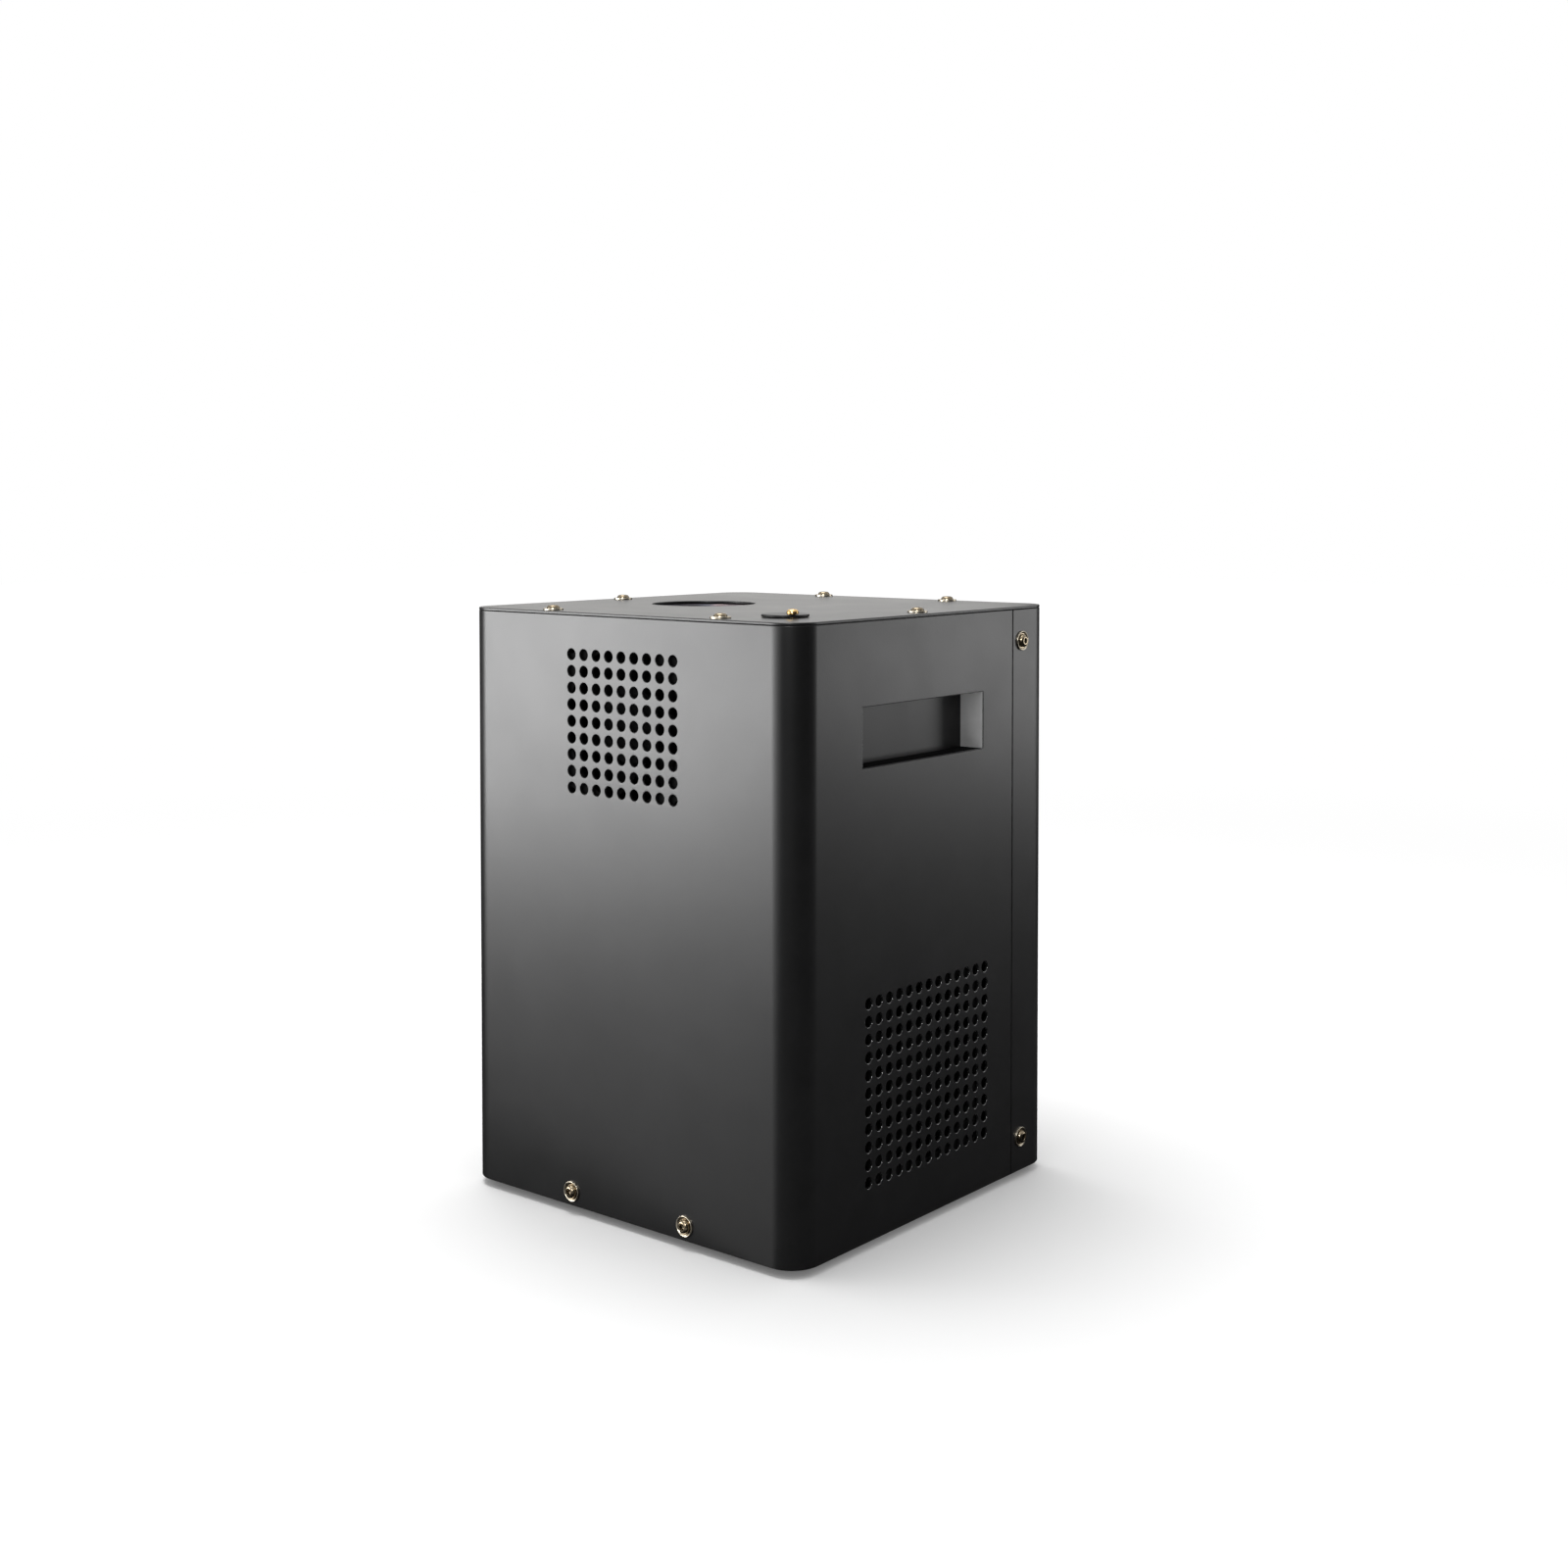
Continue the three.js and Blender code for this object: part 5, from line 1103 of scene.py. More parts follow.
@dataclass
class Case:
    """The folded case: front shell, rear cover and top plate.

    Attributes:
        low: Height of the walls' lower edge.
        seam: Place of the seam between shell and cover.
        tab_start: Distance of a tab's outer edge from the wall's outer face.
        tab_end: Distance of a tab's ends from the case's corners.
        tab_width: Distance of a tab's inner edge from the wall's outer face.
        strip_low: Height of the lower ends of the strips behind the seams.
        strip_lap: How far a strip reaches behind the rear cover.
        strip_web: How far a strip starts in front of the seam.
        play: Room between sheets that lie on each other.
        outlet: Middle and radius of the spark outlet, as port and pivot have them too.
    """

    width: float = 220.0
    depth: float = 212.0
    height: float = 300.0
    sheet: float = 1.5
    radius: float = 15.0
    low: float = 4.0
    seam: float = 70.0
    gap: float = 0.5
    edge: float = 0.35
    tab_start: float = 0.7
    tab_end: float = 18.0
    tab_width: float = 16.5
    strip_low: float = 30.0
    strip_lap: float = 18.0
    strip_web: float = 7.0
    play: float = 0.3
    handle: Flat = (100.5, 29.0)
    handle_spot: Flat = (-7.3, 243.8)
    outlet: tuple[float, float, float] = (-36.7, -5.0, 27.5)
    port: tuple[float, float, float] = (71.98, -69.78, 6.5)
    pivot: tuple[float, float, float] = (82.7, -75.6, 1.8)
    screw_hole: float = 2.4

    def __post_init__(self) -> None:
        """Works out the levels that the pieces share."""
        self.half_x, self.half_y = self.width / 2, self.depth / 2
        self.under = self.height - self.sheet
        self.top_front = [(-54.406, -98.0), (57.508, -98.0)]
        self.top_side = [(-100.5, -0.742), (100.5, -0.742)]
        self.top_rear = [(-37.004, 98.0), (48.994, 98.0)]
        self.foot_screws = [(-34.606, 11.2), (41.492, 11.2)]
        self.flange_screws = [(78.5, 21.9), (78.5, 282.1)]

    def vents(self, columns: int, rows: int, pitch: Flat, radius: float, middle: Flat) -> list[list[Flat]]:
        """Makes the round holes of a vent grid on the flat sheet.

        Args:
            columns: Holes in each row.
            rows: Rows of holes.
            pitch: Distance between holes, across and upwards.
            radius: Radius of each hole.
            middle: Middle of the grid.

        Returns:
            The outline of every hole.
        """
        holes = []
        for row in range(rows):
            for column in range(columns):
                across = middle[0] + (column - (columns - 1) / 2) * pitch[0]
                up = middle[1] + (row - (rows - 1) / 2) * pitch[1]
                holes.append(circle(radius, (across, up)))
        return holes

    def front_shell(self) -> Shape:
        """Makes the sheet round the front and both sides, with its openings, tabs and strips.

        Returns:
            Its shape.
        """
        end = self.seam - self.gap / 2
        hx, hy = self.half_x, self.half_y
        wall = Wall([(-hx, end), (-hx, -hy), (hx, -hy), (hx, end)], self.radius, self.sheet)
        front, right = wall.reach(1, 0.5, -hy), wall.reach(2, hx, -3.5)
        holes = self.vents(9, 9, (8.5, 8.25), 2.75, (front, 246.2))
        first = len(holes) + 1
        holes += self.vents(13, 11, (8.1, 8.55), 2.7, (right, 75.0))
        lined = {number: Dress.LINING for number in range(first, len(holes) + 1)}
        along, up = self.handle_spot
        for run, x in ((0, -hx), (2, hx)):
            holes.append(rounded(*self.handle, 0.6, (wall.reach(run, x, along), up), 3))
        holes += [circle(self.screw_hole, (wall.reach(1, x, -hy), z)) for x, z in self.foot_screws]
        shape = wall.build(self.low, self.under, holes, self.edge, lined)
        outer, inner, corner = self.tab_start, self.tab_width, self.tab_end
        self.tab(shape, (corner - hx, outer - hy), (hx - corner, inner - hy), self.top_front)
        start, stop = corner - hy, self.seam - self.strip_web
        self.tab(shape, (outer - hx, start), (inner - hx, stop), self.top_side[:1])
        self.tab(shape, (hx - inner, start), (hx - outer, stop), self.top_side[1:])
        for turn in (-1, 1):
            self.strip(shape, turn)
        return shape

    def tab(self, shape: Shape, low: Flat, high: Flat, screws: list[Flat]) -> None:
        """Adds a tab along the top of a wall.

        Args:
            shape: The wall's shape.
            low: The tab's plan corner with the lower x and y.
            high: Its opposite corner.
            screws: Places of its screw holes.
        """
        middle = ((low[0] + high[0]) / 2, (low[1] + high[1]) / 2)
        outline = rounded(high[0] - low[0], high[1] - low[1], 3.0, middle)
        holes = [circle(self.screw_hole, spot) for spot in screws]
        place = Face.TOP.at((0.0, 0.0, 0.0))
        shape.plate(outline, holes, self.under - self.sheet, self.under, place, self.edge)

    def strip(self, shape: Shape, side: int) -> None:
        """Adds the strip behind the seam, which the rear cover screws to, and the web that holds it.

        Args:
            shape: The wall's shape.
            side: 1 for the right side and -1 for the left.
        """
        face = Face.RIGHT if side > 0 else Face.LEFT
        start, end = self.seam - self.strip_web, self.seam + self.strip_lap
        low, high = self.strip_low, self.under - self.sheet - self.play
        middle = (side * (start + end) / 2, (low + high) / 2)
        along, up = self.flange_screws[1]
        behind = face.at((side * (self.half_x - self.sheet - self.play), 0.0, 0.0))
        outline = rounded(end - start, high - low, 2.0, middle)
        holes = [circle(self.screw_hole, (side * along, up))]
        shape.slab(outline, holes, self.sheet, lambda x, y, d: behind(x, y, -d), 0.3)
        joined = face.at((side * (self.half_x - self.sheet + 0.2), 0.0, 0.0))
        web = rounded(6.5, high - low, 0.6, (side * (start + 3.4), middle[1]), 2)
        shape.slab(web, [], 1.0, lambda x, y, d: joined(x, y, -d), 0.1)

    def rear_cover(self) -> Shape:
        """Makes the sheet round the rear, with the openings for its controls and sockets.

        Returns:
            Its shape.
        """
        start = self.seam + self.gap / 2
        hx, hy = self.half_x, self.half_y
        wall = Wall([(hx, start), (hx, hy), (-hx, hy), (-hx, start)], self.radius, self.sheet)

        def rear(x: float) -> float:
            """Returns how far along the sheet a place on the rear face lies."""
            return wall.reach(1, x, hy)

        holes = [
            rounded(58.0, 22.0, 0.8, (rear(0.0), 259.0), 3),
            rounded(27.6, 40.6, 0.8, (rear(30.0), 62.0), 3),
            rounded(13.4, 19.4, 0.6, (rear(-32.0), 62.0), 3),
            rounded(8.2, 5.2, 0.5, (rear(-38.0), 161.2), 2),
        ]
        holes += [circle(12.0, (rear(x), 150.0), 48) for x in (-38.0, 38.0)]
        holes += [circle(4.8, (rear(x), 225.0), 32) for x in (-30.0, -10.0, 10.0, 30.0)]
        for run, x in ((0, hx), (2, -hx)):
            holes += [circle(self.screw_hole, (wall.reach(run, x, y), z)) for y, z in self.flange_screws]
        shape = wall.build(self.low, self.under, holes, self.edge)
        low = (self.tab_end - hx, hy - self.tab_width)
        self.tab(shape, low, (hx - self.tab_end, hy - self.tab_start), self.top_rear)
        return shape

    def top_plate(self) -> Shape:
        """Makes the top plate with its outlet, feed port and screw holes.

        Returns:
            Its shape.
        """
        screws = self.top_front + self.top_side + self.top_rear
        holes = [circle(self.screw_hole, spot) for spot in screws]
        holes.append(circle(self.outlet[2], self.outlet[:2], 128))
        holes.append(circle(self.port[2], self.port[:2], 48))
        holes.append(circle(self.pivot[2], self.pivot[:2]))
        outline = rounded(self.width, self.depth, self.radius, steps=20)
        return Shape().slab(outline, holes, self.sheet, lambda x, y, d: (x, y, self.height - d), 0.45)

    def build(self) -> None:
        """Makes the case's sheets."""
        put("front_shell", self.front_shell())
        put("rear_cover", self.rear_cover())
        put("top_plate", self.top_plate())


@dataclass
class CaseScrews:
    """The flanged button-head screws of the case.

    Attributes:
        groove: Height of the groove between flange rim and dome.
        twist: How far each screw is turned past the last one, in radians.
    """

    flange: float = 5.0
    thickness: float = 0.9
    dome: float = 3.4
    head: float = 2.5
    socket: float = 1.5
    deep: float = 1.6
    groove: float = 0.35
    shank: float = 2.0
    length: float = 7.0
    sides: int = 48
    twist: float = 0.7

    def profile(self) -> tuple[list[Flat], list[int], tuple[int, int]]:
        """Works out what the screws are turned from.

        Returns:
            The turned profile, the points of its hexagon socket, and the ends of its rim, which is painted pale
            as a highlight.
        """
        floor = self.head - self.deep
        stem = [(0.0, -self.length), (self.shank, -self.length), (self.shank, 0.0)]
        foot = filleted([*stem, (self.flange, 0.0)], 0.3)
        rim = [(self.flange, 0.0), (self.flange, self.thickness), (self.flange - 0.4, self.thickness)]
        rim = filleted([*rim, (self.flange - 0.95, self.groove), (self.dome, self.groove)], 0.2)
        top = quarter_round((self.dome, self.groove), (self.socket + 0.35, self.head), 9)
        well = [(self.socket + 0.1, self.head - 0.05), (self.socket, self.head - 0.25), (self.socket, floor)]
        well += [(self.socket * 0.5, floor - 0.3), (0.0, floor - 0.5)]
        profile = foot[:-1] + rim[:-1] + top + well
        start = len(profile) - len(well)
        ring = (len(foot) - 3, len(foot) + len(rim) - 6)
        return profile, [start, start + 1, start + 2], ring

    def build(self) -> None:
        """Makes each screw, with its socket turned its own way."""
        profile, hexed, ring = self.profile()
        case = Case()
        rows: list[tuple[str, Face, Spot]] = []
        for row, spots in (("front_", case.top_front), ("", case.top_side), ("rear_", case.top_rear)):
            for side, (x, y) in zip(("left", "right"), spots):
                rows.append((f"top_screw_{row}{side}", Face.TOP, (x, y, case.height)))
        for name, (x, z) in zip(("front_screw_left", "front_screw_right"), case.foot_screws):
            rows.append((name, Face.FRONT, (x, -case.half_y, z)))
        for side, face, sign in (("right", Face.RIGHT, 1), ("left", Face.LEFT, -1)):
            for level, (y, z) in zip(("low", "high"), case.flange_screws):
                rows.append((f"side_screw_{side}_{level}", face, (sign * case.half_x, y, z)))
        for number, (name, face, spot) in enumerate(rows):
            place = turned(face.at(spot), self.twist * number + 0.3)
            shape = Shape().lathe(profile, place, self.sides, hexed)
            # The flange rim takes the paler nickel: a painted highlight.
            shape.tint(self.sides * ring[0], self.sides * ring[1], Dress.NICKEL_RIM_HIGHLIGHT)
            put(name, shape, weighted=False)


@dataclass
class FeedCover:
    """The swinging disc over the feed port, and the brass screw that it swings on.

    Attributes:
        seat: Room under the disc and under the screw's head.
        offset: Distance of the disc's middle from the screw.
        direction: Direction of the disc's middle from the screw, in degrees.
        rim: Height of the head's straight rim.
    """

    radius: float = 11.4
    thickness: float = 1.2
    seat: float = 0.3
    offset: float = 9.2
    direction: float = 151.5
    head: float = 2.85
    rim: float = 0.9
    head_height: float = 2.4
    shank: float = 1.5
    length: float = 7.0
    socket: float = 1.1

    def build(self) -> None:
        """Makes the disc and its screw."""
        case = Case()
        px, py, _ = case.pivot
        turn = radians(self.direction)
        centre = (px + self.offset * cos(turn), py + self.offset * sin(turn))
        top = case.height + self.seat + self.thickness
        hole = circle(self.shank + 0.3, (px, py))
        outline = circle(self.radius, centre, 72)
        disc = Shape().slab(outline, [hole], self.thickness, lambda x, y, d: (x, y, top - d), 0.25)
        put("feed_cover", disc)
        stem = [(0.0, -self.length), (self.shank, -self.length), (self.shank, 0.0)]
        foot = filleted([*stem, (self.head, 0.0), (self.head, self.rim)], 0.2)
        dome = quarter_round((self.head, self.rim), (self.socket + 0.2, self.head_height), 6)
        well = [(self.socket, self.head_height - drop) for drop in (0.15, 1.1)]
        start = len(foot) + len(dome)
        profile = [*foot, *dome, *well, (0.0, self.head_height - 1.4)]
        place = Face.TOP.at((px, py, top + self.seat))
        shape = Shape().lathe(profile, place, 36, [start, start + 1])
        put("feed_cover_screw", shape, weighted=False)


@dataclass
class Feet:
    """Four moulded rubber feet with barbed stems."""

    radius: float = 11.0
    height: float = 3.7
    stem: float = 3.0
    barb: float = 4.2
    barb_low: float = 5.8
    barb_high: float = 8.8
    inset: Flat = (83.0, 79.0)

    def build(self) -> None:
        """Makes the four feet."""
        radius, stem = self.radius, self.stem
        sole = [(0.0, 0.6), (radius - 5.0, 0.6), (radius - 5.8, 0.0), (radius - 0.8, 0.0), (radius, 0.8)]
        shoulder = [(radius, self.height), (stem, self.height), (stem, self.barb_low)]
        barb = [(self.barb, self.barb_low), (stem / 2, self.barb_high), (0.0, self.barb_high)]
        profile = filleted([*sole, *shoulder, *barb], 0.35)
        for depth, sy in (("front", -1), ("rear", 1)):
            for side, sx in (("left", -1), ("right", 1)):
                spot = (sx * self.inset[0], sy * self.inset[1], 0.0)
                put(f"foot_{depth}_{side}", Shape().lathe(profile, Face.TOP.at(spot)), weighted=False)


@dataclass
class HandleCups:
    """The boxed-in recesses behind the handle openings, one in each side.

    Attributes:
        depth: Depth of a recess's floor under the case's outer face.
        flange: Width of the rim that is joined to the wall.
        back: Depth of that rim's face under the case's outer face.
        painted_light_sheet: Thickness of the plates on the ends, whose sides are painted pale as light on the
            end walls.
        lip: Depth of those plates' outer edge.
    """

    width: float = Case.handle[0]
    height: float = Case.handle[1]
    depth: float = 13.5
    sheet: float = 1.2
    flange: float = 7.0
    back: float = 1.8
    middle: Flat = Case.handle_spot
    painted_light_sheet: float = 0.6
    lip: float = 0.25

    def build(self) -> None:
        """Makes both cups; their floor has a darker, duller coat as painted shade, their long walls are
        near-black as painted shade, and their ends are painted pale as painted light.
        """
        hx, hy, sheet = self.width / 2, self.height / 2, self.sheet
        out = self.flange + sheet
        for side, face, sign in (("right", Face.RIGHT, 1), ("left", Face.LEFT, -1)):
            place = face.at((sign * Case().half_x, *self.middle))
            rim = rounded(self.width + 2 * out, self.height + 2 * out, 3.0)
            opening = rounded(self.width, self.height, 0.3)
            folded = Shape().plate(rim, [opening], -self.back - sheet, -self.back, place, 0.25)
            base = rounded(self.width + 2 * sheet, self.height + 2 * sheet, 0.4)
            floor = Shape().plate(base, [], -self.depth - sheet, -self.depth, place, 0.2)
            low, high = -self.depth - 0.5, -self.back - 0.4
            shade = Shape()
            for turn in (-1, 1):
                long = rounded(self.width + 2 * sheet, sheet, 0.3, (0.0, turn * (hy + sheet / 2)))
                shade.plate(long, [], low, high, place, 0.1)
                short = rounded(sheet, self.height + 0.4, 0.2, (turn * (hx + sheet / 2), 0.0))
                folded.plate(short, [], low, high, place, 0.1)
                painted_light_sheet = rounded(self.painted_light_sheet, self.height - 0.3, 0.15, (turn * (hx - self.painted_light_sheet / 2), 0.0))
                # The plates' sides are painted pale: painted light on the recess's end walls.
                folded.plate(painted_light_sheet, [], -self.depth - 0.2, -self.lip, place, 0.05, {0: Dress.PAINTED_LIGHT_END})
            # The floor's darker coat and the long walls' near-black finish are painted shade in the recess.
            put(f"handle_cup_{side}", folded, Part(floor, Dress.CUP), Part(shade, Dress.FAN_PLASTIC_AND_SHADE))


@dataclass
class RearPanel:
    """What sits in the rear cover: controls, display, mains inlet, power rocker and the two signal sockets.

    Attributes:
        face: Place of the cover's outer face along y.
        window_rise: Height of the window's middle above the panel's.
        button_drop: Height of the buttons above the panel's middle.
        socket: Width, height and rise of the inlet's keyed socket.
        drawer_drop: Height of the fuse drawer above the inlet's middle.
        tilt: Tilt of the rocker key at rest, in degrees.
        socket_x: Distance of the signal sockets from the middle.
        latch_rise: Height of the release latch above its socket's middle.
    """

    face: float = 106.0
    control: float = 245.0
    signal: float = 150.0
    power: float = 62.0
    window: Flat = (58.0, 22.0)
    window_rise: float = 14.0
    button_drop: float = -20.0
    button_radius: float = 4.5
    buttons: tuple[float, ...] = (-30.0, -10.0, 10.0, 30.0)
    inlet_x: float = 30.0
    socket: tuple[float, float, float] = (24.0, 16.0, 9.0)
    drawer_drop: float = -12.0
    rocker_x: float = -32.0
    tilt: float = 9.0
    socket_x: float = 38.0
    body_radius: float = 11.7
    cavity_radius: float = 7.8
    contacts: tuple[Flat, ...] = ((0.0, -3.6), (-3.6, 0.0), (3.6, 0.0))
    latch_rise: float = 11.2

    def at(self, x: float, z: float, out: float = 0.0) -> Placing:
        """Returns the placing of a piece on the rear face."""
        return Face.REAR.at((x, self.face + out, z))

    def bezel(self) -> Shape:
        """Makes the moulded control panel: a plate with a raised border, window frame and button rings.

        Returns:
            Its shape.
        """
        place = self.at(0.0, self.control)
        panel = rounded(104.0, 76.0, 4.0)
        window = rounded(*self.window, 0.8, (0.0, self.window_rise), 3)
        centres = [(x, self.button_drop) for x in self.buttons]
        holes = [circle(self.button_radius + 0.3, centre, 48) for centre in centres]
        shape = Shape().plate(panel, [window, *holes], 0.0, 1.5, place, 0.35)
        shape.plate(panel, [rounded(100.4, 72.4, 2.6)], 1.2, 2.0, place, 0.3)
        shape.plate(rounded(62.0, 26.0, 2.0, (0.0, self.window_rise)), [window], 1.2, 2.0, place, 0.3)
        for centre, hole in zip(centres, holes):
            shape.plate(circle(self.button_radius + 1.9, centre, 48), [hole], 1.2, 2.0, place, 0.3)
        return shape

    def display(self) -> list[Part]:
        """Makes the display: board, posts, framed glass and the switches behind the buttons.

        Returns:
            Its parts.
        """
        place = self.at(0.0, self.control)
        board = Shape().plate(rounded(96.0, 66.0, 1.5), [], -10.0, -8.4, place, 0.2)
        posts, surround, glass, switches = Shape(), Shape(), Shape(), Shape()
        for x in (-43.0, 43.0):
            for y in (-28.0, 28.0):
                posts.plate(circle(3.0, (x, y), 6), [], -8.6, -1.8, place, 0.25)
        middle = (0.0, self.window_rise)
        view = rounded(52.4, 16.4, 0.6, middle)
        surround.plate(rounded(57.4, 21.4, 0.7, middle), [view], -8.6, 1.0, place, 0.35)
        glass.plate(rounded(52.8, 16.8, 0.6, middle), [], -8.5, 0.45, place, 0.2)
        for x in self.buttons:
            switches.plate(rounded(6.2, 6.2, 0.6, (x, self.button_drop)), [], -8.6, -7.5, place, 0.2)
        switches.plate(rounded(30.0, 2.6, 0.3, (0.0, 29.0)), [], -8.6, -5.9, place, 0.2)
        parts = [Part(board, Dress.BOARD), Part(posts, Dress.BRASS), Part(surround, Dress.PLASTIC)]
        return [*parts, Part(glass), Part(switches, Dress.PLASTIC)]

    def button(self, x: float) -> Shape:
        """Makes a turned button with a dished top, its collar and its tail.

        Args:
            x: Its place across the panel.

        Returns:
            Its shape.
        """
        radius = self.button_radius
        tail = [(0.0, -5.8), (2.0, -5.8), (2.0, -2.8), (6.0, -2.8), (6.0, -1.8), (radius, -1.8)]
        dish = [(3.4, 4.2), (2.9, 4.05), (1.6, 3.78), (0.0, 3.7)]
        profile = filleted([*tail, (radius, 4.2), dish[0]], 0.55) + dish[1:]
        return Shape().lathe(profile, self.at(x, self.control + self.button_drop))

    def inlet(self) -> list[Part]:
        """Makes the mains inlet: flange, body with its keyed socket, and three blades.

        Returns:
            Its parts.
        """
        place = self.at(self.inlet_x, self.power)
        width, height, rise = self.socket
        hx, low, high, cut = width / 2, rise - height / 2, rise + height / 2, 4.6
        key = [(-hx, low), (hx, low), (hx, high - cut), (hx - cut, high), (cut - hx, high), (-hx, high - cut)]
        key = filleted(key, 1.0, closed=True)
        drawer = rounded(24.0, 8.0, 0.5, (0.0, self.drawer_drop), 2)
        body = Shape().plate(rounded(31.0, 46.0, 3.0), [key, drawer], 0.0, 2.5, place, 0.5)
        body.plate(rounded(27.0, 40.0, 1.2), [key, drawer], -23.0, 0.2, place, 0.15)
        body.plate(rounded(27.0, 40.0, 1.2), [], -24.0, -22.6, place, 0.3)
        body.plate(rounded(25.0, 17.0, 0.5, (0.0, rise)), [], -22.8, -13.5, place, 0.1)
        body.plate(rounded(24.6, 8.6, 0.5, (0.0, self.drawer_drop)), [], -22.8, -17.5, place, 0.1)
        blades = Shape()
        for x, y in ((0.0, 2.0), (-7.0, -2.0), (7.0, -2.0)):
            blades.plate(rounded(2.0, 4.0, 0.4, (x, rise + y)), [], -13.8, -2.5, place, 0.35)
        return [Part(body), Part(blades, Dress.SILVER)]

    def drawer(self) -> list[Part]:
        """Makes the fuse drawer: notched front, tray and the two fuses in it.

        Returns:
            Its parts.
        """
        place = self.at(self.inlet_x, self.power + self.drawer_drop)
        front = [(-11.7, -3.7), (11.7, -3.7), (11.7, 3.7), (3.0, 3.7)]
        front += [(3.0, 1.85), (-3.0, 1.85), (-3.0, 3.7), (-11.7, 3.7)]
        body = Shape().plate(filleted(front, 0.5, closed=True), [], 0.8, 3.3, place, 0.3)
        body.plate(rounded(23.4, 7.4, 0.5), [], -0.4, 1.0, place, 0.15)
        for x in (-11.1, 11.1):
            body.plate(rounded(1.2, 7.4, 0.3, (x, 0.0)), [], -16.5, 0.0, place, 0.15)
        body.plate(rounded(23.4, 1.0, 0.3, (0.0, -3.2)), [], -16.5, 0.0, place, 0.15)
        body.plate(rounded(23.0, 6.6, 0.3), [], -16.5, -15.4, place, 0.15)
        caps, tubes = Shape(), Shape()
        for depth in (-12.0, -5.0):
            along = Face.RIGHT.at((self.inlet_x, self.face + depth, self.power + self.drawer_drop + 0.1))
            tubes.lathe([(0.0, -6.0), (2.4, -6.0), (2.4, 6.0), (0.0, 6.0)], along, 24)
            for sign in (-1, 1):
                near, far = sign * 5.0, sign * 10.0
                caps.lathe(filleted([(0.0, far), (2.6, far), (2.6, near), (0.0, near)], 0.4), along, 24)
        return [Part(body), Part(caps, Dress.SILVER), Part(tubes, Dress.NYLON)]

    def rocker_frame(self) -> Shape:
        """Makes the rocker's frame: flange, pocket and the saddle that the key turns on.

        Returns:
            Its shape.
        """
        place = self.at(self.rocker_x, self.power)
        pocket = rounded(10.4, 16.4, 0.5)
        shape = Shape().plate(rounded(15.0, 21.0, 1.5), [pocket], 0.0, 2.0, place, 0.5)
        shape.plate(rounded(12.8, 18.8, 0.8), [pocket], -14.0, 0.2, place, 0.15)
        shape.plate(rounded(12.8, 18.8, 0.8), [], -15.0, -9.0, place, 0.3)
        shape.plate(rounded(10.8, 6.0, 0.4), [], -9.4, -5.5, place, 0.2)
        return shape

    def rocker(self) -> Shape:
        """Makes the rocker key, tilted to its off side.

        Returns:
            Its shape.
        """
        turns = [pi * (7 / 6 + 2 / 3 * step / 10) for step in range(11)]
        keel = [(3.0 * cos(a), 3.0 * sin(a)) for a in turns]
        half = 7.2
        shares = [1 - step / 8 for step in range(17)]
        top = [(half * share, 2.8 + 1.4 * abs(share) ** 1.6) for share in shares]
        outline = filleted([(-half, 0.0), *keel, (half, 0.0), *top], 0.5, closed=True)
        turn = radians(self.tilt)
        place = self.at(self.rocker_x, self.power, -2.2)

        def tilted(up: float, out: float, across: float) -> Spot:
            """Returns where a point of the key's side view lands once it is tilted."""
            rise = up * cos(turn) - out * sin(turn)
            return place(across - 4.9, rise, up * sin(turn) + out * cos(turn))

        return Shape().slab(outline, [], 9.8, tilted, 0.2)

    def plate_with_screws(self, place: Placing, hole: list[Flat], low: float = 0.0) -> tuple[Shape, Shape]:
        """Makes the flange of a signal socket, with a sunk screw in two of its corners.

        Args:
            place: Takes the socket to its place.
            hole: Outline of the opening in the flange.
            low: Height of the flange's back.

        Returns:
            The flange and the two screws.
        """
        corners = [(-9.9, 12.4), (9.9, -12.4)]
        holes = [hole] + [circle(1.9, corner) for corner in corners]
        flange = Shape().plate(rounded(26.0, 31.0, 3.0), holes, low, 2.2, place, 0.4)
        screws = Shape()
        for x, y in corners:
            head = filleted([(1.75, 0.2), (1.75, 1.5), (0.85, 2.05)], 0.3)
            profile = [(0.0, 0.2), *head, (0.75, 1.9), (0.75, 1.0), (0.0, 0.9)]
            screws.lathe(profile, shifted(place, x, y), 24, [len(profile) - 3, len(profile) - 2])
        return flange, screws

    def signal_in(self) -> list[Part]:
        """Makes the signal input: flange, barrel with its key, and three pins.

        Returns:
            Its parts.
        """
        place = self.at(self.socket_x, self.signal)
        flange, screws = self.plate_with_screws(place, circle(self.cavity_radius + 0.4, sides=64))
        outer, inner = self.body_radius, self.cavity_radius
        lip = inner + 0.8
        barrel = [(0.0, -21.0), (outer, -21.0), (outer, 0.2), (lip, 0.2), (lip, 1.7), (inner, 1.7)]
        flange.lathe(filleted([*barrel, (inner, -12.8), (0.0, -12.8)], 0.25), place, 64)
        flange.plate(rounded(2.4, 1.4, 0.3, (0.0, 1.0 - inner)), [], -12.9, 1.2, place, 0.2)
        pins = Shape()
        for x, y in self.contacts:
            pin = filleted([(0.0, -13.2), (1.2, -13.2), (1.2, -2.8), (0.0, -2.8)], 0.9, 4)
            pins.lathe(pin, shifted(place, x, y), 24)
        return [Part(flange), Part(pins, Dress.SILVER), Part(screws, Dress.SILVER)]

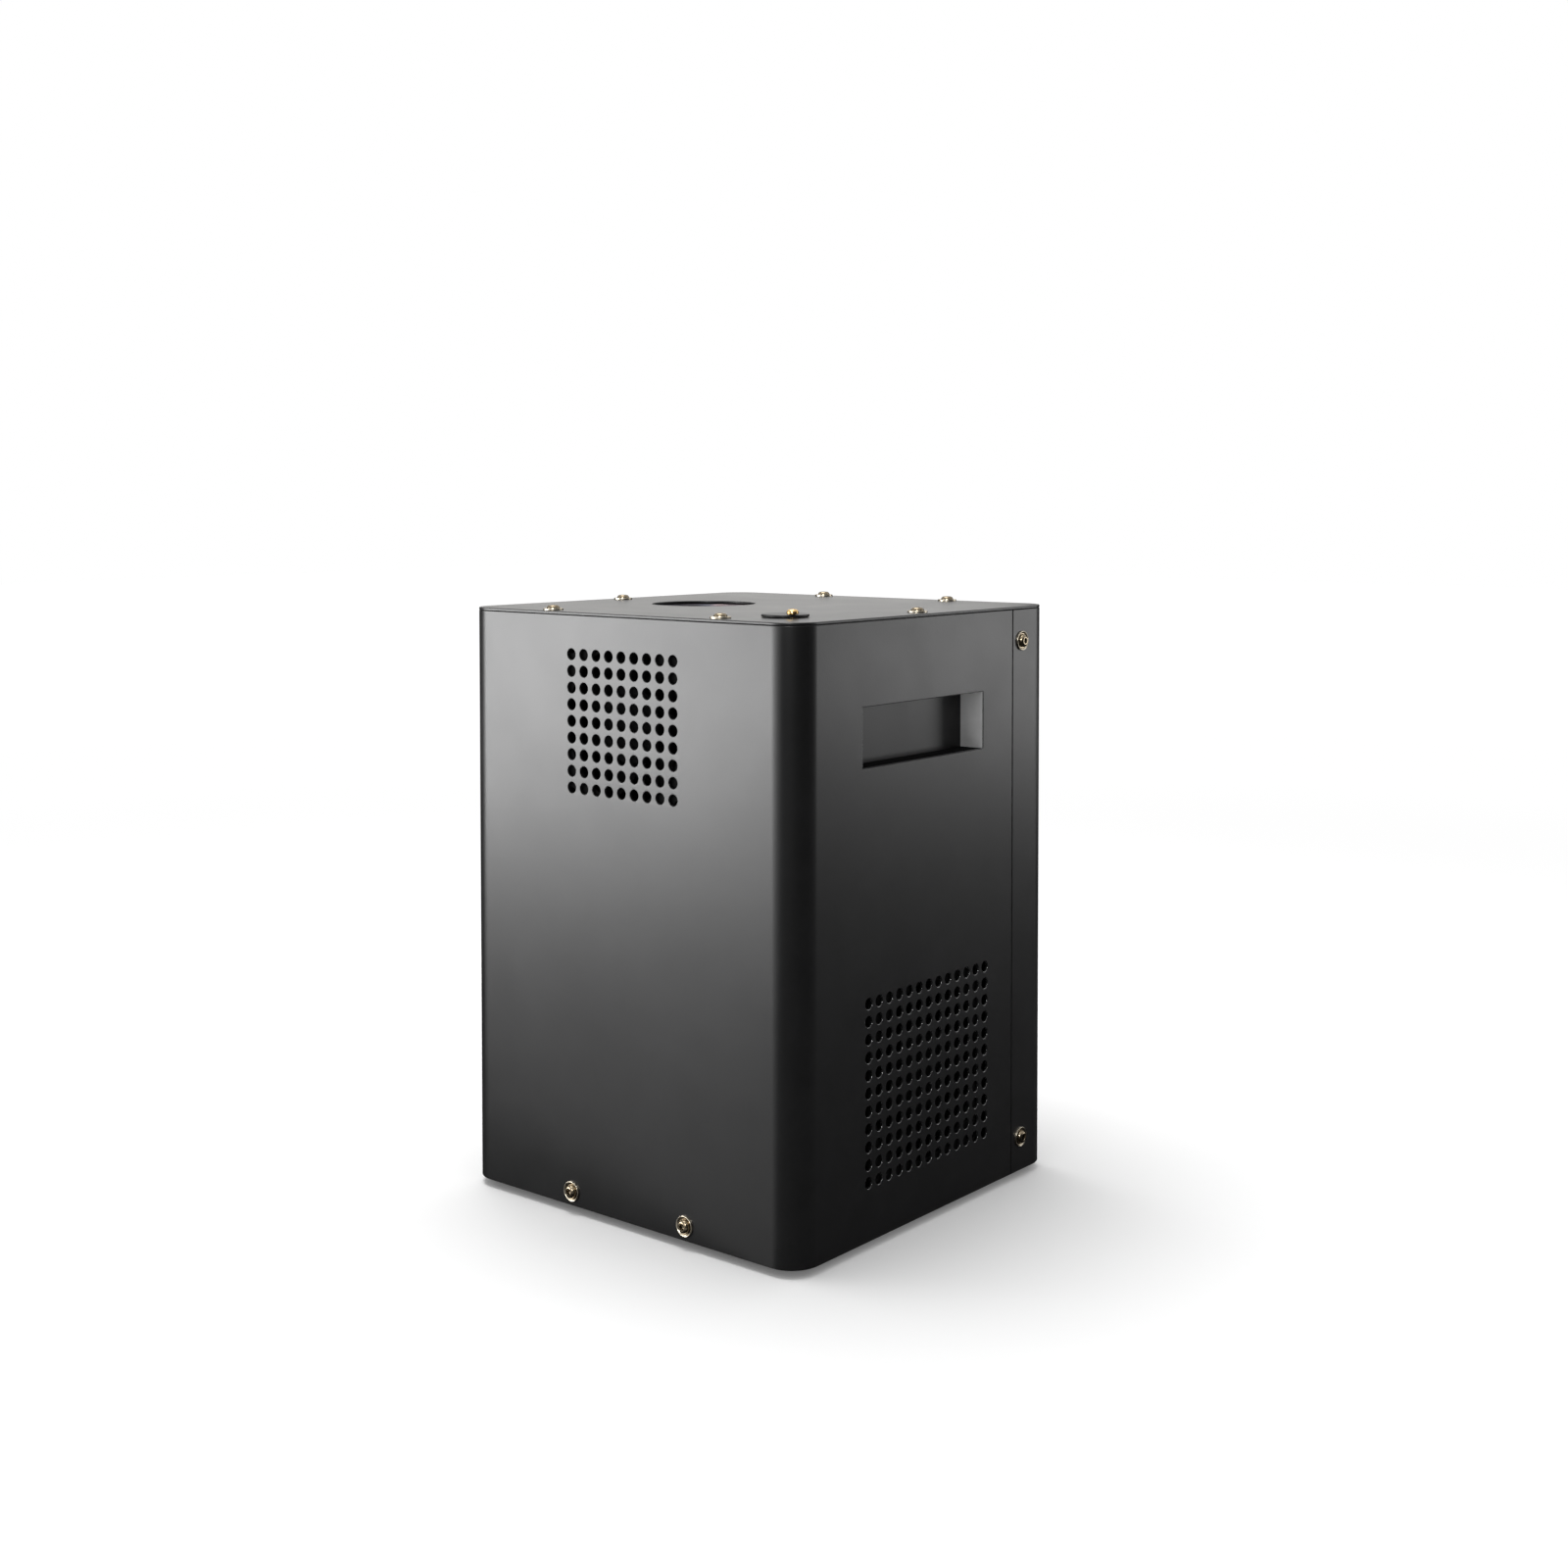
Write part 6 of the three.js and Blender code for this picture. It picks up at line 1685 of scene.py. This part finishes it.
    def signal_out(self) -> list[Part]:
        """Makes the signal output: flange with its groove and latch slot, face with three contacts.

        Returns:
            Its parts.
        """
        place = self.at(-self.socket_x, self.signal)
        ring = [(x, y) for x, y in circle(10.7, sides=64) if y <= 0 or abs(x) >= 6.6]
        cut = next(i for i, (x, y) in enumerate(ring) if y > 0 and x < 0)
        recess = [*ring[:cut], (3.8, 13.5), (-3.8, 13.5), *ring[cut:]]
        flange, screws = self.plate_with_screws(place, recess, 0.9)
        holes = [circle(1.5, contact) for contact in self.contacts]
        slot = rounded(7.6, 4.6, 0.3, (0.0, self.latch_rise), 2)
        flange.plate(rounded(26.0, 31.0, 3.0), [*holes, slot], 0.0, 1.2, place, 0.2)
        flange.plate(circle(7.6, sides=64), holes, 1.0, 2.2, place, 0.3)
        body = self.body_radius
        chord = [(x, y) for x, y in circle(body, sides=72) if y < 8.8]
        flange.plate(chord, holes, -12.8, 0.2, place, 0.1)
        flange.lathe([(0.0, -21.0), (body, -21.0), (body, -12.6), (0.0, -12.6)], place, 72)
        contacts = Shape()
        for x, y in self.contacts:
            sleeve = filleted([(1.4, -12.9), (1.4, 0.8), (0.9, 0.8), (0.9, -12.9)], 0.15)
            contacts.lathe(sleeve, shifted(place, x, y), 24)
        return [Part(flange), Part(contacts, Dress.SILVER), Part(screws, Dress.SILVER)]

    def latch(self) -> Shape:
        """Makes the release latch, ribbed for the thumb.

        Returns:
            Its shape.
        """
        place = self.at(-self.socket_x, self.signal)
        shape = Shape().plate(rounded(7.0, 4.0, 0.6, (0.0, self.latch_rise)), [], -6.8, 3.5, place, 0.35)
        for lift in (-1.2, 0.0, 1.2):
            shape.plate(rounded(6.4, 0.7, 0.25, (0.0, self.latch_rise + lift)), [], 3.2, 4.0, place, 0.2)
        return shape

    def build(self) -> None:
        """Makes every piece of the rear panel."""
        put("control_bezel", self.bezel())
        put("display_module", *self.display())
        for number, x in enumerate(reversed(self.buttons)):
            put(f"menu_button_{number + 1}", self.button(x), weighted=False)
        put("mains_inlet", *self.inlet())
        put("fuse_drawer", *self.drawer())
        put("rocker_frame", self.rocker_frame())
        put("power_rocker", self.rocker())
        put("signal_in_socket", *self.signal_in())
        put("signal_out_socket", *self.signal_out())
        put("signal_latch", self.latch())


@dataclass
class Nozzle:
    """The turned steel nozzle under the spark outlet.

    Attributes:
        cone: Height of the bore's lower end above the foot.
    """

    centre: Flat = (-36.7, -5.0)
    base: float = 234.3
    top: float = 298.2
    bore: float = 24.5
    throat: float = 15.0
    wall: float = 1.5
    cone: float = 27.5

    def build(self) -> None:
        """Makes the nozzle, with rolled lips and a turned groove in its bore."""
        bore, throat, base, top = self.bore, self.throat, self.base, self.top
        shoulder = base + self.cone
        inside = [(bore, top), (bore, top - 14.0), (bore + 0.6, top - 14.6), (bore + 0.6, top - 16.4)]
        inside += [(bore, top - 17.0), (bore, shoulder), (throat, base + 3.5), (throat, base)]
        outside = [(23.0, base), (23.0, base + 2.0), (throat + self.wall, base + 2.0)]
        outside += [(throat + self.wall, base + 3.5), (bore + self.wall, shoulder)]
        outside += [(bore + self.wall, top - 2.0), (33.0, top - 2.0), (33.0, top)]
        profile = filleted([*outside, *inside], 0.6, closed=True)
        put("spark_nozzle", Shape().lathe(profile, Face.TOP.at((*self.centre, 0.0)), 128), weighted=False)


@dataclass
class Electronics:
    """The control board on the partition and the power supply on the tray.

    Attributes:
        board_spot: Middle of the board's standoffs, on the partition.
        supply_spot: Middle of the power supply's underside.
        terminal: Length and height of its terminal block.
    """

    board_spot: Spot = (13.8, -12.0, 82.0)
    board: Spot = (100.0, 80.0, 1.6)
    standoff: float = 6.0
    hole_inset: float = 5.0
    supply_spot: Spot = (49.0, 2.0, 5.8)
    supply: Spot = (62.0, 120.0, 32.0)
    terminal: Flat = (9.0, 12.0)

    def control_board(self) -> list[Part]:
        """Makes the board with its relays, capacitors, chip, connectors and small parts.

        Returns:
            Its parts.
        """
        place = Face.RIGHT.at(self.board_spot)
        length, height, thickness = self.board
        low, top = self.standoff, self.standoff + thickness
        out_x, out_y = length / 2 - self.hole_inset, height / 2 - self.hole_inset
        corners = [(x, y) for x in (-out_x, out_x) for y in (-out_y, out_y)]
        holes = [circle(1.7, corner) for corner in corners]
        sheet = Shape().plate(rounded(length, height, 2.0), holes, low, top, place, 0.15)
        posts, screws, relays, sleeves, cans = Shape(), Shape(), Shape(), Shape(), Shape()
        for x, y in corners:
            spot = shifted(place, x, y)
            posts.lathe([(0.0, 0.0), (3.0, 0.0), (3.0, low), (0.0, low)], spot, 24, [1, 2])
            head = [(0.0, low), (1.5, low), (1.5, top), (2.8, top), (2.8, top + 1.6), (1.2, top + 1.8)]
            screws.lathe([*filleted(head, 0.4), (1.1, top + 0.9), (0.0, top + 0.8)], spot, 24)
        for x in (-25.0, 0.0, 25.0):
            relays.plate(rounded(16.0, 16.0, 1.0, (x, -20.0)), [], top - 0.2, top + 16.0, place, 0.6)
            relays.plate(rounded(16.6, 16.6, 0.6, (x, -20.0)), [], top - 0.2, top + 1.2, place, 0.2)
            spot = shifted(place, x, 20.0)
            sleeve = [(0.0, top), (5.0, top), (5.0, top + 1.6), (4.6, top + 2.2), (5.0, top + 2.8)]
            sleeve += [(5.0, top + 14.0), (4.2, top + 14.0), (4.2, top + 13.6), (0.0, top + 13.6)]
            sleeves.lathe(filleted(sleeve, 0.3), spot, 32)
            low_can, high_can = top + 12.0, top + 13.8
            cans.lathe([(0.0, low_can), (4.25, low_can), (4.25, high_can), (0.0, high_can)], spot, 32)
        chip = Shape().plate(rounded(14.0, 14.0, 0.6), [], top + 0.2, top + 2.4, place, 0.2)
        legs, plugs, small = Shape(), Shape(), Shape()
        for step in range(8):
            along = (step - 3.5) * 1.6
            for side in (-7.6, 7.6):
                legs.plate(rounded(0.7, 1.8, 0.1, (along, side), 1), [], top - 0.1, top + 0.6, place, 0.08)
                legs.plate(rounded(1.8, 0.7, 0.1, (side, along), 1), [], top - 0.1, top + 0.6, place, 0.08)
        for x, y, across, up in ((-42.0, 2.0, 8.0, 26.0), (42.0, 4.0, 8.0, 30.0), (12.0, 35.0, 22.0, 6.0)):
            hole = rounded(across - 2.4, up - 2.4, 0.3, (x, y), 1)
            plugs.plate(rounded(across, up, 0.6, (x, y)), [hole], top - 0.2, top + 8.0, place, 0.3)
            plugs.plate(rounded(across - 1.0, up - 1.0, 0.3, (x, y)), [], top - 0.2, top + 1.5, place, 0.2)
        for column in range(9):
            for row, lift in enumerate((-5.5, 6.5, 10.5)):
                x = (column - 4) * 6.6 + (row % 2) * 2.0
                if abs(x) > 10.5 or lift > 10:
                    small.plate(rounded(3.2, 1.6, 0.2, (x, lift), 1), [], top - 0.1, top + 1.0, place, 0.12)
        dark, bright = Dress.PLASTIC, Dress.SILVER
        parts = [Part(sheet), Part(posts, Dress.BRASS), Part(screws, bright), Part(relays, Dress.RELAY)]
        parts += [Part(sleeves, dark), Part(cans, bright), Part(chip, dark), Part(legs, bright)]
        return [*parts, Part(plugs, Dress.NYLON), Part(small, dark)]

    def power_supply(self) -> list[Part]:
        """Makes the power supply: slotted case, a near-black inside block as painted shade, and terminal block
        with its screws.

        Returns:
            Its parts.
        """
        place = Face.TOP.at(self.supply_spot)
        width, length, height = self.supply
        end, rise = self.terminal
        body, middle = length - end, (0.0, -end / 2)
        outline = rounded(width, body, 1.2, middle)
        slots = [rounded(width / 2, 2.4, 1.1, (0.0, (slot - 5.5) * 7.0 + middle[1]), 3) for slot in range(12)]
        shell = Shape().plate(outline, slots, height - 1.2, height, place, 0.4)
        well = rounded(width - 2.4, body - 2.4, 0.6, middle)
        shell.plate(outline, [well], 0.0, height - 0.3, place, 0.3)
        # A near-black block inside the supply: painted shade seen through the slots.
        lump = rounded(width - 2.0, body - 2.0, 0.6, middle)
        inside = Shape().plate(lump, [], 0.2, height - 4.0, place, 0.3)
        back = length / 2 - end / 2
        foot = rounded(width - 1.0, end + 1.0, 0.5, (0.0, back - 0.5))
        block = Shape().plate(foot, [], 0.2, 6.5, place, 0.3)
        count, pitch = 7, 8.4
        for step in range(count + 1):
            fence = rounded(1.0, end + 0.6, 0.2, ((step - count / 2) * pitch, back - 0.35), 1)
            block.plate(fence, [], 6.0, rise, place, 0.2)
        screws = Shape()
        for step in range(count):
            spot = shifted(place, (step - (count - 1) / 2) * pitch, back)
            head = filleted([(0.0, 6.0), (2.6, 6.0), (2.6, 8.0), (1.2, 8.4)], 0.3)
            screws.lathe([*head, (1.1, 7.4), (0.0, 7.3)], spot, 24)
        return [Part(shell), Part(inside, Dress.FAN_PLASTIC_AND_SHADE), Part(block, Dress.PLASTIC), Part(screws, Dress.SILVER)]

    def build(self) -> None:
        """Makes the board and the power supply."""
        put("control_board", *self.control_board())
        put("power_supply", *self.power_supply())


@dataclass
class CoolingFan:
    """A square axial fan behind one of the vent grids, with spot as the middle of its outer face."""

    name: str
    face: Face
    spot: Spot
    size: float
    depth: float = 25.0
    blades: int = 7
    flange: float = 3.6

    def __post_init__(self) -> None:
        """Works out the radii that frame and rotor share."""
        self.bore, self.hub = self.size * 0.475, self.size * 0.24
        self.reach = self.bore - 1.1

    def frame(self) -> Shape:
        """Makes the frame: flanges, duct, corner sleeves, struts and motor boss.

        Returns:
            Its shape.
        """
        place = self.face.at(self.spot)
        inset = self.size / 2 - 4.5
        corners = [(sx * inset, sy * inset) for sx in (-1, 1) for sy in (-1, 1)]
        holes = [circle(self.bore, sides=96)] + [circle(2.2, corner) for corner in corners]
        shape = Shape()
        for low in (-self.depth, -self.flange):
            shape.plate(rounded(self.size, self.size, 5.0), holes, low, low + self.flange, place, 0.4)
        duct = circle(self.bore + 1.4, sides=96)
        shape.plate(duct, holes[:1], 0.5 - self.depth, -0.5, place, 0.1)
        for corner in corners:
            shape.plate(circle(3.7, corner), [circle(2.2, corner)], 1.0 - self.depth, -1.0, place, 0.1)
        base = -self.depth
        for strut in range(4):
            spoke = rounded(self.bore - self.hub + 2.0, 2.6, 0.5, ((self.bore + self.hub) / 2, 0.0), 2)
            shape.plate(spoke, [], base, base + 2.8, turned(place, pi / 4 + strut * pi / 2), 0.3)
        boss = [(0.0, base), (self.hub, base), (self.hub, base + 3.0), (2.0, base + 3.0)]
        boss += [(2.0, base + 11.0), (0.0, base + 11.0)]
        return shape.lathe(filleted(boss, 0.5), place, 64)

    def rotor(self) -> Shape:
        """Makes the rotor: a cupped hub and swept, twisted blades.

        Returns:
            Its shape.
        """
        place = self.face.at(self.spot)
        base, top = 3.3 - self.depth, -4.0
        cup = [(0.0, base + 8.6), (2.3, base + 8.6), (2.3, base), (self.hub, base), (self.hub, top)]
        cup += [(self.hub - 4.0, top), (self.hub - 4.6, top - 0.5), (0.0, top - 0.5)]
        shape = Shape().lathe(filleted(cup, 0.7, 4), place, 64)
        for blade in range(self.blades):
            self.blade(shape, place, 2 * pi * blade / self.blades, (base + top) / 2)
        return shape

    def blade(self, shape: Shape, place: Placing, turn: float, middle: float) -> None:
        """Adds one blade.

        Args:
            shape: The rotor's shape.
            place: Takes the rotor to its place.
            turn: The blade's direction at the hub.
            middle: Height of the blade's middle.
        """
        stations, chords, start = 8, 8, self.hub - 1.5
        sheets = []
        for side in (-1, 1):
            rows = []
            for station in range(stations + 1):
                share = station / stations
                radius = start + (self.reach - start) * share
                half = 9.5 - 1.5 * share
                rise = 7.4 - 2.6 * share
                row = []
                for chord in range(chords + 1):
                    along = 2 * chord / chords - 1
                    thick = side * 0.75 * sqrt(max(0.04, 1 - along**2))
                    lean = atan2(rise, half)
                    across = half * along - thick * sin(lean)
                    lift = rise * along + 1.5 * (1 - along**2) + thick * cos(lean)
                    angle = turn + across / radius - 0.28 * share**1.5
                    row.append(place(radius * cos(angle), radius * sin(angle), middle + lift))
                rows.append(shape.ring(row))
            sheets.append(rows)
        under, over = sheets
        for low, low_next, high, high_next in zip(under, under[1:], over, over[1:]):
            shape.bridge(high, high_next, False)
            shape.bridge(low_next, low, False)
            for end in (0, -1):
                shape.faces.append((low[end], low_next[end], high_next[end], high[end]))
        for station in (0, -1):
            shape.bridge(under[station], over[station], False)

    def build(self) -> None:
        """Makes frame and rotor."""
        put(f"{self.name}_frame", self.frame())
        put(f"{self.name}_rotor", self.rotor())


@dataclass
class Blower:
    """The radial blower that drives air up through the heated chamber.

    Attributes:
        lap: How far the cheeks stand past the scroll wall.
        tongue: Radius at which the scroll starts.
        throat: Left and right of the outlet.
        mouth: Height of the outlet above the axis.
        eye: Radius at which the blades start.
        floor: Height of the legs' feet.
        leg: Distance of the legs from the axis, and half their width.
    """

    spot: Spot = (-62.0, -5.0, 55.0)
    half: float = 17.0
    wall: float = 1.5
    lap: float = 0.3
    tongue: float = 33.0
    throat: Flat = (10.3, 40.3)
    mouth: float = 50.0
    inlet: float = 19.0
    shaft: float = 2.5
    wheel: float = 28.0
    eye: float = 17.0
    blades: int = 12
    floor: float = -49.2
    leg: Flat = (22.0, 4.5)

    def scroll(self, inset: float, steps: int = 64) -> list[Flat]:
        """Returns the spiral about the axis.

        Args:
            inset: How far it is moved inwards.
            steps: Straight stretches that it is made of.

        Returns:
            Its points, from the tongue round to the throat.
        """
        left, right = self.throat
        start = acos((left + inset) / (self.tongue - inset))
        points = []
        for step in range(steps + 1):
            share = step / steps
            turn = start + (2 * pi - start) * share
            radius = self.tongue + (right - self.tongue) * share - inset
            points.append((radius * cos(turn), radius * sin(turn)))
        return points

    def housing(self) -> Shape:
        """Makes the housing: scroll wall, two cheeks, inlet bell and two legs.

        Returns:
            Its shape.
        """
        place = Face.FRONT.at(self.spot)
        left, right = self.throat
        half, lap, wall, top = self.half, self.lap, self.wall, self.mouth - self.lap
        band = [*self.scroll(lap), (right - lap, top), (right - wall, top)]
        band += [*reversed(self.scroll(wall)), (left + wall, top), (left + lap, top)]
        shape = Shape().plate(band, [], 0.8 - half, half - 0.8, place, 0.1)
        cheek = [*self.scroll(0.0), (right, self.mouth), (left, self.mouth)]
        shape.plate(cheek, [circle(self.inlet, sides=96)], half - wall, half, place, 0.3)
        shape.plate(cheek, [circle(self.shaft + 0.3)], -half, wall - half, place, 0.3)
        bell = [(19.4, half - 0.5), (18.6, half - 0.9), (18.1, half - 3.4)]
        shape.lathe([*bell, (18.9, half - 3.4), (19.4, half - 1.0)], place, 96)
        for side in (-1, 1):
            near = [(x, y) for x, y in self.scroll(0.8, 200) if abs(x - side * self.leg[0]) <= self.leg[1]]
            crest = [(x, y) for x, y in near if y < 0]
            foot = [(crest[0][0], self.floor), (crest[-1][0], self.floor)]
            shape.plate([*foot, *reversed(crest)], [], 0.4 - half, half - 0.4, place, 0.3)
        return shape

    def impeller(self) -> Shape:
        """Makes the wheel: back plate with hub and shaft, curved blades and an end ring.

        Returns:
            Its shape.
        """
        place = Face.FRONT.at(self.spot)
        back = self.wall + 1.0 - self.half
        end, shaft, wheel = -self.half - 10.0, self.shaft, self.wheel
        plate = [(0.0, end), (shaft, end), (shaft, back), (wheel, back), (wheel, back + 2.0)]
        plate += [(8.0, back + 2.0), (6.0, back + 4.0), (6.0, back + 12.0), (0.0, back + 12.0)]
        shape = Shape().lathe(filleted(plate, 0.6), place, 96)
        inner, low, high = wheel - 2.2, back + 22.0, back + 24.0
        ring = [(wheel, low), (wheel, high), (inner, high), (inner, low)]
        shape.lathe(filleted(ring, 0.5, closed=True), place, 96)
        for blade in range(self.blades):
            turn = 2 * pi * blade / self.blades
            rows = []
            for offset in (-0.6, 0.6):
                row = []
                for step in range(9):
                    radius = self.eye + (wheel - 0.4 - self.eye) * step / 8
                    angle = turn + 0.42 * (step / 8) ** 2 + offset / radius
                    row.append((radius * cos(angle), radius * sin(angle)))
                rows.append(row)
            shape.plate([*rows[0], *rows[1][::-1]], [], back + 1.0, back + 23.0, place, 0.15)
        return shape

    def motor(self) -> Shape:
        """Makes the motor: a drawn can with a crimp groove and a bearing cap.

        Returns:
            Its shape.
        """
        x, y, z = self.spot
        place = Face.FRONT.at((x, y + self.half + 0.3, z))
        bore = [(0.0, -11.0), (2.8, -11.0), (2.8, 0.0), (16.6, 0.0)]
        can = [(18.0, -1.4), (18.0, -24.0), (17.4, -24.6), (17.4, -25.4), (18.0, -26.0), (18.0, -30.0)]
        cap = [(15.0, -30.0), (15.0, -33.0), (6.0, -33.0), (5.2, -32.2), (0.0, -32.2)]
        return Shape().lathe(filleted([*bore, *can, *cap], 0.5), place, 72)

    def build(self) -> None:
        """Makes housing, wheel and motor."""
        put("blower_housing", self.housing())
        put("blower_wheel", self.impeller())
        put("blower_motor", self.motor())


@dataclass
class CarriedNodes:
    """The CAD nodes whose form is kept.

    Attributes:
        usual: Width of their broken edges in millimetres.
        edges: That width for the nodes that have another.
    """

    usual: float = 0.25
    edges: tuple[tuple[str, float], ...] = (("base_tray", 0.3), ("wiring_loom", 0.05))

    def build(self) -> None:
        """Dresses every node that no finer piece stands for."""
        for node, piece in sorted(frame["nodes"].items()):
            if not piece.hide_render:
                carry(node, dict(self.edges).get(node, self.usual))


# Studio


@dataclass(frozen=True)
class Viewpoint:
    """The camera at the photograph's angle.

    Attributes:
        yaw: Turn to the left from +Y, in radians.
        pitch: Turn up from level, in radians.
        shift: Sensor shift along x and y.
    """

    place: Spot = (0.67636, -0.79703, 0.35637)
    yaw: float = 0.6808
    pitch: float = -0.03543
    lens: float = 45.932
    sensor: float = 36.0
    shift: Flat = (-0.01535, -0.1375)

    def build(self) -> None:
        """Makes the camera and sets it as the scene's."""
        data = bpy.data.cameras.new("photo_camera")
        data.lens, data.sensor_width = self.lens, self.sensor
        data.shift_x, data.shift_y = self.shift
        camera = new_object("photo_camera", data)
        camera.location = self.place
        camera.rotation_euler = (pi / 2 + self.pitch, 0.0, self.yaw)
        bpy.context.scene.camera = camera


@dataclass(frozen=True)
class Softbox:
    """A soft area light that looks at the machine.

    Attributes:
        azimuth: Its direction from the machine in degrees, from +X.
        elevation: Its height above level in degrees.
        gloss_only: Whether only reflections see it.
    """

    name: str
    azimuth: float
    elevation: float
    distance: float
    size: Flat
    power: float
    colour: Colour = WHITE
    gloss_only: bool = False

    def build(self) -> None:
        """Makes the light."""
        data = bpy.data.lights.new(self.name, "AREA")
        data.shape, data.energy = "RECTANGLE", self.power
        data.size, data.size_y = self.size
        data.color = self.colour
        light = new_object(self.name, data)
        turn, rise = radians(self.azimuth), radians(self.elevation)
        away = Vector((cos(turn) * cos(rise), sin(turn) * cos(rise), sin(rise)))
        light.location = away * self.distance + Vector((0.0, 0.0, 0.15))
        light.rotation_euler = away.to_track_quat("Z", "Y").to_euler()
        light.visible_diffuse = not self.gloss_only


@dataclass(frozen=True)
class Card:
    """A dark card, curved round the machine, that only reflections see.

    Attributes:
        start: The direction of its first end in degrees, from +X.
        low: Distance from the hub and height of its lower edge, in metres.
        high: Distance from the hub and height of its upper edge, in metres.
        hub: Point of the floor that it curves round.
    """

    name: str
    start: float
    end: float
    low: Flat
    high: Flat
    hub: Flat = (0.095, -0.106)
    tone: float = 0.03

    def build(self) -> None:
        """Makes the card."""
        steps = max(2, round((self.end - self.start) / 6))
        spots: list[Spot] = []
        for step in range(steps + 1):
            turn = radians(self.start + (self.end - self.start) * step / steps)
            for reach, z in (self.low, self.high):
                spots.append((self.hub[0] + reach * cos(turn), self.hub[1] + reach * sin(turn), z))
        faces = [(at, at + 2, at + 3, at + 1) for at in range(0, 2 * steps, 2)]
        mesh = bpy.data.meshes.new(self.name)
        mesh.from_pydata(spots, [], faces)
        card = new_object(self.name, mesh)
        card.visible_camera = card.visible_diffuse = card.visible_shadow = card.visible_transmission = False
        material, _, shader = new_material(self.name)
        shader.inputs["Base Color"].default_value = (self.tone, self.tone, self.tone, 1.0)
        shader.inputs["Specular IOR Level"].default_value = 0.0
        shader.inputs["Roughness"].default_value = 1.0
        mesh.materials.append(material)


@dataclass
class Studio:
    """A pale floor and backdrop, soft lights and dark cards that only reflections see.

    Attributes:
        floor_glow: How much the floor shines by itself under the machine.
        fade: Distances from the middle between which the floor turns into plain white.
        ambient: Grey of the light from all sides.
    """

    floor_size: float = 14.0
    floor_tone: float = 0.89
    floor_glow: float = 0.095
    fade: Flat = (0.45, 1.6)
    ambient: float = 0.62
    softboxes: tuple[Softbox, ...] = (
        Softbox("front_left_softbox", -132.0, 4.8, 1.076, (0.58, 0.42), 11.0, gloss_only=True),
        Softbox("rear_right_softbox", 55.0, 1.6, 1.7, (0.5, 0.3), 2.3),
        Softbox("rear_left_softbox", 130.0, 3.6, 2.3, (1.2, 0.5), 1.2, (1.0, 0.9, 0.74), True),
        Softbox("high_front_softbox", -62.0, 27.0, 1.6, (0.25, 0.25), 14.0, gloss_only=True),
        Softbox("front_corner_softbox", -107.0, 4.8, 1.076, (0.24, 0.42), 1.2, gloss_only=True),
        Softbox("front_edge_softbox", -94.0, 4.8, 1.076, (0.24, 0.42), 0.4, gloss_only=True),
        Softbox("overhead_softbox", 190.0, 80.0, 2.0, (1.2, 1.2), 29.6),
    )
    cards: tuple[Card, ...] = (
        Card("camera_side_card", -112.0, 36.0, (1.9, -0.02), (1.9, 1.6)),
        Card("rear_card", 72.0, 120.0, (2.4, -0.02), (2.4, 0.9)),
        Card("left_card", 142.0, 198.0, (2.4, -0.02), (2.4, 0.9)),
        Card("floor_card", -112.0, 198.0, (0.002, 0.0006), (2.2, 0.0006)),
    )

    def world(self) -> None:
        """Makes a world that is white to the camera and in reflections, and plain grey as light."""
        world = bpy.data.worlds.new("pale_studio")
        bpy.context.scene.world = world
        world.use_nodes = True
        wiring = Wiring(world.node_tree)
        sky = world.node_tree.nodes["Background"]
        wiring.feed(sky, "Color", wiring.mix(wiring.seen(), (self.ambient,) * 3, WHITE))

    def floor(self) -> None:
        """Makes the floor, which takes the machine's shadow and is pale to the camera and in reflections, with
        its near colour halved in reflections as a painted darker reflection.
        """
        half = self.floor_size / 2
        mesh = bpy.data.meshes.new("studio_floor")
        corners = [(-half, -half, 0), (half, -half, 0), (half, half, 0), (-half, half, 0)]
        mesh.from_pydata(corners, [], [(0, 1, 2, 3)])
        floor = new_object("studio_floor", mesh)
        material, wiring, shader = new_material("pale_floor")
        shader.inputs["Roughness"].default_value = 0.9
        shader.inputs["Specular IOR Level"].default_value = 0.1
        away = wiring.add("VectorMath", {0: wiring.spot()}, operation="LENGTH").outputs["Value"]
        limits = {0: away, 1: self.fade[0], 2: self.fade[1]}
        far = wiring.add("MapRange", limits, interpolation_type="SMOOTHSTEP").outputs[0]
        mirrored = wiring.add("LightPath").outputs["Is Glossy Ray"]
        black = (0.0, 0.0, 0.0)
        # The floor's colour is halved where reflections see it: a painted darker reflection.
        tone = wiring.mix(mirrored, (self.floor_tone,) * 3, (self.floor_tone / 2,) * 3)
        wiring.feed(shader, "Base Color", wiring.mix(far, tone, black))
        pale = wiring.mix(far, (self.floor_glow,) * 3, WHITE)
        wiring.feed(shader, "Emission Color", wiring.mix(wiring.seen(), black, pale))
        shader.inputs["Emission Strength"].default_value = 1.0
        mesh.materials.append(material)

    def build(self) -> None:
        """Sets up the whole studio."""
        bpy.context.scene.view_settings.view_transform = "Standard"
        self.world()
        self.floor()
        for piece in (*self.softboxes, *self.cards):
            piece.build()


def main() -> None:
    logging.basicConfig(level=logging.INFO, format="%(message)s")
    Viewpoint().build()
    Studio().build()
    assemblies = (
        Case(),
        CaseScrews(),
        FeedCover(),
        Feet(),
        HandleCups(),
        RearPanel(),
        Nozzle(),
        Electronics(),
        Blower(),
        CoolingFan("front_fan", Face.FRONT, (0.5, -104.2, 246.2), 80.0),
        CoolingFan("side_fan", Face.RIGHT, (108.2, -3.5, 75.0), 92.0),
        CarriedNodes(),
    )
    for assembly in assemblies:
        LOG.info("building %s", type(assembly).__name__)
        assembly.build()


if __name__ == "__main__":
    main()
